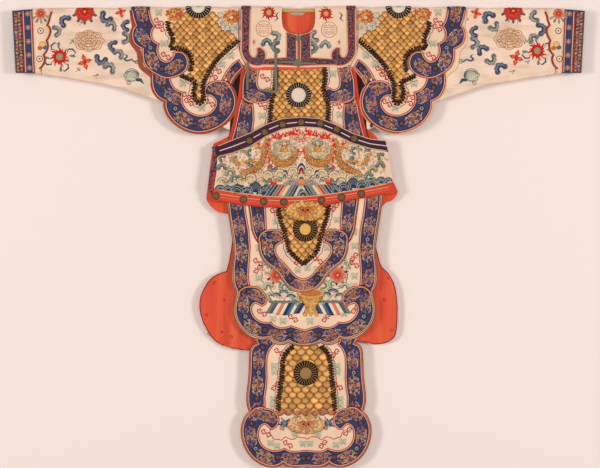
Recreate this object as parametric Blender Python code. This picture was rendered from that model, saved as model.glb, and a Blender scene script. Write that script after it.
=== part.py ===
"""Opera armour costume hanging flat on a straight rod.

Lengths are in millimetres and turned into metres as each solid is made.  The origin is the middle
of the rod: x runs to the right of the picture, z up, and the front of the costume faces -y.
Every piece of cloth is one closed solid with an even wall, and neighbours stand GAP apart.
"""
import math

import bmesh
import bpy
from mathutils import Vector
from mathutils.geometry import delaunay_2d_cdt

for old in list(bpy.data.objects):
    bpy.data.objects.remove(old, do_unlink=True)

MM = 0.001
CORNER = "corner"

# Driving dimensions.
GAP = 0.3
ROD_RADIUS = 6.0
ROD_HALF_LENGTH = 768.0
SILK_WALL = 1.2
LINED_WALL = 1.5
BELT_WALL = 2.2
ARC_STEPS = 8
CENTRE_APRON = 19.0
CENTRE_TAIL = 24.0
TOP_APRON = -597.0
WAIST_SEAM = -545.0
STUD_RADIUS = 11.0
STUD_RISE = 4.5
MIRROR_RING = 39.0
MIRROR_DISC = 22.0

# How far the inner face of each layer lies from the rod's middle plane.
BODY_LEVEL = ROD_RADIUS + GAP
GUARD_LEVEL = BODY_LEVEL + SILK_WALL + GAP
GUARD_LOW_LEVEL = GUARD_LEVEL + LINED_WALL + GAP
GUARD_TOP_LEVEL = GUARD_LOW_LEVEL + LINED_WALL + GAP
YOKE_LEVEL = GUARD_TOP_LEVEL
YOKE_BORDER_LEVEL = YOKE_LEVEL + LINED_WALL + GAP
TIE_LEVEL = YOKE_BORDER_LEVEL + LINED_WALL + GAP
APRON_LEVEL = BODY_LEVEL
TAIL_BORDER_LEVEL = APRON_LEVEL - GAP - LINED_WALL
TAIL_LEVEL = TAIL_BORDER_LEVEL - GAP - LINED_WALL
APRON_BORDER_LEVEL = APRON_LEVEL + LINED_WALL + GAP
FLAP_BORDER_LEVEL = APRON_BORDER_LEVEL + LINED_WALL + GAP
BELT_BACK_LEVEL = BODY_LEVEL + SILK_WALL + GAP

# Colours, linear.
INDIGO = (0.030, 0.036, 0.140)
CREAM = (0.800, 0.640, 0.400)
GOLD = (0.520, 0.290, 0.075)
PURPLE = (0.100, 0.055, 0.095)
RED = (0.560, 0.060, 0.030)
DARK = (0.030, 0.012, 0.012)
GREEN_GREY = (0.230, 0.250, 0.190)
BRASS = (0.480, 0.330, 0.120)
PALE = (0.700, 0.660, 0.540)
WOOD = (0.520, 0.340, 0.160)

# Edge tables.  Columns: x across, z up, and CORNER where the edge turns sharply.
# Left shoulder guard, read down the outer side from the rod and up the inner side.
GUARD_EDGE = (
    (-532, 0, CORNER), (-528, -30), (-524, -52, CORNER), (-532, -77), (-532, -100), (-521, -118),
    (-509, -134), (-504, -172), (-496, -188), (-480, -200), (-466, -213), (-466, -232), (-461, -254),
    (-446, -276), (-425, -289, CORNER), (-425, -307), (-413, -336), (-389, -361), (-356, -381),
    (-317, -390), (-280, -386), (-244, -370), (-214, -347), (-197, -317), (-192, -285), (-198, -255),
    (-211, -238, CORNER), (-197, -213), (-178, -190), (-165, -172, CORNER), (-186, -120),
    (-188, -60), (-188, 0, CORNER),
)
GUARD_UPPER_BORDER = (
    (-526, 0, CORNER), (-521, -24), (-513, -48, CORNER), (-523, -65), (-524, -87), (-517, -106),
    (-502, -118), (-491, -123, CORNER), (-491, -144), (-487, -166), (-471, -188), (-449, -203),
    (-421, -215), (-392, -213), (-367, -202), (-351, -185), (-346, -166), (-350, -148), (-361, -134),
    (-376, -129), (-391, -132, CORNER), (-397, -147), (-411, -160), (-427, -157), (-436, -147),
    (-442, -128), (-436, -105, CORNER), (-455, -95), (-461, -79), (-458, -62), (-449, -51, CORNER),
    (-460, -35), (-466, -14), (-468, 0, CORNER),
)
GUARD_LOWER_BORDER = (
    (-461, -194, CORNER), (-462, -229), (-457, -251), (-443, -273), (-419, -287, CORNER),
    (-419, -307), (-408, -333), (-386, -358), (-354, -377), (-317, -386), (-282, -381), (-247, -366),
    (-219, -342), (-202, -314), (-197, -285), (-203, -259), (-214, -240, CORNER), (-204, -216),
    (-190, -197), (-172, -180, CORNER), (-187, -154, CORNER), (-206, -166), (-225, -188),
    (-243, -222, CORNER), (-266, -222), (-285, -232), (-296, -248), (-296, -263),
    (-291, -273, CORNER), (-282, -270), (-269, -276), (-261, -290), (-266, -307), (-280, -322),
    (-301, -329), (-323, -328), (-345, -317), (-359, -301), (-365, -282), (-361, -257, CORNER),
    (-380, -251), (-394, -238), (-402, -219), (-405, -194, CORNER),
)
# Front body, right half from the neck outward and down to the waist seam.
BODY_FRONT_HALF = (
    (52, 0, CORNER), (187, 0, CORNER), (187, -109, CORNER), (176, -150), (181, -203), (186, -266),
    (194, -301), (201, -339), (205.5, -370), (208, -388), (218, -415), (230, -471),
    (233, -545, CORNER),
)
NECK_FRONT_HALF = ((0, -77, CORNER), (39, -66), (51, -45), (52, 0, CORNER))
BODY_BACK_RIGHT = (
    (52, 0, CORNER), (187, 0, CORNER), (187, -125), (184, -181), (191, -232), (199, -290),
    (203, -345), (205.5, -370), (208, -388), (228, -410), (236, -440), (238, -545, CORNER),
)
BODY_BACK_LEFT = (
    (-52, 0, CORNER), (-187, 0, CORNER), (-187, -125), (-184, -175), (-190, -235), (-198, -290),
    (-203, -345), (-205.5, -370), (-208, -388), (-214, -405), (-219, -440), (-219, -545, CORNER),
)
NECK_BACK_DIP = ((-52, 0, CORNER), (-40, -3), (0, -17), (28, -3), (52, 0, CORNER))
# The dark side strip under the arm, between body edge and sleeve end, left side.
SIDE_GUSSET = (
    (-176.6, -150, CORNER), (-181.7, -203), (-186.8, -266), (-194.8, -301), (-202.9, -341, CORNER),
    (-206.2, -341, CORNER), (-203.9, -301), (-202.0, -266), (-198.5, -203), (-195.6, -150, CORNER),
)
CHEST_BORDER_RIGHT = (
    (162, -173, CORNER), (168, -190), (176, -219), (178, -251), (178, -273, CORNER), (187, -301),
    (193, -333), (200, -367), (212, -408), (218, -446, CORNER), (148, -446, CORNER), (143, -377),
    (139, -345), (140, -314), (143, -292, CORNER), (120, -293), (98, -289), (85, -276), (80, -260),
    (88, -246), (101, -244, CORNER), (113, -249), (126, -241), (129, -219), (124, -194),
    (121, -173, CORNER),
)
YOKE_RIGHT = (
    (52, 0, CORNER), (51, -45), (39, -66), (3, -77, CORNER), (3, -180, CORNER), (63, -179),
    (107, -178, CORNER), (129, -181), (153, -176), (173, -157), (183, -131), (182, -109), (181, -60),
    (181, 0, CORNER),
)
YOKE_BORDER_RIGHT = (
    (150, 0, CORNER), (151, -46), (153, -115), (151, -137), (140, -147), (132, -134),
    (134, -122, CORNER), (123, -116), (110, -123), (102, -137), (104, -152, CORNER), (76, -150),
    (40, -148, CORNER), (39, -109), (39, -68, CORNER), (5, -79, CORNER), (5, -177, CORNER),
    (57, -175), (113, -174, CORNER), (129, -177), (151, -172), (172, -153), (181, -125), (180, -62),
    (180, 0, CORNER),
)
YOKE_BACK_HALF = (
    (52, 0, CORNER), (181, 0, CORNER), (182, -109), (183, -131), (173, -157), (153, -176),
    (129, -181), (107, -178, CORNER), (63, -179), (0, -180, CORNER),
)
YOKE_LINING = (
    (-150, -150, CORNER), (-156, -184, CORNER), (-110, -189), (-60, -188), (0, -188), (40, -186),
    (84, -183, CORNER), (84, -160, CORNER), (0, -160), (-60, -150, CORNER),
)
FROG_UPPER = (
    (-9, -80, CORNER), (9, -80, CORNER), (11, -88), (8, -98), (0, -102), (-8, -98), (-11, -88),
)
FROG_LOWER = (
    (-63, -162, CORNER), (-40, -159), (-14, -160), (-6, -152), (4, -152), (10, -162), (40, -164),
    (56, -166, CORNER), (56, -171, CORNER), (36, -172), (10, -173), (2, -181), (-8, -181),
    (-15, -170), (-40, -169), (-63, -168, CORNER),
)
TIE_SIDE = (
    (-163, -162, CORNER), (-155, -162, CORNER), (-156, -205), (-157, -252, CORNER), (-165, -251, CORNER),
    (-164, -205),
)
TIE_MIDDLE = (
    (-75, -122, CORNER), (-67, -122, CORNER), (-67, -185), (-66, -262, CORNER), (-90, -260),
    (-114, -256, CORNER), (-115, -249, CORNER), (-92, -251), (-75, -253, CORNER), (-76, -185),
)
# Waist belt, read left to right.
BELT_TOP_EDGE = (
    (-263, -430, CORNER), (-209, -408), (-153, -386), (-102, -359), (-52, -341), (8, -336),
    (68, -341), (118, -360), (169, -386), (225, -404), (273, -409, CORNER),
)
BELT_BAND_EDGE = (
    (-255, -463, CORNER), (-209, -452), (-153, -432), (-102, -400), (-52, -378), (8, -370),
    (68, -374), (118, -396), (169, -421), (225, -437), (282, -446, CORNER),
)
BELT_HEM_TOP_EDGE = (
    (-266, -561, CORNER), (-209, -570), (-153, -579), (-102, -584), (-52, -587), (8, -586),
    (68, -581), (118, -574), (169, -566), (225, -555), (296, -540, CORNER),
)
BELT_HEM_EDGE = (
    (-272, -598, CORNER), (-209, -608), (-153, -616), (-102, -620), (-52, -622), (8, -621),
    (68, -616), (118, -608), (169, -597), (225, -588), (304, -574, CORNER),
)
BELT_END_STRIP = (
    (-273, -430, CORNER), (-263.3, -430, CORNER), (-255.3, -463, CORNER), (-257.3, -505, CORNER),
    (-266.3, -561, CORNER), (-271, -582, CORNER), (-284, -562, CORNER), (-277, -505),
    (-269, -463),
)
BELT_LEFT_END = ((-257, -505),)
BELT_RIGHT_END = ((288, -480),)
# Columns: x across, how far the belt's inner face stands forward.
BELT_STAND = (
    (-320, 9.0), (-260, 10.3), (-220, 11.3), (-180, 15.0), (-140, 19.5), (-100, 23.0), (-60, 25.5),
    (-20, 27.0), (20, 27.0), (60, 25.5), (100, 23.0), (140, 19.5), (180, 15.0), (220, 11.3),
    (260, 10.3), (320, 9.0),
)
BELT_TOP_STUDS = (
    (-154, -411), (-106, -385), (-50, -361), (8, -354), (68, -357), (120, -376), (175, -404),
)
BELT_HEM_STUDS = ((-173, -596), (-109, -602), (-46, -604), (72, -598), (135, -589), (197, -578))
BELT_BACK_EDGE = (
    (-269, -419, CORNER), (-241, -406), (-213, -392), (-184, -372), (-115, -342), (-52, -320),
    (8, -314), (68, -320), (131, -342), (200, -364), (222, -377), (238, -389), (252, -407, CORNER),
    (270, -480), (312, -566), (307, -586), (291, -600), (276, -605), (263, -618), (225, -626),
    (131, -638), (8, -648), (-115, -644), (-184, -643), (-222, -641), (-250, -636), (-269, -624),
    (-284, -607), (-291, -591, CORNER), (-280, -500),
)
# Apron, flap: right half about their own middle, z from TOP_APRON.
APRON_HALF = (
    (246, 51.7, CORNER), (246, 0), (240, -44), (232, -94), (225, -142), (224, -173), (229, -214),
    (230, -246), (224, -274), (214, -290, CORNER), (222, -324), (224, -350), (216, -383),
    (195, -412), (170, -431), (137, -440), (113, -437, CORNER), (96, -452), (69, -456),
    (50, -449, CORNER), (25, -459), (0, -461),
)
APRON_BORDER_OUTER = (
    (241, 40, CORNER), (241, 0), (236, -44), (227, -94), (220, -142), (220, -173), (225, -214),
    (225, -246), (219, -274), (208, -290, CORNER), (217, -324), (219, -350), (211, -381),
    (192, -408), (167, -426), (135, -435), (110, -432, CORNER), (93, -447), (69, -451),
    (50, -443, CORNER), (25, -455), (0, -457),
)
APRON_BORDER_INNER = (
    (0, -408), (19, -402), (44, -394, CORNER), (65, -400), (88, -397), (106, -383, CORNER),
    (135, -382), (154, -370), (164, -353), (165, -337), (156, -326), (146, -329),
    (134, -336, CORNER), (121, -326), (117, -309), (129, -287), (151, -272), (171, -271, CORNER),
    (176, -236), (173, -195), (170, -148), (174, -94), (183, -47), (189, 0), (191, 40, CORNER),
)
FLAP_HALF = (
    (178, 45, CORNER), (176, 0), (169, -47), (164, -91), (154, -119), (143, -135, CORNER),
    (142, -152), (136, -175), (120, -200), (97, -217), (77, -238), (60, -264), (37, -284), (0, -294),
)
FLAP_BORDER_OUTER = (
    (175, 40, CORNER), (173, 0), (166, -47), (161, -91), (151, -118), (139, -135, CORNER),
    (138, -151), (133, -173), (117, -197), (94, -214), (74, -235), (57, -261), (35, -280), (0, -290),
)
FLAP_BORDER_INNER = (
    (0, -247), (22, -239), (38, -222), (57, -200), (77, -180), (86, -161), (82, -143), (68, -135),
    (56, -124), (57, -106), (72, -94), (94, -91), (115, -95, CORNER), (117, -50), (121, 0),
    (122, 40, CORNER),
)
# Fish-tail panel: right half about its own middle.
TAIL_HALF = (
    (150, -560, CORNER), (165, -1020), (163, -1036), (157, -1047, CORNER), (173, -1058),
    (179, -1082), (180, -1114), (181, -1145), (184, -1177), (188, -1208), (188, -1234), (184, -1252),
    (180, -1263, CORNER), (193, -1277), (202, -1297), (206, -1320), (204, -1345), (195, -1375),
    (178, -1403), (155, -1423), (128, -1436), (102, -1440), (82, -1434), (72, -1427, CORNER),
    (57, -1437), (32, -1440), (0, -1438),
)
TAIL_BORDER_OUTER = (
    (161, -1000, CORNER), (158, -1038), (153, -1049, CORNER), (169, -1060), (175, -1082),
    (176, -1114), (177, -1145), (180, -1177), (184, -1208), (184, -1234), (180, -1252),
    (175, -1265, CORNER), (189, -1279), (198, -1298), (202, -1320), (200, -1344), (192, -1372),
    (176, -1399), (154, -1419), (128, -1432), (102, -1436), (82, -1430), (72, -1423, CORNER),
    (57, -1433), (32, -1436), (0, -1434),
)
TAIL_BORDER_INNER = (
    (0, -1383), (25, -1386), (49, -1386), (68, -1377, CORNER), (90, -1384), (115, -1382),
    (135, -1370), (146, -1352), (149, -1330), (143, -1312), (131, -1304), (120, -1311),
    (112, -1320, CORNER), (101, -1318), (89, -1306), (84, -1287), (91, -1269), (107, -1256),
    (128, -1252, CORNER), (129, -1218), (124, -1186), (122, -1155), (123, -1123), (122, -1093),
    (113, -1068), (98, -1052, CORNER), (104, -1038), (107, -1000, CORNER),
)
# Back skirt with its two side lobes, read down the left and up the right.
BACK_SKIRT = (
    (-219, -545.3, CORNER), (-219, -613), (-206, -692), (-213, -755), (-220, -793),
    (-228, -821, CORNER), (-254, -830), (-279, -846), (-298, -874), (-310, -903), (-313, -928),
    (-310, -956), (-301, -985), (-285, -1016), (-266, -1041), (-241, -1056), (-209, -1065),
    (-175, -1071), (-134, -1073), (0, -1064), (130, -1046), (175, -1041), (213, -1046),
    (238, -1053), (266, -1051), (291, -1041), (307, -1022), (312, -982), (313, -937), (310, -896),
    (301, -859), (285, -830), (266, -811, CORNER), (257, -793), (247, -755), (232, -692),
    (238, -613), (238, -545.3, CORNER),
)
# Vertical folds of the hanging lower front.  Columns: x across, how far the cloth stands forward.
LOWER_FOLDS = (
    (-260, 0.4), (-220, 1.4), (-180, 2.4), (-140, 1.6), (-100, 0.0), (-60, 0.5), (-20, 2.0),
    (20, 2.8), (60, 1.6), (100, 0.2), (140, 1.0), (180, 2.4), (220, 1.4), (260, 0.4), (300, 0.0),
)
# Folds of the back skirt.  Columns: x across, depth of the fold at the hem, backward.
SKIRT_FOLDS = (
    (-320, 0.0), (-290, 5.0), (-255, 12.0), (-220, 4.0), (-170, 0.0), (-110, 9.0), (-50, 2.0),
    (10, 10.0), (70, 1.0), (130, 8.0), (180, 0.0), (225, 5.0), (262, 13.0), (294, 5.0), (320, 0.0),
)
SKIRT_ROWS = (-665, -740, -815, -880, -945, -1005)
# Left sleeve.  Columns: x across, drop of the top line, z of the lower edge, side fluting.
SLEEVE_ROWS = (
    (-829, -3, -197, 0.0),
    (-772, 0, -207, 0.0),
    (-740, 0, -211, 2.6),
    (-705, 0, -217, 4.2),
    (-669, 0, -223, 1.4),
    (-630, 0, -229, 0.4),
    (-600, 0, -235, 2.8),
    (-568, 0, -243, 2.2),
    (-535, 0, -253, 0.0),
    (-468, 0, -276, 0.0),
    (-386, 0, -301, 0.0),
    (-295, 0, -342, 0.0),
    (-240, 0, -367, 0.0),
    (-209, 0, -382, 0.0),
)
SLEEVE_END_AT_ROD = -187.5
# Left cuff.  Columns: x at the lower edge, x at the rod, drop of the top line, z of the lower edge.
CUFF_SEAM = (-829.0, -837.0, -3.0, -197.0)
CUFF_MIDDLE = (-861.0, -870.0, -5.0, -197.0)
CUFF_EDGE = (-890.0, -901.0, -8.0, -197.0)
FACING_EDGE = (
    (-773, -5, CORNER), (-778, -18), (-781, -33), (-787, -48, CORNER), (-777, -62), (-781, -81),
    (-789, -95, CORNER), (-785, -112), (-789, -128), (-799, -140, CORNER), (-794, -156),
    (-800, -172), (-812, -184, CORNER),
)

collection = bpy.data.collections.new("opera_armour_costume")
bpy.context.scene.collection.children.link(collection)
cutters = bpy.data.collections.new("cutters")
bpy.context.scene.collection.children.link(cutters)


def mirrored(rows):
    return tuple((-row[0],) + tuple(row[1:]) for row in rows)


def moved(rows, dx, dz=0.0):
    return tuple((row[0] + dx, row[1] + dz) + tuple(row[2:]) for row in rows)


def whole(half):
    """A right half that starts at its top and ends on the middle line, made whole."""
    left = [row for row in mirrored(half) if abs(row[0]) > 0.01]
    return tuple(half) + tuple(reversed(left))


def smooth(rows, closed=True, finest=24.0):
    """Rounds a table of edge points into a curve, keeping the rows marked CORNER sharp."""
    count = len(rows)
    points = [Vector((row[0], row[1])) for row in rows]
    sharp = [len(row) > 2 for row in rows]
    if not closed:
        sharp[0] = True
        sharp[-1] = True
    line = []
    last = count if closed else count - 1
    for i in range(last):
        a, b = points[i], points[(i + 1) % count]
        span = (b - a).length
        if span < 1e-6:
            continue
        before, after = points[i - 1], points[(i + 2) % count]
        lead = (b - a).normalized() if sharp[i] else (b - before).normalized()
        trail = (b - a).normalized() if sharp[(i + 1) % count] else (after - a).normalized()
        if sharp[i] and not sharp[(i + 1) % count]:
            lead = (2.0 * (b - a).normalized() - trail).normalized()
        if sharp[(i + 1) % count] and not sharp[i]:
            trail = (2.0 * (b - a).normalized() - lead).normalized()
        turn = math.degrees(lead.angle(trail))
        steps = max(1, min(4, math.ceil(turn / finest)))
        for k in range(steps):
            t = k / steps
            h00 = 2 * t ** 3 - 3 * t ** 2 + 1
            h10 = t ** 3 - 2 * t ** 2 + t
            h01 = -2 * t ** 3 + 3 * t ** 2
            h11 = t ** 3 - t ** 2
            line.append(a * h00 + lead * span * h10 + b * h01 + trail * span * h11)
    if not closed:
        line.append(points[-1])
    return line


def between(table, x):
    """Straight-line reading of a two-column table."""
    if x <= table[0][0]:
        return table[0][1]
    for (x0, y0), (x1, y1) in zip(table, table[1:]):
        if x <= x1:
            return y0 + (y1 - y0) * (x - x0) / (x1 - x0)
    return table[-1][1]


def crossings(line, axis, value):
    other = 1 - axis
    found = []
    for a, b in zip(line, line[1:] + line[:1]):
        if (a[axis] - value) * (b[axis] - value) < 0:
            t = (value - a[axis]) / (b[axis] - a[axis])
            found.append(a[other] + (b[other] - a[other]) * t)
    return sorted(found)


def filled(line, rows=(), columns=(), holes=()):
    """Triangles of a flat outline with bend lines along the given rows and columns."""
    shift = 0.0137
    points = [Vector(p) for p in line]
    faces = [list(range(len(points)))]
    edges = []
    for hole in holes:
        start = len(points)
        points.extend(Vector(p) for p in hole)
        size = len(hole)
        edges.extend((start + k, start + (k + 1) % size) for k in range(size))
    for axis, values in ((1, rows), (0, columns)):
        for value in values:
            cut = value + shift
            spots = crossings(list(line), axis, cut)
            for lo, hi in zip(spots[::2], spots[1::2]):
                if hi - lo < 0.4:
                    continue
                start = len(points)
                for spot in (lo, hi):
                    points.append(Vector((spot, cut)) if axis == 1 else Vector((cut, spot)))
                edges.append((start, start + 1))
    made = delaunay_2d_cdt(points, edges, faces, 1, 1e-4)
    verts, _, tris = made[0], made[1], made[2]
    return [Vector(v) for v in verts], [tuple(tri) for tri in tris]


def material(name, colour, rough=0.75, metal=0.0):
    made = bpy.data.materials.new(name)
    made.use_nodes = True
    shader = made.node_tree.nodes["Principled BSDF"]
    shader.inputs["Base Color"].default_value = (*colour, 1.0)
    shader.inputs["Roughness"].default_value = rough
    shader.inputs["Metallic"].default_value = metal
    return made


def keep(name, bm, colour, rough=0.75, metal=0.0, where=None):
    bmesh.ops.recalc_face_normals(bm, faces=bm.faces)
    mesh = bpy.data.meshes.new(name)
    bm.to_mesh(mesh)
    bm.free()
    mesh.materials.append(material(name, colour, rough, metal))
    obj = bpy.data.objects.new(name, mesh)
    (where or collection).objects.link(obj)
    return obj


def sheet(name, line, place, wall, colour, rows=(), columns=(), rough=0.75, metal=0.0):
    """A closed solid: the flat outline laid on two surfaces one wall apart and sewn at its edge."""
    flat, tris = filled(line, rows, columns)
    bm = bmesh.new()
    near = [bm.verts.new(Vector(place(p.x, p.y, 0.0)) * MM) for p in flat]
    far = [bm.verts.new(Vector(place(p.x, p.y, wall)) * MM) for p in flat]
    uses = {}
    for tri in tris:
        bm.faces.new([near[k] for k in tri])
        bm.faces.new([far[k] for k in reversed(tri)])
        for a, b in zip(tri, tri[1:] + tri[:1]):
            key = (min(a, b), max(a, b))
            uses.setdefault(key, []).append((a, b))
    for used in uses.values():
        if len(used) == 1:
            a, b = used[0]
            bm.faces.new((near[b], near[a], far[a], far[b]))
    loose = [v for v in bm.verts if not v.link_faces]
    bmesh.ops.delete(bm, geom=loose, context="VERTS")
    return keep(name, bm, colour, rough, metal)


def ahead(level):
    """Flat against the front, its inner face `level` in front of the rod's middle plane."""
    return lambda x, z, t: (x, -(level + t), z)


def behind(level):
    return lambda x, z, t: (x, level + t, z)


def folded_ahead(level):
    return lambda x, z, t: (x, -(level + between(LOWER_FOLDS, x) + t), z)


def on_belt(extra):
    return lambda x, z, t: (x, -(between(BELT_STAND, x) + extra + t), z)


def over_rod(level, arc):
    """Front side hangs from the rod for v below 0, goes over it from 0 to arc, then down the back."""
    def place(x, v, t):
        r = level + t
        if v <= 0.0:
            return x, -r, v
        if v >= arc:
            return x, r, arc - v
        turn = math.pi * v / arc
        return x, -r * math.cos(turn), r * math.sin(turn)
    return place


def half_over_rod(level, arc, side):
    """A front (side -1) or back (side 1) panel whose top edge is turned over the rod to its crest."""
    def place(x, v, t):
        r = level + t
        if v <= 0.0:
            return x, side * r, v
        turn = math.pi * v / arc
        return x, side * r * math.cos(turn), r * math.sin(turn)
    return place


ARC = 28.0
ARC_ROWS = tuple(ARC * k / ARC_STEPS for k in range(ARC_STEPS + 1))
CREST = ARC / 2 - GAP * 0.9
CREST_ROWS = tuple(ARC * k / ARC_STEPS for k in range(ARC_STEPS // 2))
BELT_COLUMNS = tuple(row[0] for row in BELT_STAND)
FOLD_COLUMNS = tuple(row[0] for row in LOWER_FOLDS)


def both_sides(rows):
    """Edge of a piece hung over the rod: its front edge, then the same edge down the back."""
    front = smooth(rows, closed=False)
    back = [Vector((p.x, ARC - p.y)) for p in reversed(front)]
    return front + back


def tube(name, stations, levels, colour, share, x_of=None):
    """A cloth tube hung over the rod.  Each station is (x, drop, low, flute); share lists the
    side heights as parts of the hanging depth, so every ring has the same number of points."""
    inner, outer = levels
    bm = bmesh.new()
    shells = []
    for radius in (inner, outer):
        rings = []
        for x, drop, low, flute in stations:
            centre = low + outer
            ring = []
            for k in range(ARC_STEPS + 1):
                turn = math.pi * k / ARC_STEPS
                ring.append((-radius * math.cos(turn), drop + radius * math.sin(turn)))
            for part in share:
                bulge = flute * math.sin(math.pi * part)
                ring.append((radius + bulge, drop + (centre - drop) * part))
            for k in range(ARC_STEPS + 1):
                turn = math.pi * k / ARC_STEPS
                ring.append((radius * math.cos(turn), centre - radius * math.sin(turn)))
            for part in reversed(share):
                bulge = flute * math.sin(math.pi * part)
                ring.append((-(radius + bulge), drop + (centre - drop) * part))
            verts = []
            for y, z in ring:
                spot = x if x_of is None else x_of(x, z, drop, low)
                verts.append(bm.verts.new((spot * MM, y * MM, z * MM)))
            rings.append(verts)
        shells.append(rings)
    size = len(shells[0][0])
    for rings in shells:
        for ring_a, ring_b in zip(rings, rings[1:]):
            for k in range(size):
                m = (k + 1) % size
                bm.faces.new((ring_a[k], ring_a[m], ring_b[m], ring_b[k]))
    for end in (0, -1):
        ring_a, ring_b = shells[0][end], shells[1][end]
        for k in range(size):
            m = (k + 1) % size
            bm.faces.new((ring_a[k], ring_a[m], ring_b[m], ring_b[k]))
    return keep(name, bm, colour)


def union(obj, tools):
    for tool in tools:
        step = obj.modifiers.new(tool.name, "BOOLEAN")
        step.operation = "UNION"
        step.solver = "EXACT"
        step.object = tool
    bpy.context.view_layer.update()
    graph = bpy.context.evaluated_depsgraph_get()
    mesh = bpy.data.meshes.new_from_object(obj.evaluated_get(graph))
    obj.modifiers.clear()
    kept = obj.data.materials[0]
    obj.data = mesh
    obj.data.materials.clear()
    obj.data.materials.append(kept)
    for tool in tools:
        tool.hide_render = True
        tool.display_type = "WIRE"


def stud(name, x, z, extra, radius, rise, bury=0.8):
    """A low round boss following the belt's face, used to raise the band it is fused with."""
    rows = ((1.0, -bury), (1.0, 0.25 * rise), (0.72, 0.74 * rise), (0.30, 1.0 * rise))
    bm = bmesh.new()
    rings = []
    for part, height in rows:
        ring = []
        for k in range(12):
            turn = 2 * math.pi * k / 12
            px = x + radius * part * math.cos(turn)
            pz = z + radius * part * math.sin(turn)
            stand = between(BELT_STAND, px) + extra + height
            ring.append(bm.verts.new((px * MM, -stand * MM, pz * MM)))
        rings.append(ring)
    for ring_a, ring_b in zip(rings, rings[1:]):
        for k in range(12):
            m = (k + 1) % 12
            bm.faces.new((ring_a[k], ring_a[m], ring_b[m], ring_b[k]))
    bm.faces.new(rings[0])
    bm.faces.new(rings[-1])
    return keep(name, bm, BRASS, where=cutters)


def disc(name, x, z, level, colour, ring=MIRROR_RING, inner=MIRROR_DISC, wall=LINED_WALL, lift=1.4):
    """A round mirror boss: a flat ring with a raised disc inside, one body."""
    rows = (
        (0.0, 0.0), (ring, 0.0), (ring, wall), (inner + 2.0, wall), (inner, wall + lift),
        (inner - 4.0, wall + lift), (0.0, wall + lift),
    )
    bm = bmesh.new()
    rings = []
    for radius, height in rows:
        y = -(level + height) * MM
        if radius < 0.01:
            rings.append([bm.verts.new((x * MM, y, z * MM))])
            continue
        loop = []
        for k in range(24):
            turn = 2 * math.pi * k / 24
            px = (x + radius * math.cos(turn)) * MM
            pz = (z + radius * math.sin(turn)) * MM
            loop.append(bm.verts.new((px, y, pz)))
        rings.append(loop)
    for ring_a, ring_b in zip(rings, rings[1:]):
        for k in range(24):
            m = (k + 1) % 24
            corners = [ring_a[k % len(ring_a)], ring_a[m % len(ring_a)],
                       ring_b[m % len(ring_b)], ring_b[k % len(ring_b)]]
            face = []
            for corner in corners:
                if corner not in face:
                    face.append(corner)
            bm.faces.new(face)
    return keep(name, bm, colour, rough=0.4)


def mask(name, x, z, level, wide, tall, relief, colour):
    """A padded animal face: a flat-backed oval swelling forward, with brow and muzzle."""
    steps = 32
    parts = (1.0, 0.86, 0.66, 0.42, 0.2)
    bm = bmesh.new()
    rings = []

    def height(u, v):
        swell = math.sqrt(max(0.0, 1.0 - (u * u + v * v) * 0.96))
        muzzle = 0.40 * math.exp(-((u / 0.28) ** 2 + ((v + 0.30) / 0.30) ** 2))
        brow = 0.22 * math.exp(-(((abs(u) - 0.34) / 0.20) ** 2 + ((v - 0.38) / 0.20) ** 2))
        return relief * (0.62 * swell + muzzle + brow)

    back = []
    for k in range(steps):
        turn = 2 * math.pi * k / steps
        edge = 1.0 + 0.05 * math.cos(8 * turn)
        px = (x + wide / 2 * edge * math.cos(turn)) * MM
        pz = (z + tall / 2 * edge * math.sin(turn)) * MM
        back.append(bm.verts.new((px, -level * MM, pz)))
    rings.append(back)
    for part in parts:
        ring = []
        for k in range(steps):
            turn = 2 * math.pi * k / steps
            edge = 1.0 + 0.05 * math.cos(8 * turn)
            u, v = part * math.cos(turn), part * math.sin(turn)
            px = (x + wide / 2 * edge * u) * MM
            pz = (z + tall / 2 * edge * v) * MM
            ring.append(bm.verts.new((px, -(level + 1.0 + height(u, v)) * MM, pz)))
        rings.append(ring)
    for ring_a, ring_b in zip(rings, rings[1:]):
        for k in range(steps):
            m = (k + 1) % steps
            bm.faces.new((ring_a[k], ring_a[m], ring_b[m], ring_b[k]))
    bm.faces.new(back)
    tip = bm.verts.new((x * MM, -(level + 1.0 + height(0.0, 0.0)) * MM, z * MM))
    for k in range(steps):
        bm.faces.new((rings[-1][k], rings[-1][(k + 1) % steps], tip))
    return keep(name, bm, colour)


# The rod.
bm = bmesh.new()
ends = []
for x in (-ROD_HALF_LENGTH, ROD_HALF_LENGTH):
    ring = []
    for k in range(2 * ARC_STEPS):
        turn = math.pi * k / ARC_STEPS
        ring.append(bm.verts.new((x * MM, -ROD_RADIUS * math.cos(turn) * MM,
                                  ROD_RADIUS * math.sin(turn) * MM)))
    ends.append(ring)
for k in range(2 * ARC_STEPS):
    m = (k + 1) % (2 * ARC_STEPS)
    bm.faces.new((ends[0][k], ends[0][m], ends[1][m], ends[1][k]))
bm.faces.new(ends[0])
bm.faces.new(ends[1])
keep("rod", bm, WOOD, rough=0.45)

# Body front and back, each turned over the rod at the shoulders as two straps beside the neck.
right = smooth(BODY_FRONT_HALF[1:], closed=False)
left = [Vector((-p.x, p.y)) for p in reversed(right)]
neck_right = smooth(NECK_FRONT_HALF, closed=False)
neck_left = [Vector((-p.x, p.y)) for p in reversed(neck_right)]
line = [Vector((-52, CREST))] + neck_left + neck_right[1:] + [Vector((52, CREST)), Vector((187, CREST))]
line += right + left + [Vector((-187, CREST))]
sheet("front_body", line, half_over_rod(BODY_LEVEL, ARC, -1), SILK_WALL, CREAM, rows=CREST_ROWS)

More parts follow.
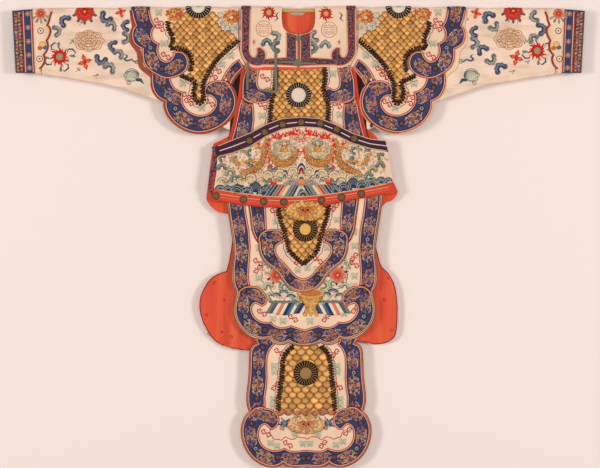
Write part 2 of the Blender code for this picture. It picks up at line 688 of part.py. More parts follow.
right = smooth(BODY_BACK_RIGHT[1:], closed=False)
left = list(reversed(smooth(BODY_BACK_LEFT[1:], closed=False)))
dip = smooth(NECK_BACK_DIP, closed=False)
line = [Vector((-52, CREST))] + dip + [Vector((52, CREST)), Vector((187, CREST))]
line += right + left + [Vector((-187, CREST))]
sheet("back_body", line, half_over_rod(BODY_LEVEL, ARC, 1), SILK_WALL, RED, rows=CREST_ROWS)

# Sleeves, cuffs and facings.
SIDE_SHARES = (0.12, 0.30, 0.50, 0.70, 0.88)
facing_line = smooth(FACING_EDGE, closed=False)


def seam_x(seam, z, drop, low):
    part = min(1.0, max(0.0, (z - low) / (drop - low)))
    return seam[0] + (seam[1] - seam[0]) * part


def sleeve_x(x, z, drop, low):
    if x == SLEEVE_ROWS[-1][0]:
        part = min(1.0, max(0.0, -z / 382.0))
        return SLEEVE_END_AT_ROD + (x - SLEEVE_END_AT_ROD) * part
    if x == SLEEVE_ROWS[0][0]:
        return seam_x(CUFF_SEAM, z, drop, low) + GAP
    return x


def cuff_blue_x(x, z, drop, low):
    if x == CUFF_SEAM[0]:
        return seam_x(CUFF_SEAM, z, drop, low)
    return seam_x(CUFF_MIDDLE, z, drop, low) + GAP


def cuff_brocade_x(x, z, drop, low):
    if x == CUFF_MIDDLE[0]:
        return seam_x(CUFF_MIDDLE, z, drop, low)
    return seam_x(CUFF_EDGE, z, drop, low)


def facing_x(x, z, drop, low):
    outer = seam_x(CUFF_SEAM, z, -3.0, -197.0) + GAP
    if z > facing_line[0].y:
        inner = facing_line[0].x
    elif z < facing_line[-1].y:
        inner = facing_line[-1].x
    else:
        inner = facing_line[-1].x
        for a, b in zip(facing_line, facing_line[1:]):
            if b.y <= z <= a.y:
                inner = a.x + (b.x - a.x) * (a.y - z) / max(1e-6, a.y - b.y)
                break
    return outer if x < -800.0 else inner


FACING_SHARES = tuple(-p.y / 190.0 for p in facing_line[1:-1])
SLEEVE_LEVELS = (BODY_LEVEL, BODY_LEVEL + SILK_WALL)
FACING_LEVELS = (SLEEVE_LEVELS[1] + GAP, SLEEVE_LEVELS[1] + GAP + LINED_WALL)
for word, sign in (("left", 1.0), ("right", -1.0)):
    made = [
        tube("sleeve_" + word, SLEEVE_ROWS, SLEEVE_LEVELS, CREAM, SIDE_SHARES, sleeve_x),
        tube("cuff_inner_band_" + word,
             ((CUFF_MIDDLE[0], CUFF_MIDDLE[2], CUFF_MIDDLE[3], 0.0),
              (CUFF_SEAM[0], CUFF_SEAM[2], CUFF_SEAM[3], 0.0)),
             SLEEVE_LEVELS, INDIGO, SIDE_SHARES, cuff_blue_x),
        tube("cuff_outer_band_" + word,
             ((CUFF_EDGE[0], CUFF_EDGE[2], CUFF_EDGE[3], 0.0),
              (CUFF_MIDDLE[0], CUFF_MIDDLE[2], CUFF_MIDDLE[3], 0.0)),
             SLEEVE_LEVELS, PURPLE, SIDE_SHARES, cuff_brocade_x),
        tube("cuff_facing_" + word,
             ((-829.0, -3.0, -197.0 - GAP - LINED_WALL, 0.0), (-772.0, 0.0, -200.0 - GAP - LINED_WALL, 0.0)),
             FACING_LEVELS, CREAM, FACING_SHARES, facing_x),
    ]
    if sign < 0:
        for obj in made:
            for vert in obj.data.vertices:
                vert.co.x = -vert.co.x
            obj.data.flip_normals()

# Shoulder guards hung over the sleeves, with their borders.
for word, turn in (("left", lambda rows: rows), ("right", mirrored)):
    sheet("guard_" + word, both_sides(turn(GUARD_EDGE)), over_rod(GUARD_LEVEL, ARC), LINED_WALL, CREAM,
          rows=ARC_ROWS)
    sheet("guard_upper_border_" + word, both_sides(turn(GUARD_UPPER_BORDER)),
          over_rod(GUARD_TOP_LEVEL, ARC), LINED_WALL, INDIGO, rows=ARC_ROWS)
    low = smooth(turn(GUARD_LOWER_BORDER))
    sheet("guard_lower_border_front_" + word, low, ahead(GUARD_LOW_LEVEL), LINED_WALL, INDIGO)
    sheet("guard_lower_border_back_" + word, low, behind(GUARD_LOW_LEVEL), LINED_WALL, INDIGO)
    spot = -315.0 if word == "left" else 315.0
    arc = math.pi * (GUARD_LOW_LEVEL + LINED_WALL / 2)
    ring = []
    for k in range(28):
        turn_k = 2 * math.pi * (k + 0.35) / 28
        ring.append(Vector((spot + MIRROR_RING * math.cos(turn_k), arc / 2 + MIRROR_RING * math.sin(turn_k))))
    rows = tuple(arc * k / ARC_STEPS for k in range(ARC_STEPS + 1))
    sheet("guard_mirror_" + word, ring, over_rod(GUARD_LOW_LEVEL, arc), LINED_WALL, PALE, rows=rows)

# Side gussets and the chest borders.
for word, turn in (("left", lambda rows: rows), ("right", mirrored)):
    sheet("side_gusset_" + word, smooth(turn(SIDE_GUSSET)), ahead(BODY_LEVEL), SILK_WALL, DARK)
    chest = smooth(mirrored(turn(CHEST_BORDER_RIGHT)))
    sheet("chest_border_" + word, chest, ahead(GUARD_LEVEL), LINED_WALL, INDIGO)
disc("chest_mirror", 0.0, -267.0, GUARD_LEVEL, PALE)

# Yoke over chest and shoulders.
for word, turn in (("right", lambda rows: rows), ("left", mirrored)):
    side = 1.0 if word == "right" else -1.0
    line = smooth(turn(YOKE_RIGHT), closed=False)
    line += [Vector((side * 181, CREST)), Vector((side * 52, CREST))]
    sheet("yoke_" + word, line, half_over_rod(YOKE_LEVEL, ARC, -1), LINED_WALL, CREAM, rows=CREST_ROWS)
    line = smooth(turn(YOKE_BORDER_RIGHT), closed=False)
    line += [Vector((side * 180, CREST)), Vector((side * 150, CREST))]
    sheet("yoke_border_" + word, line, half_over_rod(YOKE_BORDER_LEVEL, ARC, -1), LINED_WALL, PURPLE,
          rows=CREST_ROWS)
right = smooth(YOKE_BACK_HALF[1:], closed=False)
left = [Vector((-p.x, p.y)) for p in reversed(right)][1:]
line = [Vector((-52, CREST))] + dip + [Vector((52, CREST)), Vector((181, CREST))]
line += right + left + [Vector((-181, CREST))]
sheet("yoke_back", line, half_over_rod(YOKE_LEVEL, ARC, 1), LINED_WALL, CREAM, rows=CREST_ROWS)
sheet("yoke_lining", smooth(YOKE_LINING), ahead(GUARD_LOW_LEVEL), LINED_WALL, RED)
sheet("frog_upper", smooth(FROG_UPPER), ahead(TIE_LEVEL), 2.5, GREEN_GREY)
sheet("frog_lower", smooth(FROG_LOWER), ahead(TIE_LEVEL), 2.0, GREEN_GREY)
sheet("tie_side", smooth(TIE_SIDE), ahead(TIE_LEVEL), SILK_WALL, GREEN_GREY)
sheet("tie_middle", smooth(TIE_MIDDLE), ahead(TIE_LEVEL), SILK_WALL, GREEN_GREY)

# Waist belt, standing forward in its middle.
top = smooth(BELT_TOP_EDGE, closed=False)
band = smooth(BELT_BAND_EDGE, closed=False)
hem_top = smooth(BELT_HEM_TOP_EDGE, closed=False)
hem = smooth(BELT_HEM_EDGE, closed=False)
left_end = [Vector(p) for p in BELT_LEFT_END]
right_end = [Vector(p) for p in BELT_RIGHT_END]
line = top + [band[-1]] + right_end + [hem_top[-1]] + list(reversed(hem))
line += [hem_top[0]] + left_end + [band[0]]
sheet("belt", line, on_belt(0.0), BELT_WALL, PURPLE, columns=BELT_COLUMNS)
BAND_EXTRA = BELT_WALL + GAP
top_band = sheet("belt_top_band", top + list(reversed(band)), on_belt(BAND_EXTRA), LINED_WALL, PURPLE,
                 columns=BELT_COLUMNS)
union(top_band, [stud(f"stud_top_{k}", x, z, BAND_EXTRA + LINED_WALL, STUD_RADIUS, STUD_RISE)
                 for k, (x, z) in enumerate(BELT_TOP_STUDS)])
hem_band = sheet("belt_hem_band", hem_top + list(reversed(hem)), on_belt(BAND_EXTRA), LINED_WALL, RED,
                 columns=BELT_COLUMNS)
union(hem_band, [stud(f"stud_hem_{k}", x, z, BAND_EXTRA + LINED_WALL, STUD_RADIUS, STUD_RISE)
                 for k, (x, z) in enumerate(BELT_HEM_STUDS)])
sheet("belt_end_strip", smooth(BELT_END_STRIP), on_belt(0.0), LINED_WALL, PURPLE, columns=BELT_COLUMNS)
sheet("belt_back", smooth(BELT_BACK_EDGE), behind(BELT_BACK_LEVEL), LINED_WALL, RED)
mask("belt_mask", 21.0, -632.0, 27.0 + BAND_EXTRA + LINED_WALL + GAP, 126.0, 62.0, 12.0, GOLD)

# Apron with its flap.
line = smooth(moved(whole(APRON_HALF), CENTRE_APRON, TOP_APRON))
sheet("apron", line, folded_ahead(APRON_LEVEL), LINED_WALL, CREAM, columns=FOLD_COLUMNS)


def u_border(outer, inner):
    """A border running down one side, along the bottom and up the other, from right-half tables."""
    out_right = smooth(outer, closed=False)
    in_right = smooth(inner, closed=False)
    out_left = [Vector((-p.x, p.y)) for p in reversed(out_right)][1:]
    in_left = [Vector((-p.x, p.y)) for p in reversed(in_right)]
    return out_right + out_left + in_left + in_right[1:]


def shifted(line, dx, dz=0.0):
    return [Vector((p.x + dx, p.y + dz)) for p in line]


line = shifted(u_border(APRON_BORDER_OUTER, APRON_BORDER_INNER), CENTRE_APRON, TOP_APRON)
sheet("apron_border", line, folded_ahead(APRON_BORDER_LEVEL), LINED_WALL, INDIGO, columns=FOLD_COLUMNS)
line = smooth(moved(whole(FLAP_HALF), CENTRE_APRON - 4.0, TOP_APRON))
sheet("flap", line, folded_ahead(APRON_BORDER_LEVEL), LINED_WALL, CREAM, columns=FOLD_COLUMNS)
line = shifted(u_border(FLAP_BORDER_OUTER, FLAP_BORDER_INNER), CENTRE_APRON - 4.0, TOP_APRON)
sheet("flap_border", line, folded_ahead(FLAP_BORDER_LEVEL), LINED_WALL, INDIGO, columns=FOLD_COLUMNS)
disc("flap_mirror", 21.0, -689.0, FLAP_BORDER_LEVEL + 2.9, GOLD, ring=38.0, inner=18.0)

# Fish-tail panel hanging behind the apron.
line = smooth(moved(whole(TAIL_HALF), CENTRE_TAIL))
sheet("tail", line, folded_ahead(TAIL_LEVEL), LINED_WALL, GOLD, columns=FOLD_COLUMNS)
line = shifted(u_border(TAIL_BORDER_OUTER, TAIL_BORDER_INNER), CENTRE_TAIL)
sheet("tail_border", line, folded_ahead(TAIL_BORDER_LEVEL), LINED_WALL, INDIGO, columns=FOLD_COLUMNS)
disc("tail_mirror", 23.0, -1142.0, TAIL_BORDER_LEVEL + 2.9, PALE, ring=38.0, inner=18.0)
mask("tail_mask", 24.0, -1304.0, TAIL_BORDER_LEVEL + 2.9, 120.0, 58.0, 10.0, GOLD)

# Back skirt, lining to the front, with folds that deepen to its hem.
SKIRT_TOP = -665.0
SKIRT_LOW = -1075.0


def skirt_place(x, z, t):
    part = min(1.0, max(0.0, (SKIRT_TOP - z) / (SKIRT_TOP - SKIRT_LOW)))
    return x, BODY_LEVEL + t + part * between(SKIRT_FOLDS, x), z


sheet("back_skirt", smooth(BACK_SKIRT), skirt_place, SILK_WALL, RED, rows=SKIRT_ROWS,
      columns=tuple(row[0] for row in SKIRT_FOLDS[1:-1]))

cutters.hide_render = True
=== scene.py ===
"""Looks of the opera armour costume: cloth, borders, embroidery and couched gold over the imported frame.

Lengths are in millimetres from the middle of the rod: x across, z up, the front faces -y.
Places read off the photograph are in its picture points and go through at().
"""
from math import atan2, ceil, cos, degrees, exp, floor, hypot, pi, radians, sin, sqrt, tau

import bpy
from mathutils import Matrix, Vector
from mathutils.geometry import delaunay_2d_cdt


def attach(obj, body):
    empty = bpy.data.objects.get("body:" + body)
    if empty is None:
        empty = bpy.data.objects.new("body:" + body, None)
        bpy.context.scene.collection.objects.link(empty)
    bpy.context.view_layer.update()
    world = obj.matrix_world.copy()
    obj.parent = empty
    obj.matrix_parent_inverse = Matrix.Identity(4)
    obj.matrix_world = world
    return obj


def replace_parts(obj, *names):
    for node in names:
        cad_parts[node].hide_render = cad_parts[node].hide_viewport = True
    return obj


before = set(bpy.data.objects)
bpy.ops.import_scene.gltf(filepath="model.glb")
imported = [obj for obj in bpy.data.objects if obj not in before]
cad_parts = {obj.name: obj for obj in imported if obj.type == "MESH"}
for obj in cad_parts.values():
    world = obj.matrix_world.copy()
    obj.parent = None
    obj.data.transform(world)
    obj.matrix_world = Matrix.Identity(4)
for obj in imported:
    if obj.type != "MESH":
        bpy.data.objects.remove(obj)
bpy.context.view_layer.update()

MM = 0.001
CORNER = "corner"
# Millimetres to a picture point, and the picture point of the rod's middle.
POINT = 3.15
PHOTO_X = 298.5
PHOTO_Y = 10.4
# Picture points of a place and of its mirror image add up to these.
MIRROR_AXIS = 597.0
BELT_AXIS = 602.0
# A curve between two points of a table has a step for so many degrees that it turns, up to a most.
STEP_TURN = 11.0
MOST_STEPS = 7
# Hair's breadths that keep a row or a column off the points of an outline.
CUT_SHIFT = 0.0137
ROW_SHIFT = 0.0071
# Spacing of a panel's bend lines, and the cloth that lies over the rod: its length, steps and top.
GRID = 21.0
ARC = 28.0
ARC_STEPS = 8
CREST = ARC / 2 - 0.27
NECK_REACH = 52
BODY_REACH = 187
YOKE_REACH = 181
# Middle lines of the lower panels, and the height that the apron and flap are measured from.
CENTRE_APRON = 19.0
CENTRE_FLAP = 15.0
CENTRE_TAIL = 24.0
TOP_APRON = -597.0
# Back skirt: where its folds begin, how far down they are at their deepest, and where its lobes begin.
SKIRT_FOLD_TOP = -665.0
SKIRT_FOLD_DROP = 410.0
SKIRT_LOBE = 190
# The angle between one seed of a flower head and the next, which scatters curls evenly.
GOLDEN_ANGLE = 2.39996
# Along a border: from one knot to the next, and the eyelets that are light.
KNOT_PITCH = 82.0
LIGHT_EYELETS = (1, 4)

# Layers: how far the inner face lies from the rod's middle plane, and the walls.
SILK = 1.2
LINED = 1.5
BODY_LEVEL = 6.3
GUARD_LEVEL = 7.8
GUARD_LOW_LEVEL = 9.6
GUARD_TOP_LEVEL = 11.4
YOKE_BORDER_LEVEL = 13.2
TIE_LEVEL = 15.0
TAIL_LEVEL = 2.7
TAIL_BORDER_LEVEL = 4.5
APRON_BORDER_LEVEL = 8.1
FLAP_BORDER_LEVEL = 9.9
BELT_EXTRA = 2.5
BELT_WALL = 2.2
MIRROR_LIFT = 1.3
FACING_LEVEL = 7.8

# Edge tables.  Columns: x across, z up, and CORNER where the edge turns sharply.
GUARD_EDGE = (
    (-532, 0, CORNER), (-528, -30), (-524, -52, CORNER), (-532, -77), (-532, -100), (-521, -118),
    (-509, -134), (-504, -172), (-496, -188), (-480, -200), (-466, -213), (-466, -232), (-461, -254),
    (-446, -276), (-425, -289, CORNER), (-425, -307), (-413, -336), (-389, -361), (-356, -381),
    (-317, -390), (-280, -386), (-244, -370), (-214, -347), (-197, -317), (-192, -285), (-198, -255),
    (-211, -238, CORNER), (-197, -213), (-178, -190), (-165, -172, CORNER), (-186, -120),
    (-188, -60), (-188, 0, CORNER),
)
GUARD_UPPER_BORDER = (
    (-526, 0, CORNER), (-521, -24), (-513, -48, CORNER), (-523, -65), (-524, -87), (-517, -106),
    (-502, -118), (-491, -123, CORNER), (-491, -144), (-487, -166), (-471, -188), (-449, -203),
    (-421, -215), (-392, -213), (-367, -202), (-351, -185), (-346, -166), (-350, -148), (-361, -134),
    (-376, -129), (-391, -132, CORNER), (-397, -147), (-411, -160), (-427, -157), (-436, -147),
    (-442, -128), (-436, -105, CORNER), (-455, -95), (-461, -79), (-458, -62), (-449, -51, CORNER),
    (-460, -35), (-466, -14), (-468, 0, CORNER),
)
GUARD_LOWER_BORDER = (
    (-461, -194, CORNER), (-462, -229), (-457, -251), (-443, -273), (-419, -287, CORNER),
    (-419, -307), (-408, -333), (-386, -358), (-354, -377), (-317, -386), (-282, -381), (-247, -366),
    (-219, -342), (-202, -314), (-197, -285), (-203, -259), (-214, -240, CORNER), (-204, -216),
    (-190, -197), (-172, -180, CORNER), (-187, -154, CORNER), (-206, -166), (-225, -188),
    (-243, -222, CORNER), (-266, -222), (-285, -232), (-296, -248), (-296, -263),
    (-291, -273, CORNER), (-282, -270), (-269, -276), (-261, -290), (-266, -307), (-280, -322),
    (-301, -329), (-323, -328), (-345, -317), (-359, -301), (-365, -282), (-361, -257, CORNER),
    (-380, -251), (-394, -238), (-402, -219), (-405, -194, CORNER),
)
GUARD_FIELD = (
    (-411, 2, CORNER), (-411, -37), (-408, -62), (-395, -87), (-403, -115, CORNER), (-383, -120),
    (-358, -125), (-340, -144), (-335, -166), (-342, -191), (-364, -205, CORNER), (-342, -218),
    (-323, -229), (-331, -257), (-323, -285), (-310, -293), (-299, -279), (-301, -244), (-295, -219),
    (-279, -188), (-257, -156), (-228, -128), (-189, -94, CORNER), (-189, 2, CORNER),
)
GUARD_EDGING = (
    ((-411, -37), (-408, -62), (-395, -87), (-403, -118)),
    ((-400, -120), (-383, -120), (-358, -125), (-340, -144), (-335, -166), (-342, -194)),
    ((-368, -206), (-342, -218), (-323, -229), (-331, -257), (-323, -285), (-310, -293), (-299, -282),
     (-301, -244), (-295, -219), (-279, -188), (-257, -156), (-228, -128), (-189, -94)),
)
BODY_FRONT_HALF = (
    (187, 0, CORNER), (187, -109, CORNER), (176, -150), (181, -203), (186, -266),
    (194, -301), (201, -339), (205.5, -370), (208, -388), (218, -415), (230, -471),
    (233, -545, CORNER),
)
NECK_FRONT_HALF = ((0, -77, CORNER), (39, -66), (51, -45), (52, 0, CORNER))
BODY_BACK_RIGHT = (
    (187, 0, CORNER), (187, -125), (184, -181), (191, -232), (199, -290),
    (203, -345), (205.5, -370), (208, -388), (228, -410), (236, -440), (238, -545, CORNER),
)
BODY_BACK_LEFT = (
    (-187, 0, CORNER), (-187, -125), (-184, -175), (-190, -235), (-198, -290),
    (-203, -345), (-205.5, -370), (-208, -388), (-214, -405), (-219, -440), (-219, -545, CORNER),
)
NECK_BACK_DIP = ((-52, 0, CORNER), (-40, -3), (0, -17), (28, -3), (52, 0, CORNER))
# The side gusset: a near-black brown sheet of painted shade in the gap beside the chest.
SIDE_GUSSET = (
    (-176.6, -150, CORNER), (-181.7, -203), (-186.8, -266), (-194.8, -301), (-202.9, -341, CORNER),
    (-206.2, -341, CORNER), (-203.9, -301), (-202.0, -266), (-198.5, -203), (-195.6, -150, CORNER),
)
CHEST_BORDER_RIGHT = (
    (162, -173, CORNER), (168, -190), (176, -219), (178, -251), (178, -273, CORNER), (187, -301),
    (193, -333), (200, -367), (212, -408), (218, -446, CORNER), (148, -446, CORNER), (143, -377),
    (139, -345), (140, -314), (143, -292, CORNER), (120, -293), (98, -289), (85, -276), (80, -260),
    (88, -246), (101, -244, CORNER), (113, -249), (126, -241), (129, -219), (124, -194),
    (121, -173, CORNER),
)
CHEST_FIELD = (
    (-70, -175, CORNER), (-72, -219), (-74, -251), (-84, -282), (-88, -314), (-90, -352),
    (-92, -440, CORNER), (92, -440, CORNER), (92, -352), (94, -314), (92, -290), (78, -251), (84, -210),
    (80, -175, CORNER),
)
YOKE_RIGHT = (
    (52, 0, CORNER), (51, -45), (39, -66), (3, -77, CORNER), (3, -180, CORNER), (63, -179),
    (107, -178, CORNER), (129, -181), (153, -176), (173, -157), (183, -131), (182, -109), (181, -60),
    (181, 0, CORNER),
)
YOKE_BORDER_RIGHT = (
    (150, 0, CORNER), (151, -46), (153, -115), (151, -137), (140, -147), (132, -134),
    (134, -122, CORNER), (123, -116), (110, -123), (102, -137), (104, -152, CORNER), (76, -150),
    (40, -148, CORNER), (39, -109), (39, -68, CORNER), (5, -79, CORNER), (5, -177, CORNER),
    (57, -175), (113, -174, CORNER), (129, -177), (151, -172), (172, -153), (181, -125), (180, -62),
    (180, 0, CORNER),
)
YOKE_BACK_HALF = (
    (181, 0, CORNER), (182, -109), (183, -131), (173, -157), (153, -176),
    (129, -181), (107, -178, CORNER), (63, -179), (0, -180, CORNER),
)
YOKE_LINING = (
    (-150, -150, CORNER), (-156, -184, CORNER), (-110, -189), (-60, -188), (0, -188), (40, -186),
    (84, -183, CORNER), (84, -160, CORNER), (0, -160), (-60, -150, CORNER),
)
FROG_UPPER = (
    (-6, -80, CORNER), (6, -80, CORNER), (8, -88), (6, -95), (0, -98), (-6, -95), (-8, -88),
)
FROG_LOWER = (
    (-63, -163, CORNER), (-40, -161.5), (-15, -162), (-8, -156), (-2, -154.5), (6, -158), (11, -164.5),
    (38, -165.5), (56, -166.5, CORNER), (56, -171, CORNER), (38, -170.5), (11, -170.5), (4, -176), (-4, -178),
    (-11, -174), (-15, -167.5), (-40, -166.5), (-63, -168, CORNER),
)
TIE_SIDE = (
    (-163, -162, CORNER), (-155, -162, CORNER), (-156, -205), (-157, -252, CORNER), (-165, -251, CORNER),
    (-164, -205),
)
TIE_MIDDLE = (
    (-75, -122, CORNER), (-67, -122, CORNER), (-67, -185), (-66, -262, CORNER), (-90, -260),
    (-114, -256, CORNER), (-115, -249, CORNER), (-92, -251), (-75, -253, CORNER), (-76, -185),
)
BELT_TOP_EDGE = (
    (-263, -430, CORNER), (-209, -408), (-153, -386), (-102, -359), (-52, -341), (8, -336),
    (68, -341), (118, -360), (169, -386), (225, -404), (273, -409, CORNER),
)
BELT_BAND_EDGE = (
    (-255, -463, CORNER), (-209, -452), (-153, -432), (-102, -400), (-52, -378), (8, -370),
    (68, -374), (118, -396), (169, -421), (225, -437), (282, -446, CORNER),
)
BELT_HEM_TOP_EDGE = (
    (-266, -561, CORNER), (-209, -570), (-153, -579), (-102, -584), (-52, -587), (8, -586),
    (68, -581), (118, -574), (169, -566), (225, -555), (296, -540, CORNER),
)
BELT_HEM_EDGE = (
    (-272, -598, CORNER), (-209, -608), (-153, -616), (-102, -620), (-52, -622), (8, -621),
    (68, -616), (118, -608), (169, -597), (225, -588), (304, -574, CORNER),
)
BELT_END_STRIP = (
    (-273, -430, CORNER), (-263.3, -430, CORNER), (-255.3, -463, CORNER), (-257.3, -505, CORNER),
    (-266.3, -561, CORNER), (-271, -582, CORNER), (-284, -562, CORNER), (-277, -505),
    (-269, -463),
)
BELT_LEFT_END = (-257, -505)
BELT_RIGHT_END = (288, -480)
BELT_STAND = (
    (-320, 9.0), (-260, 10.3), (-220, 11.3), (-180, 15.0), (-140, 19.5), (-100, 23.0), (-60, 25.5),
    (-20, 27.0), (20, 27.0), (60, 25.5), (100, 23.0), (140, 19.5), (180, 15.0), (220, 11.3),
    (260, 10.3), (320, 9.0),
)
BELT_TOP_STUDS = (
    (-154, -411), (-106, -385), (-50, -361), (8, -354), (68, -357), (120, -376), (175, -404),
)
BELT_HEM_STUDS = ((-173, -596), (-109, -602), (-46, -604), (72, -598), (135, -589), (197, -578))
BELT_BACK_EDGE = (
    (-269, -419, CORNER), (-241, -406), (-213, -392), (-184, -372), (-115, -342), (-52, -320),
    (8, -314), (68, -320), (131, -342), (200, -364), (222, -377), (238, -389), (252, -407, CORNER),
    (270, -480), (312, -566), (307, -586), (291, -600), (276, -605), (263, -618), (225, -626),
    (131, -638), (8, -648), (-115, -644), (-184, -643), (-222, -641), (-250, -636), (-269, -624),
    (-284, -607), (-291, -591, CORNER), (-280, -500),
)
APRON_HALF = (
    (246, 51.7, CORNER), (246, 0), (240, -44), (232, -94), (225, -142), (224, -173), (229, -214),
    (230, -246), (224, -274), (214, -290, CORNER), (222, -324), (224, -350), (216, -383),
    (195, -412), (170, -431), (137, -440), (113, -437, CORNER), (96, -452), (69, -456),
    (50, -449, CORNER), (25, -459), (0, -461),
)
APRON_BORDER_OUTER = (
    (241, 40, CORNER), (241, 0), (236, -44), (227, -94), (220, -142), (220, -173), (225, -214),
    (225, -246), (219, -274), (208, -290, CORNER), (217, -324), (219, -350), (211, -381),
    (192, -408), (167, -426), (135, -435), (110, -432, CORNER), (93, -447), (69, -451),
    (50, -443, CORNER), (25, -455), (0, -457),
)
APRON_BORDER_INNER = (
    (0, -408), (19, -402), (44, -394, CORNER), (65, -400), (88, -397), (106, -383, CORNER),
    (135, -382), (154, -370), (164, -353), (165, -337), (156, -326), (146, -329),
    (134, -336, CORNER), (121, -326), (117, -309), (129, -287), (151, -272), (171, -271, CORNER),
    (176, -236), (173, -195), (170, -148), (174, -94), (183, -47), (189, 0), (191, 40, CORNER),
)
FLAP_HALF = (
    (178, 45, CORNER), (176, 0), (169, -47), (164, -91), (154, -119), (143, -135, CORNER),
    (142, -152), (136, -175), (120, -200), (97, -217), (77, -238), (60, -264), (37, -284), (0, -294),
)
FLAP_BORDER_OUTER = (
    (175, 40, CORNER), (173, 0), (166, -47), (161, -91), (151, -118), (139, -135, CORNER),
    (138, -151), (133, -173), (117, -197), (94, -214), (74, -235), (57, -261), (35, -280), (0, -290),
)
FLAP_BORDER_INNER = (
    (0, -247), (22, -239), (38, -222), (57, -200), (77, -180), (86, -161), (82, -143), (68, -135),
    (56, -124), (57, -106), (72, -94), (94, -91), (115, -95, CORNER), (117, -50), (121, 0),
    (122, 40, CORNER),
)
FLAP_FIELD_HALF = (
    (82, 19, CORNER), (80, -16), (74, -57), (61, -94), (50, -132), (43, -161), (19, -184),
    (0, -202, CORNER),
)
TAIL_HALF = (
    (150, -560, CORNER), (165, -1020), (163, -1036), (157, -1047, CORNER), (173, -1058),
    (179, -1082), (180, -1114), (181, -1145), (184, -1177), (188, -1208), (188, -1234), (184, -1252),
    (180, -1263, CORNER), (193, -1277), (202, -1297), (206, -1320), (204, -1345), (195, -1375),
    (178, -1403), (155, -1423), (128, -1436), (102, -1440), (82, -1434), (72, -1427, CORNER),
    (57, -1437), (32, -1440), (0, -1438),
)
TAIL_BORDER_OUTER = (
    (161, -1000, CORNER), (158, -1038), (153, -1049, CORNER), (169, -1060), (175, -1082),
    (176, -1114), (177, -1145), (180, -1177), (184, -1208), (184, -1234), (180, -1252),
    (175, -1265, CORNER), (189, -1279), (198, -1298), (202, -1320), (200, -1344), (192, -1372),
    (176, -1399), (154, -1419), (128, -1432), (102, -1436), (82, -1430), (72, -1423, CORNER),
    (57, -1433), (32, -1436), (0, -1434),
)
TAIL_BORDER_INNER = (
    (0, -1383), (25, -1386), (49, -1386), (68, -1377, CORNER), (90, -1384), (115, -1382),
    (135, -1370), (146, -1352), (149, -1330), (143, -1312), (131, -1304), (120, -1311),
    (112, -1320, CORNER), (101, -1318), (89, -1306), (84, -1287), (91, -1269), (107, -1256),
    (128, -1252, CORNER), (129, -1218), (124, -1186), (122, -1155), (123, -1123), (122, -1093),
    (113, -1068), (98, -1052, CORNER), (104, -1038), (107, -1000, CORNER),
)
TAIL_FIELD_HALF = (
    (39, -1020, CORNER), (43, -1051), (63, -1071), (77, -1092), (82, -1123), (83, -1161), (87, -1199),
    (91, -1234), (93, -1263, CORNER), (0, -1266, CORNER),
)
BACK_SKIRT = (
    (-219, -545.3, CORNER), (-219, -613), (-206, -692), (-213, -755), (-220, -793),
    (-228, -821, CORNER), (-254, -830), (-279, -846), (-298, -874), (-310, -903), (-313, -928),
    (-310, -956), (-301, -985), (-285, -1016), (-266, -1041), (-241, -1056), (-209, -1065),
    (-175, -1071), (-134, -1073), (0, -1064), (130, -1046), (175, -1041), (213, -1046),
    (238, -1053), (266, -1051), (291, -1041), (307, -1022), (312, -982), (313, -937), (310, -896),
    (301, -859), (285, -830), (266, -811, CORNER), (257, -793), (247, -755), (232, -692),
    (238, -613), (238, -545.3, CORNER),
)
LOWER_FOLDS = (
    (-260, 0.4), (-220, 1.4), (-180, 2.4), (-140, 1.6), (-100, 0.0), (-60, 0.5), (-20, 2.0),
    (20, 2.8), (60, 1.6), (100, 0.2), (140, 1.0), (180, 2.4), (220, 1.4), (260, 0.4), (300, 0.0),
)
SKIRT_FOLDS = (
    (-320, 0.0), (-290, 5.0), (-255, 12.0), (-220, 4.0), (-170, 0.0), (-110, 9.0), (-50, 2.0),
    (10, 10.0), (70, 1.0), (130, 8.0), (180, 0.0), (225, 5.0), (262, 13.0), (294, 5.0), (320, 0.0),
)
# Left sleeve.  Columns: x across, drop of the top line, z of the lower edge, side fluting.
SLEEVE_ROWS = (
    (-829, -3, -197, 0.0), (-772, 0, -207, 0.0), (-740, 0, -211, 2.6), (-705, 0, -217, 4.2),
    (-669, 0, -223, 1.4), (-630, 0, -229, 0.4), (-600, 0, -235, 2.8), (-568, 0, -243, 2.2),
    (-535, 0, -253, 0.0), (-468, 0, -276, 0.0), (-386, 0, -301, 0.0), (-295, 0, -342, 0.0),
    (-240, 0, -367, 0.0), (-209, 0, -382, 0.0),
)
FACING_EDGE = (
    (-773, -5, CORNER), (-778, -18), (-781, -33), (-787, -48, CORNER), (-777, -62), (-781, -81),
    (-789, -95, CORNER), (-785, -112), (-789, -128), (-799, -140, CORNER), (-794, -156),
    (-800, -172), (-812, -184, CORNER),
)


def srgb(r, g, b):
    """A colour given as it looks on a screen, made linear."""
    return tuple(((c / 255 + 0.055) / 1.055) ** 2.4 if c > 10 else c / 255 / 12.92 for c in (r, g, b))


INDIGO = srgb(58, 58, 94)
INDIGO_DEEP = srgb(28, 28, 58)
CREAM = srgb(245, 209, 181)
CREAM_PALE = srgb(243, 222, 192)
PIPE_RED = srgb(196, 46, 32)
PIPE_PEACH = srgb(240, 180, 146)
THREAD_ORANGE = srgb(196, 112, 58)
THREAD_PINK = srgb(200, 128, 112)
THREAD_LILAC = srgb(138, 100, 128)
THREAD_GREY = srgb(152, 146, 150)
THREAD_PEACH = srgb(226, 180, 138)
THREAD_RED = srgb(212, 42, 26)
THREAD_GREEN = srgb(150, 158, 132)
THREAD_SLATE = srgb(84, 90, 100)
THREAD_SMOKE = srgb(126, 126, 116)
THREAD_NAVY = srgb(42, 50, 92)
THREAD_BLUE = srgb(80, 108, 144)
THREAD_SKY = srgb(168, 178, 176)
THREAD_TEAL = srgb(52, 84, 98)
GOLD_LIGHT = srgb(240, 186, 112)
GOLD = srgb(206, 130, 64)
GOLD_DARK = srgb(116, 62, 28)
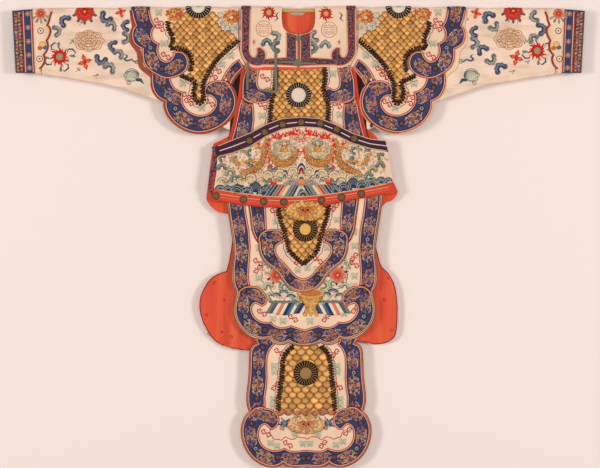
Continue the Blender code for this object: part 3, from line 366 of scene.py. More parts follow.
TAN = srgb(202, 144, 84)
EDGE_DARK = srgb(46, 20, 12)
BROWN_RED = srgb(150, 84, 76)
RIM = srgb(140, 52, 38)
RED_LINING = srgb(226, 86, 60)
# Near-black brown of painted shade, for the gaps beside the chest.
PAINTED_SHADE = srgb(44, 20, 16)
PALE_DISC = srgb(240, 226, 200)
BRAID = srgb(122, 114, 94)
PURPLE_BELT = srgb(68, 36, 58)
BELT_RED = srgb(214, 74, 52)
# Brown of a guard's red edge with painted shade on it.
SHADED_EDGE_BROWN = srgb(156, 82, 54)
# The facing's red, darker than the lining: the lining's red with painted shade in it.
SHADED_FACING_RED = srgb(204, 62, 44)
FADED_PIPE = srgb(140, 84, 64)
PANEL_RIM = srgb(150, 92, 66)
STUD_DARK = srgb(58, 36, 28)
BAT_ORANGE = srgb(222, 104, 70)
WAVE_LIGHT = srgb(206, 200, 176)


def at(px, py):
    """A place read off the photograph, in millimetres."""
    return (px - PHOTO_X) * POINT, (PHOTO_Y - py) * POINT


def around(x, z, reach, angle, tall=None):
    """The place at an angle on a circle about another, or on an oval of the given half height."""
    return x + reach * cos(angle), z + (reach if tall is None else tall) * sin(angle)


def turned(x, z, turn, along, across):
    """The place so far along a direction from another, and so far to its left."""
    ca, sa = cos(turn), sin(turn)
    return x + along * ca - across * sa, z + along * sa + across * ca


def same(rows):
    """A table as it is, for the half that it is written for."""
    return rows


def mirrored(rows):
    """A table for the other half."""
    return tuple((-row[0],) + tuple(row[1:]) for row in rows)


def moved(rows, dx, dz=0.0):
    """A table moved across and up."""
    return tuple((row[0] + dx, row[1] + dz) + tuple(row[2:]) for row in rows)


def whole(half):
    """A table for both halves of an outline, from one."""
    left = [row for row in mirrored(half) if abs(row[0]) > 0.01]
    return tuple(half) + tuple(reversed(left))


def smooth(rows, closed=True):
    """Rounds a table of edge points into a curve, keeping the rows marked CORNER sharp."""
    count = len(rows)
    points = [Vector((row[0], row[1])) for row in rows]
    sharp = [len(row) > 2 for row in rows]
    if not closed:
        sharp[0] = sharp[-1] = True
    line = []
    last = count if closed else count - 1
    for i in range(last):
        a, b = points[i], points[(i + 1) % count]
        span = (b - a).length
        if span < 1e-6:
            continue
        before, after = points[i - 1], points[(i + 2) % count]
        lead = (b - a).normalized() if sharp[i] else (b - before).normalized()
        trail = (b - a).normalized() if sharp[(i + 1) % count] else (after - a).normalized()
        if sharp[i] and not sharp[(i + 1) % count]:
            lead = (2.0 * (b - a).normalized() - trail).normalized()
        if sharp[(i + 1) % count] and not sharp[i]:
            trail = (2.0 * (b - a).normalized() - lead).normalized()
        turn = degrees(lead.angle(trail))
        steps = max(1, min(MOST_STEPS, ceil(turn / STEP_TURN)))
        for k in range(steps):
            t = k / steps
            h00 = 2 * t ** 3 - 3 * t ** 2 + 1
            h10 = t ** 3 - 2 * t ** 2 + t
            h01 = -2 * t ** 3 + 3 * t ** 2
            h11 = t ** 3 - t ** 2
            line.append(a * h00 + lead * span * h10 + b * h01 + trail * span * h11)
    if not closed:
        line.append(points[-1])
    return line


def run_of(rows):
    """The rounded open line through some points, as pairs."""
    return [(p[0], p[1]) for p in smooth(rows, closed=False)]


def between(table, x):
    """Even reading of a table whose first two columns are x and a value."""
    if x <= table[0][0]:
        return table[0][1]
    for (x0, y0, *_), (x1, y1, *_) in zip(table, table[1:]):
        if x <= x1:
            return y0 + (y1 - y0) * (x - x0) / (x1 - x0)
    return table[-1][1]


def ease(value):
    """Rises from 0 to 1, slowly at both ends."""
    value = min(1.0, max(0.0, value))
    return value * value * (3 - 2 * value)


def wave(x, z):
    """The slow rise and fall that every front layer shares, still at the rod and behind the belt."""
    upper = ease((-z - 12) / 140) * (1 - ease((-z - 330) / 110))
    lower = ease((-z - 640) / 260)
    return (upper * 1.5 * sin(x * 0.024 + 0.7 + z * 0.006) * sin(z * 0.016 + 0.5)
            + lower * 1.6 * sin(x * 0.049 + 0.6 + z * 0.0045))


# Where a point of a panel goes: across, up or along the cloth, and out from its inner face.
def ahead(level):
    return lambda x, z, t: (x, -(level + t + wave(x, z)), z)


def behind(level):
    return lambda x, z, t: (x, level + t, z)


def folded_ahead(level):
    return lambda x, z, t: (x, -(level + between(LOWER_FOLDS, x) + t + wave(x, z)), z)


def on_belt(extra):
    return lambda x, z, t: (x, -(between(BELT_STAND, x) + extra + t), z)


def over_rod(level):
    """For cloth that hangs in front, goes over the rod and hangs behind: v is the way up and over."""
    def place(x, v, t):
        r = level + t
        if v <= 0.0:
            return x, -(r + wave(x, v)), v
        if v >= ARC:
            return x, r, ARC - v
        turn = pi * v / ARC
        return x, -r * cos(turn), r * sin(turn)
    return place


def half_over_rod(level, side):
    """For cloth that ends on top of the rod: side is -1 in front and 1 behind."""
    def place(x, v, t):
        r = level + t
        if v <= 0.0:
            return x, side * (r + (wave(x, v) if side < 0 else 0.0)), v
        turn = pi * v / ARC
        return x, side * r * cos(turn), r * sin(turn)
    return place


def skirt_place(x, z, t):
    """Where a point of the back skirt goes: flat at its top, and folded more and more on the way down."""
    part = min(1.0, max(0.0, (SKIRT_FOLD_TOP - z) / SKIRT_FOLD_DROP))
    ripple = 3.0 * sin(x * 0.045 + 0.8) * part if abs(x) > SKIRT_LOBE else 0.0
    return x, BODY_LEVEL + t + part * between(SKIRT_FOLDS, x) + max(0.0, ripple), z


def crossings(line, axis, value):
    """Where a closed line crosses a row or a column, in order."""
    other = 1 - axis
    found = []
    for a, b in zip(line, line[1:] + line[:1]):
        if (a[axis] - value) * (b[axis] - value) < 0:
            t = (value - a[axis]) / (b[axis] - a[axis])
            found.append(a[other] + (b[other] - a[other]) * t)
    return sorted(found)


def inside(line, x, z):
    """Whether a place lies inside a closed line."""
    spots = crossings(line, 1, z + ROW_SHIFT)
    return sum(1 for spot in spots if spot > x) % 2 == 1


def doubled_area(line):
    """Twice the area inside a closed line, above 0 where it runs anticlockwise."""
    return sum(a[0] * b[1] - b[0] * a[1] for a, b in zip(line, line[1:] + line[:1]))


def filled(line, rows=(), columns=()):
    """Triangles of a flat outline with bend lines along the given rows and columns."""
    points = [Vector(p) for p in line]
    faces = [list(range(len(points)))]
    edges = []
    for axis, values in ((1, rows), (0, columns)):
        for value in values:
            cut = value + CUT_SHIFT
            spots = crossings(list(line), axis, cut)
            for lo, hi in zip(spots[::2], spots[1::2]):
                if hi - lo < 0.6:
                    continue
                start = len(points)
                for spot in (lo, hi):
                    points.append(Vector((spot, cut)) if axis == 1 else Vector((cut, spot)))
                edges.append((start, start + 1))
    made = delaunay_2d_cdt(points, edges, faces, 1, 1e-3)
    return [Vector(v) for v in made[0]], [tuple(tri) for tri in made[2]]


# Materials.  Each is a Principled shader with its texture made by nodes.
def shader_of(name, rough, metal, sheen):
    """A new material, its node tree and shader, and the place on the object that its texture reads."""
    made = bpy.data.materials.new(name)
    made.use_nodes = True
    tree = made.node_tree
    shader = tree.nodes["Principled BSDF"]
    shader.inputs["Roughness"].default_value = rough
    shader.inputs["Metallic"].default_value = metal
    shader.inputs["Sheen Weight"].default_value = sheen
    shader.inputs["Specular IOR Level"].default_value = 0.12
    place = tree.nodes.new("ShaderNodeTexCoord")
    return made, tree, shader, place.outputs["Object"]


def stretched(tree, source, scale):
    """A place stretched, for a texture that runs one way."""
    node = tree.nodes.new("ShaderNodeMapping")
    node.inputs["Scale"].default_value = scale
    tree.links.new(source, node.inputs["Vector"])
    return node.outputs["Vector"]


def noise(tree, source, scale, detail):
    """A soft random value."""
    node = tree.nodes.new("ShaderNodeTexNoise")
    node.inputs["Scale"].default_value = scale
    node.inputs["Detail"].default_value = detail
    tree.links.new(source, node.inputs["Vector"])
    return node.outputs["Fac"]


def lines(tree, source, scale, direction, distortion):
    """A value that goes up and down in wavy lines."""
    node = tree.nodes.new("ShaderNodeTexWave")
    node.bands_direction = direction
    node.inputs["Scale"].default_value = scale
    node.inputs["Distortion"].default_value = distortion
    tree.links.new(source, node.inputs["Vector"])
    return node.outputs["Fac"]


def ramp(tree, source, stops):
    """Colours along a value.  Columns of stops: value, colour."""
    node = tree.nodes.new("ShaderNodeValToRGB")
    for k in (0, -1):
        node.color_ramp.elements[k].position = stops[k][0]
        node.color_ramp.elements[k].color = (*stops[k][1], 1)
    for position, colour in stops[1:-1]:
        element = node.color_ramp.elements.new(position)
        element.color = (*colour, 1)
    tree.links.new(source, node.inputs["Fac"])
    return node.outputs["Color"]


def mixed(tree, a, b, amount):
    """One colour times another, as far as amount says."""
    node = tree.nodes.new("ShaderNodeMix")
    node.data_type = "RGBA"
    node.blend_type = "MULTIPLY"
    node.inputs["Factor"].default_value = amount
    tree.links.new(a, node.inputs["A"])
    tree.links.new(b, node.inputs["B"])
    return node.outputs["Result"]


def bumped(tree, shader, source, strength, depth):
    """Makes the surface look raised where a value is high."""
    node = tree.nodes.new("ShaderNodeBump")
    node.inputs["Strength"].default_value = strength
    node.inputs["Distance"].default_value = depth
    tree.links.new(source, node.inputs["Height"])
    tree.links.new(node.outputs["Normal"], shader.inputs["Normal"])


def tone(colour, by):
    """A colour made darker or lighter."""
    return tuple(min(1.0, c * by) for c in colour)


def woven(tree, shader, spot, base, weave=900.0, dark=0.88):
    """Lays the fine light and dark of a weave over a base colour."""
    fine = ramp(tree, noise(tree, spot, weave, 1.0), ((0.25, (dark, dark, dark)), (0.75, (1, 1, 1))))
    tree.links.new(mixed(tree, base, fine, 1.0), shader.inputs["Base Color"])


def cloth_material(name, colour, rough, weave=900.0, mottle=0.12, metal=0.0):
    """Plain cloth with a little mottling."""
    made, tree, shader, spot = shader_of(name, rough, metal, 0.05)
    broad = ramp(tree, noise(tree, spot, 9.0, 3.0),
                 ((0.3, tone(colour, 1 - mottle)), (0.7, tone(colour, 1 + mottle * 0.5))))
    woven(tree, shader, spot, broad, weave, 0.86)
    bumped(tree, shader, noise(tree, spot, weave, 1.0), 0.25, 0.0004)
    return made


def silk_material(name, colour):
    """Worn plain silk: a fine weave, faint brown age marks, and soft creases that run along it, darker in
    their dips as painted shade.
    """
    made, tree, shader, spot = shader_of(name, 0.6, 0.0, 0.05)
    crease = noise(tree, stretched(tree, spot, (7.0, 7.0, 46.0)), 1.0, 3.0)
    age = ramp(tree, noise(tree, spot, 14.0, 5.0),
               ((0.32, tone(colour, 0.86)), (0.55, colour), (0.8, tone(colour, 1.06))))
    # Painted shade: the silk is darker where the creases dip.
    crease_shade = ramp(tree, crease, ((0.36, (0.84, 0.80, 0.76)), (0.52, (1, 1, 1))))
    woven(tree, shader, spot, mixed(tree, age, crease_shade, 0.7))
    bumped(tree, shader, crease, 0.6, 0.0030)
    return made


def lining_material(name, colour):
    """Thin cotton lining: upright streaks, lighter and darker, that paint the light and shade of soft folds.
    """
    made, tree, shader, spot = shader_of(name, 0.85, 0.0, 0.05)
    fold_light_shade = noise(tree, stretched(tree, spot, (34.0, 34.0, 2.4)), 1.0, 4.0)
    # Painted light and shade of soft upright folds: lighter and darker orange-red streaks.
    base = ramp(tree, fold_light_shade, ((0.28, tone(colour, 0.8)), (0.5, colour), (0.74, srgb(236, 112, 76))))
    woven(tree, shader, spot, base, 700.0)
    bumped(tree, shader, fold_light_shade, 0.5, 0.0016)
    return made


def brocade_material(name):
    """Purple brocade: small light figures on a dark ground, some of them redder."""
    made, tree, shader, spot = shader_of(name, 0.6, 0.0, 0.1)
    node = tree.nodes.new("ShaderNodeTexVoronoi")
    node.inputs["Scale"].default_value = 230.0
    tree.links.new(spot, node.inputs["Vector"])
    figures = node.outputs["Distance"]
    base = ramp(tree, figures,
                ((0.05, srgb(196, 154, 126)), (0.3, srgb(126, 90, 92)), (0.7, srgb(58, 46, 70))))
    red = ramp(tree, noise(tree, spot, 150.0, 1.0), ((0.45, (1, 1, 1)), (0.62, srgb(236, 170, 170))))
    tree.links.new(mixed(tree, base, red, 1.0), shader.inputs["Base Color"])
    bumped(tree, shader, figures, 0.4, 0.0006)
    return made


def thread_material(name, rough, metal, sheen):
    """Takes each patch's own thread colour and lays stitch lines over it."""
    made, tree, shader, spot = shader_of(name, rough, metal, sheen)
    node = tree.nodes.new("ShaderNodeAttribute")
    node.attribute_name = "thread"
    stitch = lines(tree, stretched(tree, spot, (1.0, 1.0, 0.55)), 420.0, "DIAGONAL", 2.0)
    shade = ramp(tree, stitch, ((0.1, (0.80, 0.80, 0.80)), (0.8, (1, 1, 1))))
    tree.links.new(mixed(tree, node.outputs["Color"], shade, 1.0), shader.inputs["Base Color"])
    bumped(tree, shader, stitch, 0.35, 0.0004)
    return made


# Columns: name, colour, roughness, threads, mottling, metal.
CLOTHS = (
    ("cream_silk", CREAM, 0.55), ("indigo_border", INDIGO, 0.5, 1100.0),
    ("belt_purple", PURPLE_BELT, 0.75, 700.0), ("belt_red", BELT_RED, 0.8, 800.0),
    # The dark cloth of the side gaps is painted shade, a near-black brown.
    ("dark_side", PAINTED_SHADE, 0.9, 700.0), ("grey_green_braid", BRAID, 0.8, 1200.0),
    ("gold_ground", GOLD_DARK, 0.5, 1000.0, 0.1, 0.2), ("pale_mirror", PALE_DISC, 0.45, 900.0, 0.05),
    ("rod_wood", srgb(214, 168, 98), 0.45, 120.0, 0.15),
)
MATERIALS = {name: cloth_material(name, *look) for name, *look in CLOTHS}
MATERIALS["sleeve_silk"] = silk_material("sleeve_silk", srgb(246, 215, 192))
MATERIALS["purple_brocade"] = brocade_material("purple_brocade")
MATERIALS["red_lining"] = lining_material("red_lining", RED_LINING)
MATERIALS["silk_thread"] = thread_material("silk_thread", 0.5, 0.0, 0.03)
MATERIALS["gold_thread"] = thread_material("gold_thread", 0.42, 0.25, 0.0)


def finish_mesh(name, verts, faces, look, colours=None):
    """One smooth mesh in millimetres, riding on the root body, with a thread colour for each point."""
    mesh = bpy.data.meshes.new(name)
    mesh.from_pydata([(x * MM, y * MM, z * MM) for x, y, z in verts], [], faces)
    mesh.polygons.foreach_set("use_smooth", [True] * len(mesh.polygons))
    if colours is not None:
        attribute = mesh.color_attributes.new(name="thread", type="FLOAT_COLOR", domain="POINT")
        flat = [value for colour in colours for value in (*colour, 1.0)]
        attribute.data.foreach_set("color", flat)
    mesh.materials.append(MATERIALS[look])
    mesh.update()
    obj = bpy.data.objects.new(name, mesh)
    bpy.context.scene.collection.objects.link(obj)
    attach(obj, "root")
    return obj


outlines = {}
works = {}


def panel(node, line, place, wall, look, rows=(), strip=None, finer=()):
    """One piece of cloth of even wall.  strip is the width of a border that is
    cut as a strip and pieced round the curve."""
    xs = [p.x for p in line]
    zs = [p.y for p in line]
    columns, ups = ([GRID * k for k in range(floor(min(values) / GRID), ceil(max(values) / GRID) + 1)]
                    for values in (xs, zs))
    columns += list(finer)
    if rows:
        ups = [v for v in ups if not -1.0 < v < ARC + 1.0] + list(rows)
    flat, tris = filled(line, ups, columns)
    used = sorted({k for tri in tris for k in tri})
    index = {k: i for i, k in enumerate(used)}
    size = len(used)
    verts = [place(flat[k].x, flat[k].y, 0.0) for k in used]
    verts += [place(flat[k].x, flat[k].y, wall) for k in used]
    faces = []
    sides = {}
    for tri in tris:
        a, b, c = (index[k] for k in tri)
        faces.append((c, b, a))
        faces.append((a + size, b + size, c + size))
        for p, q in ((a, b), (b, c), (c, a)):
            key = (min(p, q), max(p, q))
            sides[key] = None if key in sides else (p, q)
    faces += [(p, q, q + size, p + size) for p, q in filter(None, sides.values())]
    obj = finish_mesh(node + "_cloth", verts, faces, look)
    obj.data.set_sharp_from_angle(angle=radians(50))
    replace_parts(obj, node)
    area = abs(doubled_area(line)) / 2 * MM * MM
    if strip:
        area = None
    outlines[node] = line


class Stitches:
    """Raised patches and cords of embroidery on one panel, gathered into one object."""

    def __init__(self, place, wall, base=0.0):
        self.place = place
        self.wall = wall
        self.base = base
        self.verts = []
        self.faces = []
        self.colours = []

    def dot(self, x, z, h, colour):
        """Adds a point at a height over the cloth and gives its number."""
        self.verts.append(self.place(x, z, self.wall + self.base + h))
        self.colours.append(colour)
        return len(self.verts) - 1

    def stacked(self, rings):
        """Joins rings of points, each to the next, and closes the last."""
        count = len(rings[0])
        for a, b in zip(rings, rings[1:]):
            for k in range(count):
                m = (k + 1) % count
                self.faces.append((a[k], a[m], b[m], b[k]))
        self.faces.append(tuple(rings[-1]))

    def patch(self, points, colour, rim=None, top=0.9, low=0.1):
        """A domed patch: rim points low, middle high."""
        if doubled_area(points) < 0:
            points = points[::-1]
        cx = sum(p[0] for p in points) / len(points)
        cz = sum(p[1] for p in points) / len(points)
        middle = self.dot(cx, cz, top, colour)
        ring = [self.dot(p[0], p[1], low, rim or colour) for p in points]
        inner = [self.dot(cx + (p[0] - cx) * 0.72, cz + (p[1] - cz) * 0.72, low + (top - low) * 0.75, colour)
                 for p in points]
        count = len(points)
        for k in range(count):
            m = (k + 1) % count
            self.faces.append((ring[k], ring[m], inner[m], inner[k]))
            self.faces.append((inner[k], inner[m], middle))

    def ribbon(self, points, width, colour, top=0.7, low=0.1, taper=False, tip=None, closed=False,
               shades=None):
        """A raised line of even or tapering width along points.  The colour may change to tip on the
        way, and shades gives each point its own."""
        count = len(points)
        if count < 2:
            return
        rows = []
        for k, p in enumerate(points):
            if closed:
                before, after = points[k - 1], points[(k + 1) % count]
            else:
                before, after = points[max(0, k - 1)], points[min(count - 1, k + 1)]
            dx, dz = after[0] - before[0], after[1] - before[1]
            size = hypot(dx, dz) or 1.0
            nx, nz = -dz / size, dx / size
            part = k / max(1, count - 1)
            half = width / 2
            if taper == "tail":
                half *= max(0.12, sin(pi * (0.12 + 0.88 * (1 - part))))
            elif taper == "spindle":
                half *= 0.14 + 0.86 * sin(pi * part)
            elif taper:
                half *= max(0.12, 1 - part)
            shade = colour if tip is None else tuple(c + (t - c) * part for c, t in zip(colour, tip))
            if shades:
                shade = shades[k]
            rows.append((
                self.dot(p[0] - nx * half, p[1] - nz * half, low, shade),
                self.dot(p[0], p[1], top, shade),
                self.dot(p[0] + nx * half, p[1] + nz * half, low, shade),
            ))
        pairs = list(zip(rows, rows[1:]))
        if closed:
            pairs.append((rows[-1], rows[0]))
        for a, b in pairs:
            self.faces.append((a[0], b[0], b[1], a[1]))
            self.faces.append((a[1], b[1], b[2], a[2]))

    def arc(self, cx, cz, radius, start, end, width, colour, steps=9, squash=1.0, **more):
        """A ribbon along part of a circle, from one angle in degrees to another."""
        points = []
        for k in range(steps + 1):
            turn = radians(start + (end - start) * k / steps)
            points.append(around(cx, cz, radius, turn, radius * squash))
        self.ribbon(points, width, colour, **more)

    def disc(self, cx, cz, rx, rz, colour, rim=None, steps=14, top=0.9, low=0.1):
        """A domed round or oval patch."""
        ring = [around(cx, cz, rx, tau * k / steps, rz) for k in range(steps)]
        self.patch(ring, colour, rim, top, low)

    def petal(self, cx, cz, angle, length, width, colour, rim=None, start=0.0, top=1.0):
        """A pointed oval patch that grows out of a place."""
        shape = ((0.0, 0.0), (0.25, 0.34), (0.6, 0.5), (0.88, 0.34), (1.0, 0.0), (0.88, -0.34),
                 (0.6, -0.5), (0.25, -0.34))
        self.patch([turned(cx, cz, angle, start + u * length, v * width) for u, v in shape], colour, rim, top)

    def flower(self, cx, cz, radius, count, colour, rim, core, turn=0.0, fat=0.9):
        """A ring of petals about a small disc."""
        for k in range(count):
            angle = turn + tau * k / count
            width = tau * radius * 0.62 / count * fat
            self.petal(cx, cz, angle, radius * 0.86, width, colour, rim, start=radius * 0.14)
        self.disc(cx, cz, radius * 0.26, radius * 0.26, core, steps=8, top=1.5)

    def spiral(self, cx, cz, radius, turns, width, colour, start=0.0, hand=1):
        """A ribbon that winds in from a circle towards its middle."""
        points = []
        steps = max(8, int(12 * turns))
        for k in range(steps + 1):
            part = k / steps
            points.append(around(cx, cz, radius * (1 - 0.82 * part), start + hand * tau * turns * part))
        self.ribbon(points, width, colour)

    def made(self, name, look="silk_thread"):
        return finish_mesh(name, self.verts, self.faces, look, self.colours)


def walk(points, pitch, start=0.0):
    """Places along a line every pitch, each with its direction."""
    spots = []
    travelled = -start
    due = 0.0
    for a, b in zip(points, points[1:]):
        span = hypot(b[0] - a[0], b[1] - a[1])
        while span > 1e-9 and due <= travelled + span:
            t = (due - travelled) / span
            if t >= 0:
                spots.append((a[0] + (b[0] - a[0]) * t, a[1] + (b[1] - a[1]) * t,
                              atan2(b[1] - a[1], b[0] - a[0])))
            due += pitch
        travelled += span
    return spots


def inset(points, distance):
    """The same closed line moved inward by a distance."""
    sign = 1.0 if doubled_area(points) > 0 else -1.0
    count = len(points)
    out = []
    for k in range(count):
        a, p, b = points[k - 1], points[k], points[(k + 1) % count]
        d1 = Vector((p[0] - a[0], p[1] - a[1]))
        d2 = Vector((b[0] - p[0], b[1] - p[1]))
        if d1.length < 1e-6 or d2.length < 1e-6:
            continue
        d1.normalize()
        d2.normalize()
        normal = Vector((-d1.y - d2.y, d1.x + d2.x))
        if normal.length < 0.3:
            continue
        normal.normalize()
        reach = distance / max(0.45, normal.dot(Vector((-d1.y, d1.x))))
        out.append((p[0] + sign * normal.x * reach, p[1] + sign * normal.y * reach))
    return out


def pipe(work, line, faded=0):
    """The double piping round a border: red outside, peach inside it, and a dark line beyond.
    Along the first points the red one is faded."""
    outer = inset(line, 1.0)
    shades = [FADED_PIPE if k < faded else PIPE_RED for k in range(len(outer))]
    work.ribbon(outer, 2.6, PIPE_RED, top=1.7, low=0.0, closed=True, shades=shades)
    work.ribbon(inset(line, 3.5), 2.7, PIPE_PEACH, top=1.6, low=0.0, closed=True)
    work.ribbon(inset(line, 6.2), 1.8, INDIGO_DEEP, top=0.5, low=0.1, closed=True)


def cross_pipe(work, a, b, bulge):
    """The double piping where one scroll of a border lies over the next stretch of it.
    The red line runs on the left of the way from a to b, away from the scroll."""
    ax, az = a
    bx, bz = b
    size = hypot(bx - ax, bz - az)
    nx, nz = -(bz - az) / size, (bx - ax) / size
    for shift, width, colour, top in ((0.0, 2.6, PIPE_RED, 2.6), (-2.6, 2.7, PIPE_PEACH, 2.5),
                                      (3.0, 3.6, INDIGO_DEEP, 1.9)):
        points = []
        for k in range(15):
            t = k / 14
            swell = bulge * sin(pi * t) ** 0.8 + shift
            points.append((ax + (bx - ax) * t + nx * swell, az + (bz - az) * t + nz * swell))
        work.ribbon(points, width, colour, top=top, low=0.4)


def coin(work, x, z, light):
    """A small round eyelet with a dark middle."""
    work.disc(x, z, 9.6, 9.6, INDIGO_DEEP, top=0.6)
    work.disc(x, z, 6.6, 6.6, srgb(196, 180, 156) if light else srgb(134, 84, 58), GOLD_DARK, top=1.6,
              low=0.4)
    work.disc(x, z, 4.4, 4.4, srgb(92, 84, 100) if light else srgb(58, 36, 44), steps=12, top=2.0, low=1.2)
    if not light:
        work.disc(x, z, 2.2, 2.2, srgb(168, 110, 78), steps=8, top=2.4, low=1.6)


# One knot of border embroidery.  Columns: along and across as parts of its half size, radius, kind.
KNOT = (
    (0.02, 0.04, 0.42, "flower"), (0.60, -0.36, 0.30, "bud"), (-0.62, 0.38, 0.30, "bud"),
    (0.40, 0.56, 0.34, "curl"), (-0.38, -0.56, 0.34, "curl"), (0.92, 0.22, 0.32, "curl"),
    (-0.94, -0.20, 0.32, "curl"), (0.02, -0.66, 0.28, "curl"), (-0.04, 0.70, 0.28, "curl"),
    (0.86, -0.70, 0.22, "curl"), (-0.88, 0.74, 0.22, "curl"), (0.36, -0.12, 0.2, "curl"),
    (-0.36, 0.14, 0.2, "curl"), (0.70, 0.78, 0.18, "curl"), (-0.72, -0.76, 0.18, "curl"),
)
# Leaves of the same knot.  Columns: along, across, direction in turns.
KNOT_LEAVES = (
    (0.26, -0.86, 0.95), (-0.28, 0.92, 0.45), (0.80, 0.46, 0.12), (-0.80, -0.44, 0.62), (0.20, 0.34, 0.20),
    (-0.22, -0.30, 0.70), (1.04, -0.10, 0.0), (-1.06, 0.10, 0.5), (0.36, -0.60, 0.80), (-0.40, 0.60, 0.30),
)
# Long tendrils of the same knot: their start, two bends and their tip, along and across.
KNOT_TENDRILS = (
    (-0.2, 0.2, 0.1, 0.7, 0.44, 0.82, 0.9, 0.62), (0.2, -0.2, -0.1, -0.7, -0.44, -0.84, -0.9, -0.62),
    (0.3, 0.1, 0.7, -0.1, 0.96, 0.12, 1.16, -0.14), (-0.3, -0.1, -0.7, 0.14, -0.98, -0.06, -1.16, 0.2),
    (0.3, -0.4, 0.54, -0.8, 0.84, -0.86, 1.08, -0.56), (-0.3, 0.4, -0.54, 0.8, -0.84, 0.88, -1.1, 0.56),
    (0.0, 0.4, 0.3, 0.9, 0.1, 0.98, -0.2, 0.9), (0.0, -0.4, -0.3, -0.9, -0.1, -0.98, 0.2, -0.92),
)


def cluster(work, x, z, turn, half, kind):
    """A knot of blossoms, buds, leaves and tendrils, longer than wide, that fills a stretch of border."""
    side = 1 if kind % 2 else -1
    main = (THREAD_ORANGE, THREAD_PINK, tone(THREAD_ORANGE, 1.15))[kind % 3]
    other = (THREAD_PINK, THREAD_LILAC, THREAD_PEACH)[kind % 3]
    tints = (THREAD_ORANGE, THREAD_PEACH, other, THREAD_ORANGE, tone(THREAD_PEACH, 0.75), TAN, THREAD_LILAC)

    def spot(u, v):
        return turned(x, z, turn, u * half * 1.55, side * v * half)

    for k, row in enumerate(KNOT_TENDRILS):
        bends = [spot(row[j], row[j + 1]) for j in (0, 2, 4, 6)]
        work.ribbon(run_of(bends), 1.9, tints[(k + kind) % 7], top=1.0)
    for k, (u, v, share, form) in enumerate(KNOT):
        px, pz = spot(u, v)
        if form == "flower":
            work.flower(px, pz, half * share, 6, main, tone(main, 0.5), TAN, turn + kind, 0.9)
            work.arc(px, pz, half * share * 0.5, 0, 300, 1.3, tone(main, 0.4), steps=8, top=1.6)
        elif form == "bud":
            work.flower(px, pz, half * share, 5, other, tone(other, 0.45), THREAD_PEACH, turn + k, 0.8)
        else:
            work.spiral(px, pz, half * share, 1.2, 1.7, tints[(k + kind) % 7], turn + k * 1.3,
                        1 if k % 2 else -1)
    for k, (u, v, aim) in enumerate(KNOT_LEAVES):
        px, pz = spot(u, v)
        tint = tints[(k + kind) % 7]
        work.petal(px, pz, turn + side * tau * aim, half * 0.4, half * 0.15, tint, tone(tint, 0.6))


def sprigs(work, middle, half, start):
    """Knots and eyelets in turn along the middle line of a border."""
    for k, (x, z, turn) in enumerate(walk(run_of(middle), KNOT_PITCH / 2, start)):
        if k % 2:
            coin(work, x, z, (k // 2) in LIGHT_EYELETS)
        else:
            cluster(work, x, z, turn, half, k // 2)


# One plump block of the edging: along and across as parts of its pitch and its row's width.
BLOCK_PITCH = 8.4
BLOCK = ((-0.36, -0.04), (0.36, -0.04), (0.43, 0.2), (0.36, 0.5), (-0.36, 0.5), (-0.43, 0.2))


def edging(work, line, width=16.0):
    """Dark padded edging: two staggered rows of plump blocks, with gold thread showing in the gaps."""
    points = run_of(line)
    work.ribbon(points, width * 0.5, tone(TAN, 0.72), top=1.8, low=0.2)
    for row in (-1, 1):
        for x, z, turn in walk(points, BLOCK_PITCH, BLOCK_PITCH / 2 if row > 0 else 0.0):
            block = [turned(x, z, turn, u * BLOCK_PITCH, row * v * width) for u, v in BLOCK]
            work.patch(block, tone(EDGE_DARK, 1.2), tone(EDGE_DARK, 0.5), top=4.9, low=2.2)
            if (int(x * 3.1) + int(z * 2.3)) % 3 == 0:
                ends = [turned(x, z, turn, 0.0, r * width * row) for r in (0.1, 0.44)]
                work.ribbon(ends, 1.3, tone(TAN, 0.8), top=5.4, low=3.6)


def wiggle(work, line, colour=BROWN_RED, width=2.4, swing=1.6):
    """A thin thread that waves along a line."""
    spots = enumerate(walk(run_of(line), 4.0))
    out = [turned(x, z, turn, 0.0, swing * sin(k * 1.1)) for k, (x, z, turn) in spots]
    work.ribbon(out, width, colour, top=0.8)


def scales(work, line, wide, tall, origin=0.0, clear=(), point=0.22):
    """Rows of overlapping couched-gold scales inside an outline, none nearer than clear allows.
    Columns of clear: x, z, radius.  point sharpens the foot of each scale."""
    outline = [Vector((p[0], p[1])) for p in inset(line, 4.0)]
    xs = [p.x for p in outline]
    zs = [p.y for p in outline]
    first = floor((min(xs) - origin) / wide)
    for r in range(int((max(zs) - min(zs)) / tall) + 2):
        for c in range(int((max(xs) - min(xs)) / wide) + 3):
            stray = sin(r * 12.9 + c * 78.2)
            drift = sin(r * 39.3 + c * 11.1)
            x = origin + (first + c) * wide + (wide / 2 if r % 2 else 0.0) + 1.0 * stray
            z = min(zs) + r * tall + 1.0 * drift
            if not inside(outline, x, z + tall * 0.3):
                continue
            if any(hypot(x - cx, z - cz) < reach for cx, cz, reach in clear):
                continue
            # Each scale is made lighter or darker at random, as painted glints of light on the gold.
            glint = 0.92 + 0.20 * stray + 0.15 * drift
            scale(work, x, z, wide, tall, glint, 1.0 + 0.07 * sin(r * 5.7 + c * 3.1), point)


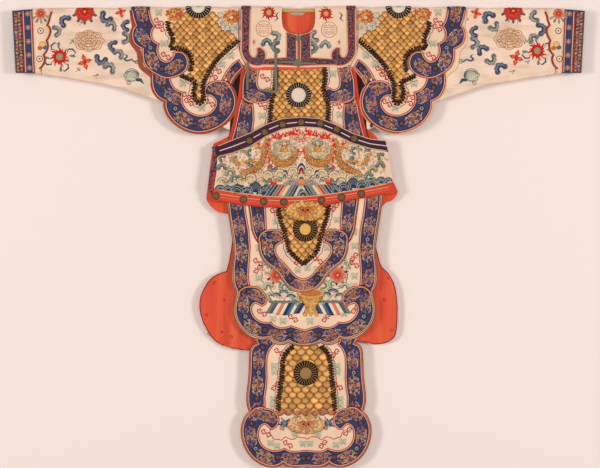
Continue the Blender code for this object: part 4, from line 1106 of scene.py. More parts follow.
def scale(work, x, z, wide, tall, glint, swell, point):
    """One scale: four rings, each smaller, higher and lighter than the one before.  The dark outer rings
    are an outline with painted shade between the scales, the light middle is a painted highlight, and
    the darkened top is painted shade where the row above lies over it.
    """
    rims = []
    for size, shade, height in ((1.05, tone(GOLD_DARK, 0.95), 0.2), (0.94, tone(GOLD_DARK, 1.35), 1.2),
                                (0.86, tone(GOLD, glint), 1.8), (0.42, tone(GOLD_LIGHT, glint * 0.95), 2.3)):
        ring = []
        lift = tall * 0.10 * (1.04 - size)
        for k in range(9):
            turn = pi + pi * k / 8
            tip = 1.0 + point * (1 - abs(cos(turn))) ** 2
            px = x + wide * 0.5 * size * swell * cos(turn) * (1.0 - point * 0.5 * abs(sin(2 * turn)))
            pz = z + lift + tall * 0.78 * size * swell * sin(turn) * tip
            ring.append(work.dot(px, pz, height + 0.6, shade))
        # The top of each ring dips and is darkened: painted shade where the row above lies over it.
        for u, v, drop, dim in ((0.34, 0.75, 0.5, 0.8), (0.0, 1.0, 0.4, 0.6), (-0.34, 0.75, 0.5, 0.8)):
            ring.append(work.dot(x + wide * u * size, z + lift + tall * v * size, height * drop,
                                 tone(shade, dim)))
        rims.append(ring)
    work.stacked(rims)


def mirror_boss(node, place, cx, cz, disc, ring, pads, pale, light=PALE_DISC):
    """A round mirror: a smooth disc in a ring of padded dark blocks with light threads between."""
    work = Stitches(place, LINED)

    def circle(radius):
        return [around(cx, cz, radius, tau * k / 44) for k in range(44)]

    work.disc(cx, cz, ring + 2.0, ring + 2.0, tone(EDGE_DARK, 1.4), GOLD_DARK, steps=44, top=0.6, low=0.0)
    work.ribbon(circle((disc + ring) / 2), ring - disc, tone(EDGE_DARK, 1.3), top=1.9, low=0.8, closed=True)
    for k in range(pads):
        angle = tau * k / pads
        ends = [around(cx, cz, r, angle) for r in (disc + 3.5, ring - 0.5)]
        work.ribbon(ends, 1.4, tone(light, 0.78), top=3.0, low=1.2)
        a, b = angle + 0.10 * tau / pads, angle + 0.90 * tau / pads
        pad = ((a, disc + 5.0), (b, disc + 5.0), (b, ring), ((a + b) / 2, ring + 1.2), (a, ring))
        work.patch([around(cx, cz, reach, t) for t, reach in pad], EDGE_DARK, tone(EDGE_DARK, 0.6), top=3.6,
                   low=1.4)
    for k in range(pads):
        x, z = around(cx, cz, disc + 3.2, tau * (k + 0.5) / pads)
        work.disc(x, z, 2.1, 2.1, tone(EDGE_DARK, 0.8), steps=8, top=3.6, low=1.6)
    work.ribbon(circle(disc + 0.4), 1.8, tone(light, 0.5), top=3.4, low=1.6, closed=True)
    work.disc(cx, cz, disc, disc, pale, tone(pale, 0.86), steps=32, top=3.6, low=2.0)
    stitched(node, node + "_pads", work)


# A curled cloud.  Columns: along, up and radius of each head, then the way of its dark stem.
CLOUD_HEADS = (
    (-1.02, -0.36, 0.66), (1.02, -0.40, 0.68), (0.06, 0.74, 0.64), (-0.66, 0.42, 0.54), (0.76, 0.38, 0.54),
)
CLOUD_STEM = (
    (-0.95, -0.28), (-1.14, -0.10), (-1.30, -0.36), (-1.02, -0.66), (-0.66, -0.38), (-0.54, 0.08),
    (0.0, 0.38), (0.56, 0.06), (0.66, -0.42), (1.0, -0.70), (1.34, -0.42), (1.16, -0.12), (0.95, -0.30),
)


def cloud(work, cx, cz, size, tint, flip, turn=0.0, fill=None):
    """Pale round heads about a thick dark stem that curls in at both ends."""
    fill = fill or tone(tint, 1.5)

    def spot(u, v):
        return turned(cx, cz, turn, u * flip * size, v * size)

    for k, (dx, dz, r) in enumerate(CLOUD_HEADS):
        x, z = spot(dx, dz)
        away = degrees(atan2(z - cz, x - cx))
        work.disc(x, z, r * size, r * size, tone(fill, 1.0 + 0.14 * (k % 2)), tint, steps=16, top=1.3,
                  low=0.1 * k)
        work.arc(x, z, r * size * 0.56, away - 100, away + 100, max(1.2, size * 0.11), tint, steps=8, top=1.7,
                 low=0.8)
    work.ribbon([spot(u, v) for u, v in CLOUD_STEM], size * 0.5, tint, top=2.1, low=0.9, taper="spindle")


def pick(tints, k):
    """One of the tints, in a scattered order."""
    return tints[int(abs(sin(k * 12.9898 + 0.7)) * 4375.8) % len(tints)]


def curls(work, cx, cz, rx, rz, count, size, tints, line, top=1.4):
    """Tight curls of couched thread packed over an oval."""
    for k in range(count):
        share = sqrt((k + 0.5) / count)
        angle = GOLDEN_ANGLE * k
        x, z = around(cx, cz, rx * share, angle, rz * share)
        tint = pick(tints, k)
        work.disc(x, z, size, size * 0.86, tint, tone(tint, 0.7), steps=8, top=top)
        work.spiral(x, z, size * 0.9, 1.3, line, tone(tint, (0.42, 1.25, 0.55)[k % 3]), angle,
                    1 if k % 2 else -1)


def lattice(work, cx, cz, radius, tint):
    """A round medallion of a square lattice, even on both sides."""
    work.arc(cx, cz, radius, 0, 360, 2.2, tint, steps=40, top=0.9)
    half = radius * 0.84
    bars = []
    for lift in (-0.66, -0.33, 0.0, 0.33, 0.66):
        reach = half * sqrt(1 - lift * lift * 0.9)
        gap = radius * (0.12 if abs(lift) < 0.5 else 0.26)
        z = cz + lift * half
        bars += [[(cx + way * gap, z), (cx + way * reach, z)] for way in (-1, 1)]
    for across in (0.0, 0.32, 0.62):
        for way in (-1, 1):
            x = cx + way * across * half
            for low, high in ((-0.66, -0.33), (0.33, 0.66)) if across else ((-0.9, -0.2), (0.2, 0.9)):
                bars.append([(x, cz + low * half), (x, cz + high * half)])
    for bar in bars:
        work.ribbon(bar, 1.76, tint, top=0.9)


def spiky(work, cx, cz, radius, core, count=13):
    """A red flame-petalled flower with a round heart."""
    work.disc(cx, cz, radius * 0.66, radius * 0.62, THREAD_RED, tone(THREAD_RED, 0.8), steps=18, top=1.1)
    for k in range(count):
        angle = tau * k / count + 0.2
        length = radius * (1.08 if k % 2 else 0.86)
        bend = angle + 0.35
        points = [around(cx, cz, radius * 0.3, angle), around(cx, cz, length * 0.7, angle + 0.08),
                  around(cx, cz, length * 1.02, bend - 0.1)]
        work.ribbon(points, radius * 0.46, THREAD_RED, top=1.3, taper=True, tip=tone(THREAD_RED, 0.8))
        work.ribbon(points[:2], radius * 0.09, tone(THREAD_RED, 0.5), top=1.7, low=0.8)
    work.disc(cx, cz, radius * 0.29, radius * 0.29, core, tone(core, 0.7), steps=14, top=2.4, low=1.0)
    work.spiral(cx, cz, radius * 0.21, 1.2, 1.6, tone(core, 0.5))
    work.arc(cx, cz, radius * 0.34, 0, 340, radius * 0.12, srgb(232, 170, 112), steps=16, top=1.9)


# The stroke of a key motif, its half size and its colour.
FRET = ((1.0, -0.9), (-1.0, -0.9), (-1.0, 0.9), (0.7, 0.9), (0.7, -0.05), (-0.1, -0.05))
FRET_SIZE = 6.6
FRET_RED = srgb(196, 30, 22)


def fret(work, cx, cz, turn):
    """A small angular key motif: a square scroll winding into its middle."""
    points = [turned(cx, cz, turn, u * FRET_SIZE, v * FRET_SIZE) for u, v in FRET]
    for a, b in zip(points, points[1:]):
        work.ribbon([a, b], 3.1, FRET_RED, top=1.3, tip=tone(FRET_RED, 0.75))


def frets(work, places):
    """Key motifs in pairs set on the slant.  Columns: across, down in picture points, way of the slant."""
    for px, py, *way in places:
        x, z = at(px, py)
        lean = way[0] if way else 1
        fret(work, x - 6.5 * lean, z + 5.5, 0.5 * lean)
        fret(work, x + 6.5 * lean, z - 5.5, 0.5 * lean + pi)


def pale_mark(work, cx, cz, size):
    """Pale linked curls, two facing and two folded under, with a leaf at each side."""
    tint = srgb(170, 180, 152)
    for side in (-1, 1):
        work.spiral(cx + side * size * 0.52, cz + size * 0.36, size * 0.54, 1.5, size * 0.2, tint,
                    0.3 if side > 0 else pi - 0.3, side)
        work.spiral(cx + side * size * 0.46, cz - size * 0.56, size * 0.44, 1.4, size * 0.2, tone(tint, 0.9),
                    pi if side > 0 else 0.0, -side)
        work.petal(cx + side * size * 0.9, cz - size * 0.1, pi / 2 - side * 1.1, size * 0.42, size * 0.24,
                   tone(tint, 1.15))
    work.disc(cx, cz - size * 0.08, size * 0.16, size * 0.2, tone(tint, 0.8), steps=8)


def pale_marks(work, places, size=12.0):
    for px, py in places:
        pale_mark(work, *at(px, py), size)


def roundel(work, cx, cz, rx, rz, tint, width, lobes):
    """A lobed medallion filled with interlaced curls, the same on both sides of its middle line."""
    def edge(share):
        ring = []
        for k in range(56):
            turn = tau * k / 56
            swell = share * (1.0 + 0.07 * cos(lobes * turn))
            ring.append(around(cx, cz, rx * swell, turn, rz * swell))
        return ring

    work.ribbon(edge(1.0), width, tint, closed=True)
    work.ribbon(edge(0.86), width * 0.7, tone(tint, 0.85), closed=True)
    for share, count in ((0.70, 14), (0.44, 8), (0.18, 4)):
        for k in range(count):
            turn = tau * (k + 0.5) / count
            hand = 1 if cos(turn) > 0 else -1
            x, z = around(cx, cz, rx * share, turn, rz * share)
            work.spiral(x, z, rz * 0.17, 1.3, width * 0.62, tint, turn if hand > 0 else pi - turn, hand)
            work.arc(x, z, rz * 0.2, 30, 330, width * 0.5, tone(tint, 0.8), steps=8)
    for share in (0.57, 0.31):
        work.ribbon(edge(share), width * 0.55, tone(tint, 0.8), closed=True)


def flame(work, cx, cz, size, turn, colour, tongues=5):
    """Curling tongues of flame fanned about one direction."""
    for k in range(tongues):
        off = k - (tongues - 1) / 2
        reach = size * (1.0 - 0.16 * abs(off))
        curl = 0.5 if k % 2 else -0.5
        points = [around(cx, cz, reach * t, turn + off * 0.42 + curl * t) for t in (0.0, 0.35, 0.7, 1.0)]
        work.ribbon(points, size * 0.34, colour, top=1.1, taper=True, tip=tone(colour, 1.2))


# Rings of a full flower.  Columns: share of the radius, petals, the petal's inner and outer colour.
PEONY_PINK = (
    (1.0, 9, srgb(228, 138, 108), srgb(248, 212, 188)),
    (0.72, 8, srgb(220, 104, 78), srgb(244, 180, 154)),
    (0.46, 6, srgb(206, 62, 44), srgb(232, 128, 100)),
)
PEONY_RED = (
    (1.0, 9, srgb(206, 52, 40), srgb(232, 128, 100)),
    (0.72, 8, srgb(216, 66, 50), srgb(240, 160, 134)),
    (0.46, 6, srgb(190, 36, 28), srgb(222, 100, 76)),
)


def peony(work, cx, cz, radius, turn=0.0, rings=PEONY_PINK):
    """A full flower of three rings of petals, each petal with a curved line across it."""
    for ring, count, inner, outer in rings:
        for k in range(count):
            angle = turn + tau * k / count + ring
            work.petal(cx, cz, angle, radius * ring, radius * ring * 0.8, inner, outer,
                       top=1.2 + (1 - ring) * 2)
            x, z = around(cx, cz, radius * ring * 0.62, angle)
            work.arc(x, z, radius * 0.26 * ring, degrees(angle) - 80, degrees(angle) + 80, 1.5,
                     tone(inner, 0.62), steps=5, top=1.8 + (1 - ring) * 2)
    work.disc(cx, cz, radius * 0.14, radius * 0.14, GOLD_LIGHT, THREAD_RED, steps=8, top=3.4)


def billow(work, cx, cz, radius, shades, squash, lean=0.0, curl=0):
    """A round wave crest of nested arcs, leaning to one side, each with a thin light edge."""
    for k, shade in enumerate(shades):
        r = radius * (1 - k / (len(shades) + 0.3))
        points = []
        for j in range(13):
            x, z = around(cx, cz, r, pi * j / 12, r * squash)
            points.append((x + lean * radius * sin(pi * j / 12) * (1 - k * 0.12), z))
        work.patch(points, shade, tone(shade, 0.7), top=0.8 + 0.4 * k, low=0.1 + 0.35 * k)
        work.ribbon(points, 1.3 if k % 2 else 1.9, (WAVE_LIGHT, EDGE_DARK, THREAD_SKY)[k % 3],
                    top=1.2 + 0.38 * k, low=0.3 + 0.35 * k)
    if curl:
        x, z = cx + lean * radius, cz + radius * squash * 0.5
        work.disc(x, z, radius * 0.5, radius * 0.5, THREAD_SLATE, THREAD_NAVY, top=2.8, low=1.4)
        work.spiral(x, z, radius * 0.46, 1.9, 2.2, srgb(222, 214, 192), 0.4, curl)


def speckle(work, line, pitch, size, tints, width=1.6):
    """Small curls and sprigs that fill an outline."""
    outline = [Vector((p[0], p[1])) for p in line]
    xs = [p.x for p in outline]
    zs = [p.y for p in outline]
    for r in range(int((max(zs) - min(zs)) / pitch) + 1):
        for c in range(int((max(xs) - min(xs)) / pitch) + 1):
            x = min(xs) + (c + 0.5 * (r % 2) + 0.3 * sin(r * 7.1 + c * 3.3)) * pitch
            z = min(zs) + (r + 0.3 * sin(r * 2.7 + c * 9.1)) * pitch
            if not inside(outline, x, z):
                continue
            tint = tints[(r * 5 + c * 3) % len(tints)]
            form = (r * 3 + c * 7) % 5
            if form < 3:
                work.spiral(x, z, size, 1.1, width, tint, r + c * 1.7, 1 if c % 2 else -1)
            elif form == 3:
                work.petal(x - size * 0.5, z, c * 1.3, size * 1.5, size * 0.5, tint, tone(tint, 0.7))
            else:
                work.arc(x, z, size * 1.1, 20 + 40 * c, 190 + 40 * c, width, tint, steps=6)


def both_sides(rows):
    """An outline that goes over the rod and down behind, from its front half."""
    front = smooth(rows, closed=False)
    return front + [Vector((p.x, ARC - p.y)) for p in reversed(front)]


def flipped(line):
    """The mirror image of a line, in the other direction."""
    return [Vector((-p.x, p.y)) for p in reversed(line)]


def u_border(outer, inner):
    """A border round three sides of a panel, from its right half."""
    out_right = smooth(outer, closed=False)
    in_right = smooth(inner, closed=False)
    return out_right + flipped(out_right)[1:] + flipped(in_right) + in_right[1:]


def shifted(line, dx, dz=0.0):
    """A line moved across and up."""
    return [Vector((p.x + dx, p.y + dz)) for p in line]


def stitched(on, name, work, look="silk_thread"):
    """Makes the object of some stitches, which are part of the cut piece they lie on."""
    works.setdefault(on, []).append(work.made(name, look))


ARC_ROWS = tuple(ARC * k / ARC_STEPS for k in range(ARC_STEPS + 1))
CREST_ROWS = ARC_ROWS[:ARC_STEPS // 2 + 1]
SIDES = (("left", same, -1.0), ("right", mirrored, 1.0))


# The rod and the plain body.
def rod():
    """A plain round rod with flat ends."""
    steps = 36
    ends = (-768.0, 768.0)
    verts = [(x, *around(0.0, 0.0, 6.0, tau * k / steps)) for x in ends for k in range(steps)]
    faces = [(k, k + steps, (k + 1) % steps + steps, (k + 1) % steps) for k in range(steps)]
    faces.append(tuple(reversed(range(steps, 2 * steps))))
    faces.append(tuple(range(steps)))
    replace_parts(finish_mesh("rod_round", verts, faces, "rod_wood"), "rod")


def over_crest(dip, reach, right, left):
    """The outline of a body panel: the neck's edge, out along the shoulder, and both sides."""
    neck = [Vector((-NECK_REACH, CREST))] + dip + [Vector((NECK_REACH, CREST)), Vector((reach, CREST))]
    return neck + right + left + [Vector((-reach, CREST))]


rod()
neck = smooth(NECK_FRONT_HALF, closed=False)
right = smooth(BODY_FRONT_HALF, closed=False)
panel("front_body", over_crest(flipped(neck) + neck[1:], BODY_REACH, right, flipped(right)),
      half_over_rod(BODY_LEVEL, -1), SILK, "cream_silk", rows=CREST_ROWS)
right = smooth(BODY_BACK_RIGHT, closed=False)
left = list(reversed(smooth(BODY_BACK_LEFT, closed=False)))
dip = smooth(NECK_BACK_DIP, closed=False)
panel("back_body", over_crest(dip, BODY_REACH, right, left), half_over_rod(BODY_LEVEL, 1), SILK,
      "red_lining", rows=CREST_ROWS)

# Sleeves, cuffs and facings: tubes of cloth over the rod, written for the left one.
# How far the seams lean outward at the top, and how far each tube's top lies under the rod's middle.
SLANT = ((-890, -11.0), (-861, -9.0), (-829, -8.0), (-772, 0.0), (-386, 0.0), (-209, 21.5))
CUFF_DROPS = ((-890, -8.0), (-861, -5.0), (-829, -3.0), (-772, 0.0))
TUBE_STEPS = 18
ROUND_STEPS = 12


def column(rows, index):
    """The first column of a table and one other."""
    return tuple((row[0], row[index]) for row in rows)


def sleeve_low(x):
    """The height of the sleeve's lower edge."""
    return between(column(SLEEVE_ROWS, 2), x)


def sleeve_flute(x):
    """How far the sleeve stands off at half its height: the row's own value and a fine ripple."""
    ripple = 0.5 * sin(x * 0.11) * ease((-x - 540) / 60) * ease((x + 800) / 60)
    return between(column(SLEEVE_ROWS, 3), x) + ripple


def tube_reach(level, x, z, drop, centre):
    """How far the front of a hanging tube stands forward at one height."""
    part = min(1.0, max(0.0, (drop - z) / (drop - centre)))
    soft = sin(pi * min(0.5, part * 3)) * ease((1 - part) * 8)
    return level + sleeve_flute(-abs(x)) * sin(pi * part) + wave(x, z) * soft


def tube_spot(level):
    """Where a stitch on a hanging tube goes: x and height on its front face, and t outward."""
    def place(x, z, t):
        drop = between(CUFF_DROPS, -abs(x))
        centre = sleeve_low(-abs(x)) + 7.5
        if z > drop:
            turn = min(pi, pi * (z - drop) / ARC)
            return x, -(level + t) * cos(turn), drop + (level + t) * sin(turn)
        return x, -tube_reach(level, x, z, drop, centre) - t, z
    return place


def tube_ring(level, x, side, drop, centre):
    """Depth and height round one ring: over the rod, down the back, round the foot and up the front."""
    ends = [around(0.0, 0.0, level, pi * k / ROUND_STEPS) for k in range(ROUND_STEPS)]
    ring = [(-y, drop + z) for y, z in ends]
    for k in range(TUBE_STEPS):
        part = k / TUBE_STEPS
        ring.append((level + sleeve_flute(x) * sin(pi * part), drop + (centre - drop) * part))
    ring += [(y, centre - z) for y, z in ends]
    for k in range(TUBE_STEPS):
        z = drop + (centre - drop) * (1 - k / TUBE_STEPS)
        ring.append((-tube_reach(level, side * x, z, drop, centre), z))
    return ring


def tube_cloth(node, side, xs, level, wall, look, low_extra=0.0, left_edge=None):
    """A sleeve or cuff as one closed tube of even wall over the rod.  The rows
    run from the cuff inward with x below 0, and each is laid at its x times side.  With the sides of
    the loop below, the tube named left lies on the right half, and the one named right on the left."""
    verts = []
    rings = []
    for shell in (level, level + wall):
        for x in xs:
            drop = between(CUFF_DROPS, x)
            low = sleeve_low(x) + low_extra
            ring = tube_ring(shell, x, side, drop, low + level + wall)
            rings.append([len(verts) + k for k in range(len(ring))])
            for y, z in ring:
                rise = min(1.0, max(0.0, (z - low) / (drop - low)))
                spot = left_edge(z) if left_edge and x == xs[-1] else x + between(SLANT, x) * rise
                verts.append((spot * side, y, z))
    count = len(xs)
    faces = []

    def band(a, b, flip):
        for k in range(len(a)):
            m = (k + 1) % len(a)
            face = (a[k], a[m], b[m], b[k])
            faces.append(face if flip else tuple(reversed(face)))

    for i in range(count - 1):
        band(rings[i], rings[i + 1], side > 0)
        band(rings[count + i], rings[count + i + 1], side < 0)
    band(rings[0], rings[count], side < 0)
    band(rings[count - 1], rings[-1], side > 0)
    obj = finish_mesh(node + "_cloth", verts, faces, look)
    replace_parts(obj, node)


facing_line = smooth(FACING_EDGE, closed=False)


def facing_edge(z):
    """Where the scalloped edge of the facing lies at one height."""
    if z > facing_line[0].y:
        return facing_line[0].x
    for a, b in zip(facing_line, facing_line[1:]):
        if b.y <= z <= a.y:
            return a.x + (b.x - a.x) * (a.y - z) / max(1e-6, a.y - b.y)
    return facing_line[-1].x


sleeve_xs = [-828.7 + k * 12.0 for k in range(51)] + [-220.0, -209.0]
for word, turn, side in SIDES:
    tube_cloth("sleeve_" + word, side, sleeve_xs, BODY_LEVEL, SILK, "sleeve_silk")
    tube_cloth("cuff_inner_band_" + word, side, (-860.7, -850.0, -840.0, -829.0), BODY_LEVEL, SILK,
               "indigo_border")
    tube_cloth("cuff_outer_band_" + word, side, (-890.0, -880.0, -870.0, -861.0), BODY_LEVEL, SILK,
               "purple_brocade")
    tube_cloth("cuff_facing_" + word, side, (-828.7, -818.0, -808.0, -795.0), FACING_LEVEL, LINED,
               "cream_silk", -1.8, facing_edge)

# Shoulder guards and their borders.
for word, turn, side in SIDES:
    panel("guard_" + word, both_sides(turn(GUARD_EDGE)), over_rod(GUARD_LEVEL), LINED, "cream_silk",
          rows=ARC_ROWS)
    panel("guard_upper_border_" + word, both_sides(turn(GUARD_UPPER_BORDER)), over_rod(GUARD_TOP_LEVEL),
          LINED, "indigo_border", rows=ARC_ROWS, strip=62.0)
    for face, place in (("front_", ahead(GUARD_LOW_LEVEL)), ("back_", behind(GUARD_LOW_LEVEL))):
        panel("guard_lower_border_" + face + word, smooth(turn(GUARD_LOWER_BORDER)), place, LINED,
              "indigo_border", strip=55.0)
    # The side gussets are near-black brown sheets of painted shade in the gaps between guard, body and chest.
    panel("side_gusset_" + word, smooth(turn(SIDE_GUSSET)), ahead(BODY_LEVEL), SILK, "dark_side",
          strip=20.0)
    panel("chest_border_" + word, smooth(mirrored(turn(CHEST_BORDER_RIGHT))), ahead(GUARD_LEVEL), LINED,
          "indigo_border", strip=58.0)

# Yoke, with its two halves written for the right one.
YOKE_SIDES = (("left", mirrored, -1.0), ("right", same, 1.0))
YOKE_CORNERS = (180, 150)
for word, turn, side in YOKE_SIDES:
    line = smooth(turn(YOKE_RIGHT), closed=False)
    line += [Vector((side * x, CREST)) for x in (YOKE_REACH, NECK_REACH)]
    panel("yoke_" + word, line, half_over_rod(GUARD_TOP_LEVEL, -1), LINED, "cream_silk", rows=CREST_ROWS)
    line = smooth(turn(YOKE_BORDER_RIGHT), closed=False)
    line += [Vector((side * x, CREST)) for x in YOKE_CORNERS]
    panel("yoke_border_" + word, line, half_over_rod(YOKE_BORDER_LEVEL, -1), LINED, "purple_brocade",
          rows=CREST_ROWS, strip=35.0)
right = smooth(YOKE_BACK_HALF, closed=False)
panel("yoke_back", over_crest(dip, YOKE_REACH, right, flipped(right)[1:]), half_over_rod(GUARD_TOP_LEVEL, 1),
      LINED, "cream_silk", rows=CREST_ROWS)
panel("yoke_lining", smooth(YOKE_LINING), ahead(GUARD_LOW_LEVEL), LINED, "red_lining",
      strip=28.0)
for node, edge, wall, strip in (("frog_upper", FROG_UPPER, 2.5, None), ("frog_lower", FROG_LOWER, 2.0, 12.0),
                                ("tie_side", TIE_SIDE, SILK, None), ("tie_middle", TIE_MIDDLE, SILK, 10.5)):
    panel(node, smooth(edge), ahead(TIE_LEVEL), wall, "grey_green_braid",
          strip=strip)

# Belt.
top = smooth(BELT_TOP_EDGE, closed=False)
band = smooth(BELT_BAND_EDGE, closed=False)
hem_top = smooth(BELT_HEM_TOP_EDGE, closed=False)
hem = smooth(BELT_HEM_EDGE, closed=False)
line = top + [band[-1]] + [Vector(BELT_RIGHT_END)] + [hem_top[-1]] + list(reversed(hem))
line += [hem_top[0]] + [Vector(BELT_LEFT_END)] + [band[0]]
stand = tuple(row[0] for row in BELT_STAND[1:-1])
panel("belt", line, on_belt(0.0), BELT_WALL, "cream_silk", finer=stand)
panel("belt_top_band", top + list(reversed(band)), on_belt(BELT_EXTRA), LINED, "belt_purple",
      strip=34.0, finer=stand)
panel("belt_hem_band", hem_top + list(reversed(hem)), on_belt(BELT_EXTRA), LINED, "belt_red",
      strip=36.0, finer=stand)
panel("belt_end_strip", smooth(BELT_END_STRIP), on_belt(0.0), LINED, "purple_brocade",
      strip=10.0, finer=stand)
panel("belt_back", smooth(BELT_BACK_EDGE), behind(GUARD_LEVEL), LINED, "red_lining")

# Apron, flap, fish-tail and back skirt.
folds = tuple(row[0] for row in LOWER_FOLDS)
panel("apron", smooth(moved(whole(APRON_HALF), CENTRE_APRON, TOP_APRON)), folded_ahead(BODY_LEVEL), LINED,
      "cream_silk", finer=folds)
panel("apron_border", shifted(u_border(APRON_BORDER_OUTER, APRON_BORDER_INNER), CENTRE_APRON, TOP_APRON),
      folded_ahead(APRON_BORDER_LEVEL), LINED, "indigo_border", strip=52.0, finer=folds)
panel("flap", smooth(moved(whole(FLAP_HALF), CENTRE_FLAP, TOP_APRON)),
      folded_ahead(APRON_BORDER_LEVEL), LINED, "cream_silk", finer=folds)
panel("flap_border", shifted(u_border(FLAP_BORDER_OUTER, FLAP_BORDER_INNER), CENTRE_FLAP, TOP_APRON),
      folded_ahead(FLAP_BORDER_LEVEL), LINED, "indigo_border", strip=48.0, finer=folds)
panel("tail", smooth(moved(whole(TAIL_HALF), CENTRE_TAIL)), folded_ahead(TAIL_LEVEL), LINED, "cream_silk",
      finer=folds)
panel("tail_border", shifted(u_border(TAIL_BORDER_OUTER, TAIL_BORDER_INNER), CENTRE_TAIL),
      folded_ahead(TAIL_BORDER_LEVEL), LINED, "indigo_border", strip=52.0, finer=folds)
panel("back_skirt", smooth(BACK_SKIRT), skirt_place, SILK, "red_lining",
      finer=tuple(row[0] for row in SKIRT_FOLDS[1:-1]))


# Mirrors and padded masks: the middle of each, and for a mask the level of its back, width, height
# and relief.
GUARD_MIRROR_X = 315
CHEST_MIRROR = (0.0, -267.0)
FLAP_MIRROR = (21.0, -689.0)
TAIL_MIRROR = (23.0, -1142.0)
BELT_MASK = (21.0, -632.0, 31.3, 126.0, 62.0, 12.0)
TAIL_MASK = (24.0, -1304.0, 7.4, 120.0, 58.0, 10.0)


def disc_cloth(node, cx, cz, radius, place, rests, rows=()):
    """The round cloth of a mirror."""
    ring = [Vector(around(cx, cz, radius, tau * (k + 0.35) / 56)) for k in range(56)]
    panel(node, ring, place, LINED, "pale_mirror", rows=rows)


def mask_front(x, z, level, wide, tall, relief):
    """How far a mask's face stands forward: a round swell with a low muzzle and two brows."""
    u, v = x / (wide / 2), z / (tall / 2)
    swell = sqrt(max(0.0, 1.0 - (u * u + v * v) * 0.96))
    muzzle = 0.40 * exp(-((u / 0.28) ** 2 + ((v + 0.30) / 0.30) ** 2))
    brow = 0.22 * exp(-(((abs(u) - 0.34) / 0.20) ** 2 + ((v - 0.38) / 0.20) ** 2))
    return level + 1.0 + relief * (0.62 * swell + muzzle + brow)


def mask_body(node, cx, cz, level, wide, tall, relief):
    """A padded mask: a flat back with a scalloped edge, and a swelling front of nested rings."""
    verts = []
    faces = []
    steps = 56
    parts = (1.0, 1.0, 0.93, 0.84, 0.73, 0.6, 0.47, 0.34, 0.2, 0.08)
    for r, part in enumerate(parts):
        for k in range(steps):
            turn = tau * k / steps
            edge = 1.0 + 0.02 * cos(16 * turn)
            x, z = around(0.0, 0.0, wide / 2 * edge * part, turn, tall / 2 * edge * part)
            y = mask_front(x / edge, z / edge, level, wide, tall, relief) if r else level
            verts.append((cx + x, -y, cz + z))
    for r in range(len(parts) - 1):
        for k in range(steps):
            m = (k + 1) % steps
            faces.append((r * steps + k, r * steps + m, (r + 1) * steps + m, (r + 1) * steps + k))
    faces.append(tuple(reversed(range(steps))))
    faces.append(tuple(range(len(verts) - steps, len(verts))))
    obj = finish_mesh(node + "_pad", verts, faces, "gold_ground")
    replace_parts(obj, node)
    return obj


for word, turn, side in SIDES:
    disc_cloth("guard_mirror_" + word, side * GUARD_MIRROR_X, ARC / 2, 39.0, over_rod(GUARD_LOW_LEVEL),
               "guard_" + word + "_cloth", ARC_ROWS)
flap_mirror_place = folded_ahead(FLAP_BORDER_LEVEL + MIRROR_LIFT)
tail_mirror_place = folded_ahead(TAIL_BORDER_LEVEL + MIRROR_LIFT)
disc_cloth("chest_mirror", *CHEST_MIRROR, 39.0, ahead(GUARD_LEVEL), "front_body_cloth")
disc_cloth("flap_mirror", *FLAP_MIRROR, 38.0, flap_mirror_place, "flap_cloth")
disc_cloth("tail_mirror", *TAIL_MIRROR, 38.0, tail_mirror_place, "tail_cloth")
pads = [mask_body("belt_mask", *BELT_MASK), mask_body("tail_mask", *TAIL_MASK)]

# Middle lines of the borders, for the run of blossoms along them.
GUARD_UPPER_MIDDLE = (
    (-497, 8), (-491, -25), (-482, -52), (-491, -84), (-466, -114), (-464, -145), (-449, -174),
    (-415, -187), (-384, -174),
)
GUARD_LOWER_MIDDLE = (
    (-433, -200), (-431, -228), (-418, -254), (-391, -274), (-390, -298), (-382, -320), (-364, -340),
    (-338, -353), (-308, -358), (-280, -352), (-253, -335), (-234, -312), (-230, -288),
)
GUARD_CURL_MIDDLE = ((-236, -262), (-262, -246), (-284, -258))
GUARD_TIP_MIDDLE = ((-229, -228), (-210, -200), (-190, -176))
CHEST_MIDDLE = ((141, -178), (148, -208), (152, -236), (146, -262), (120, -272), (97, -262))
CHEST_LOW_MIDDLE = ((163, -290), (168, -325), (174, -368), (183, -420))
APRON_MIDDLE = (
    (215, 10), (213, -30), (205, -80), (197, -130), (197, -170), (201, -205), (203, -240),
    (190, -274), (192, -320), (190, -350), (177, -386), (150, -407), (115, -410), (88, -424),
    (60, -425), (36, -424), (0, -433),
)
APRON_CURL_MIDDLE = ((168, -297), (146, -302), (134, -318))
FLAP_MIDDLE = (
    (148, 20), (146, -10), (142, -50), (136, -90), (118, -114), (112, -148), (105, -178), (85, -199),
    (66, -218), (47, -243), (26, -260), (0, -268),
)
FLAP_CURL_MIDDLE = ((98, -113), (72, -114))
TAIL_MIDDLE = (
    (133, -1010), (130, -1048), (146, -1080), (149, -1115), (150, -1150), (152, -1182),
    (156, -1216), (153, -1252), (170, -1290), (175, -1330), (168, -1362), (150, -1390), (122, -1408),
    (98, -1410), (72, -1402), (50, -1410), (25, -1411), (0, -1409),
)
TAIL_CURL_MIDDLE = ((140, -1278), (116, -1280), (102, -1294))


# Where a scroll lies over the next stretch of its border: from, to and bulge, for the half that each
# outline is written for.
GUARD_CROSSING = ((-243, -222), (-214, -240), 6.0)
CHEST_CROSSING = ((178, -273), (143, -292), 5.0)
APRON_CROSSING = ((171, -271), (208, -290), 6.0)
FLAP_CROSSING = ((115, -95), (139, -135), 11.0)
TAIL_CROSSING = ((128, -1252), (175, -1265), 10.0)


def crossing_of(row, flip=False, dx=0.0, dz=0.0):
    """The same crossing on the other half, or moved."""
    a, b, bulge = row
    if flip:
        a, b = (-b[0], b[1]), (-a[0], a[1])
    return (a[0] + dx, a[1] + dz), (b[0] + dx, b[1] + dz), bulge


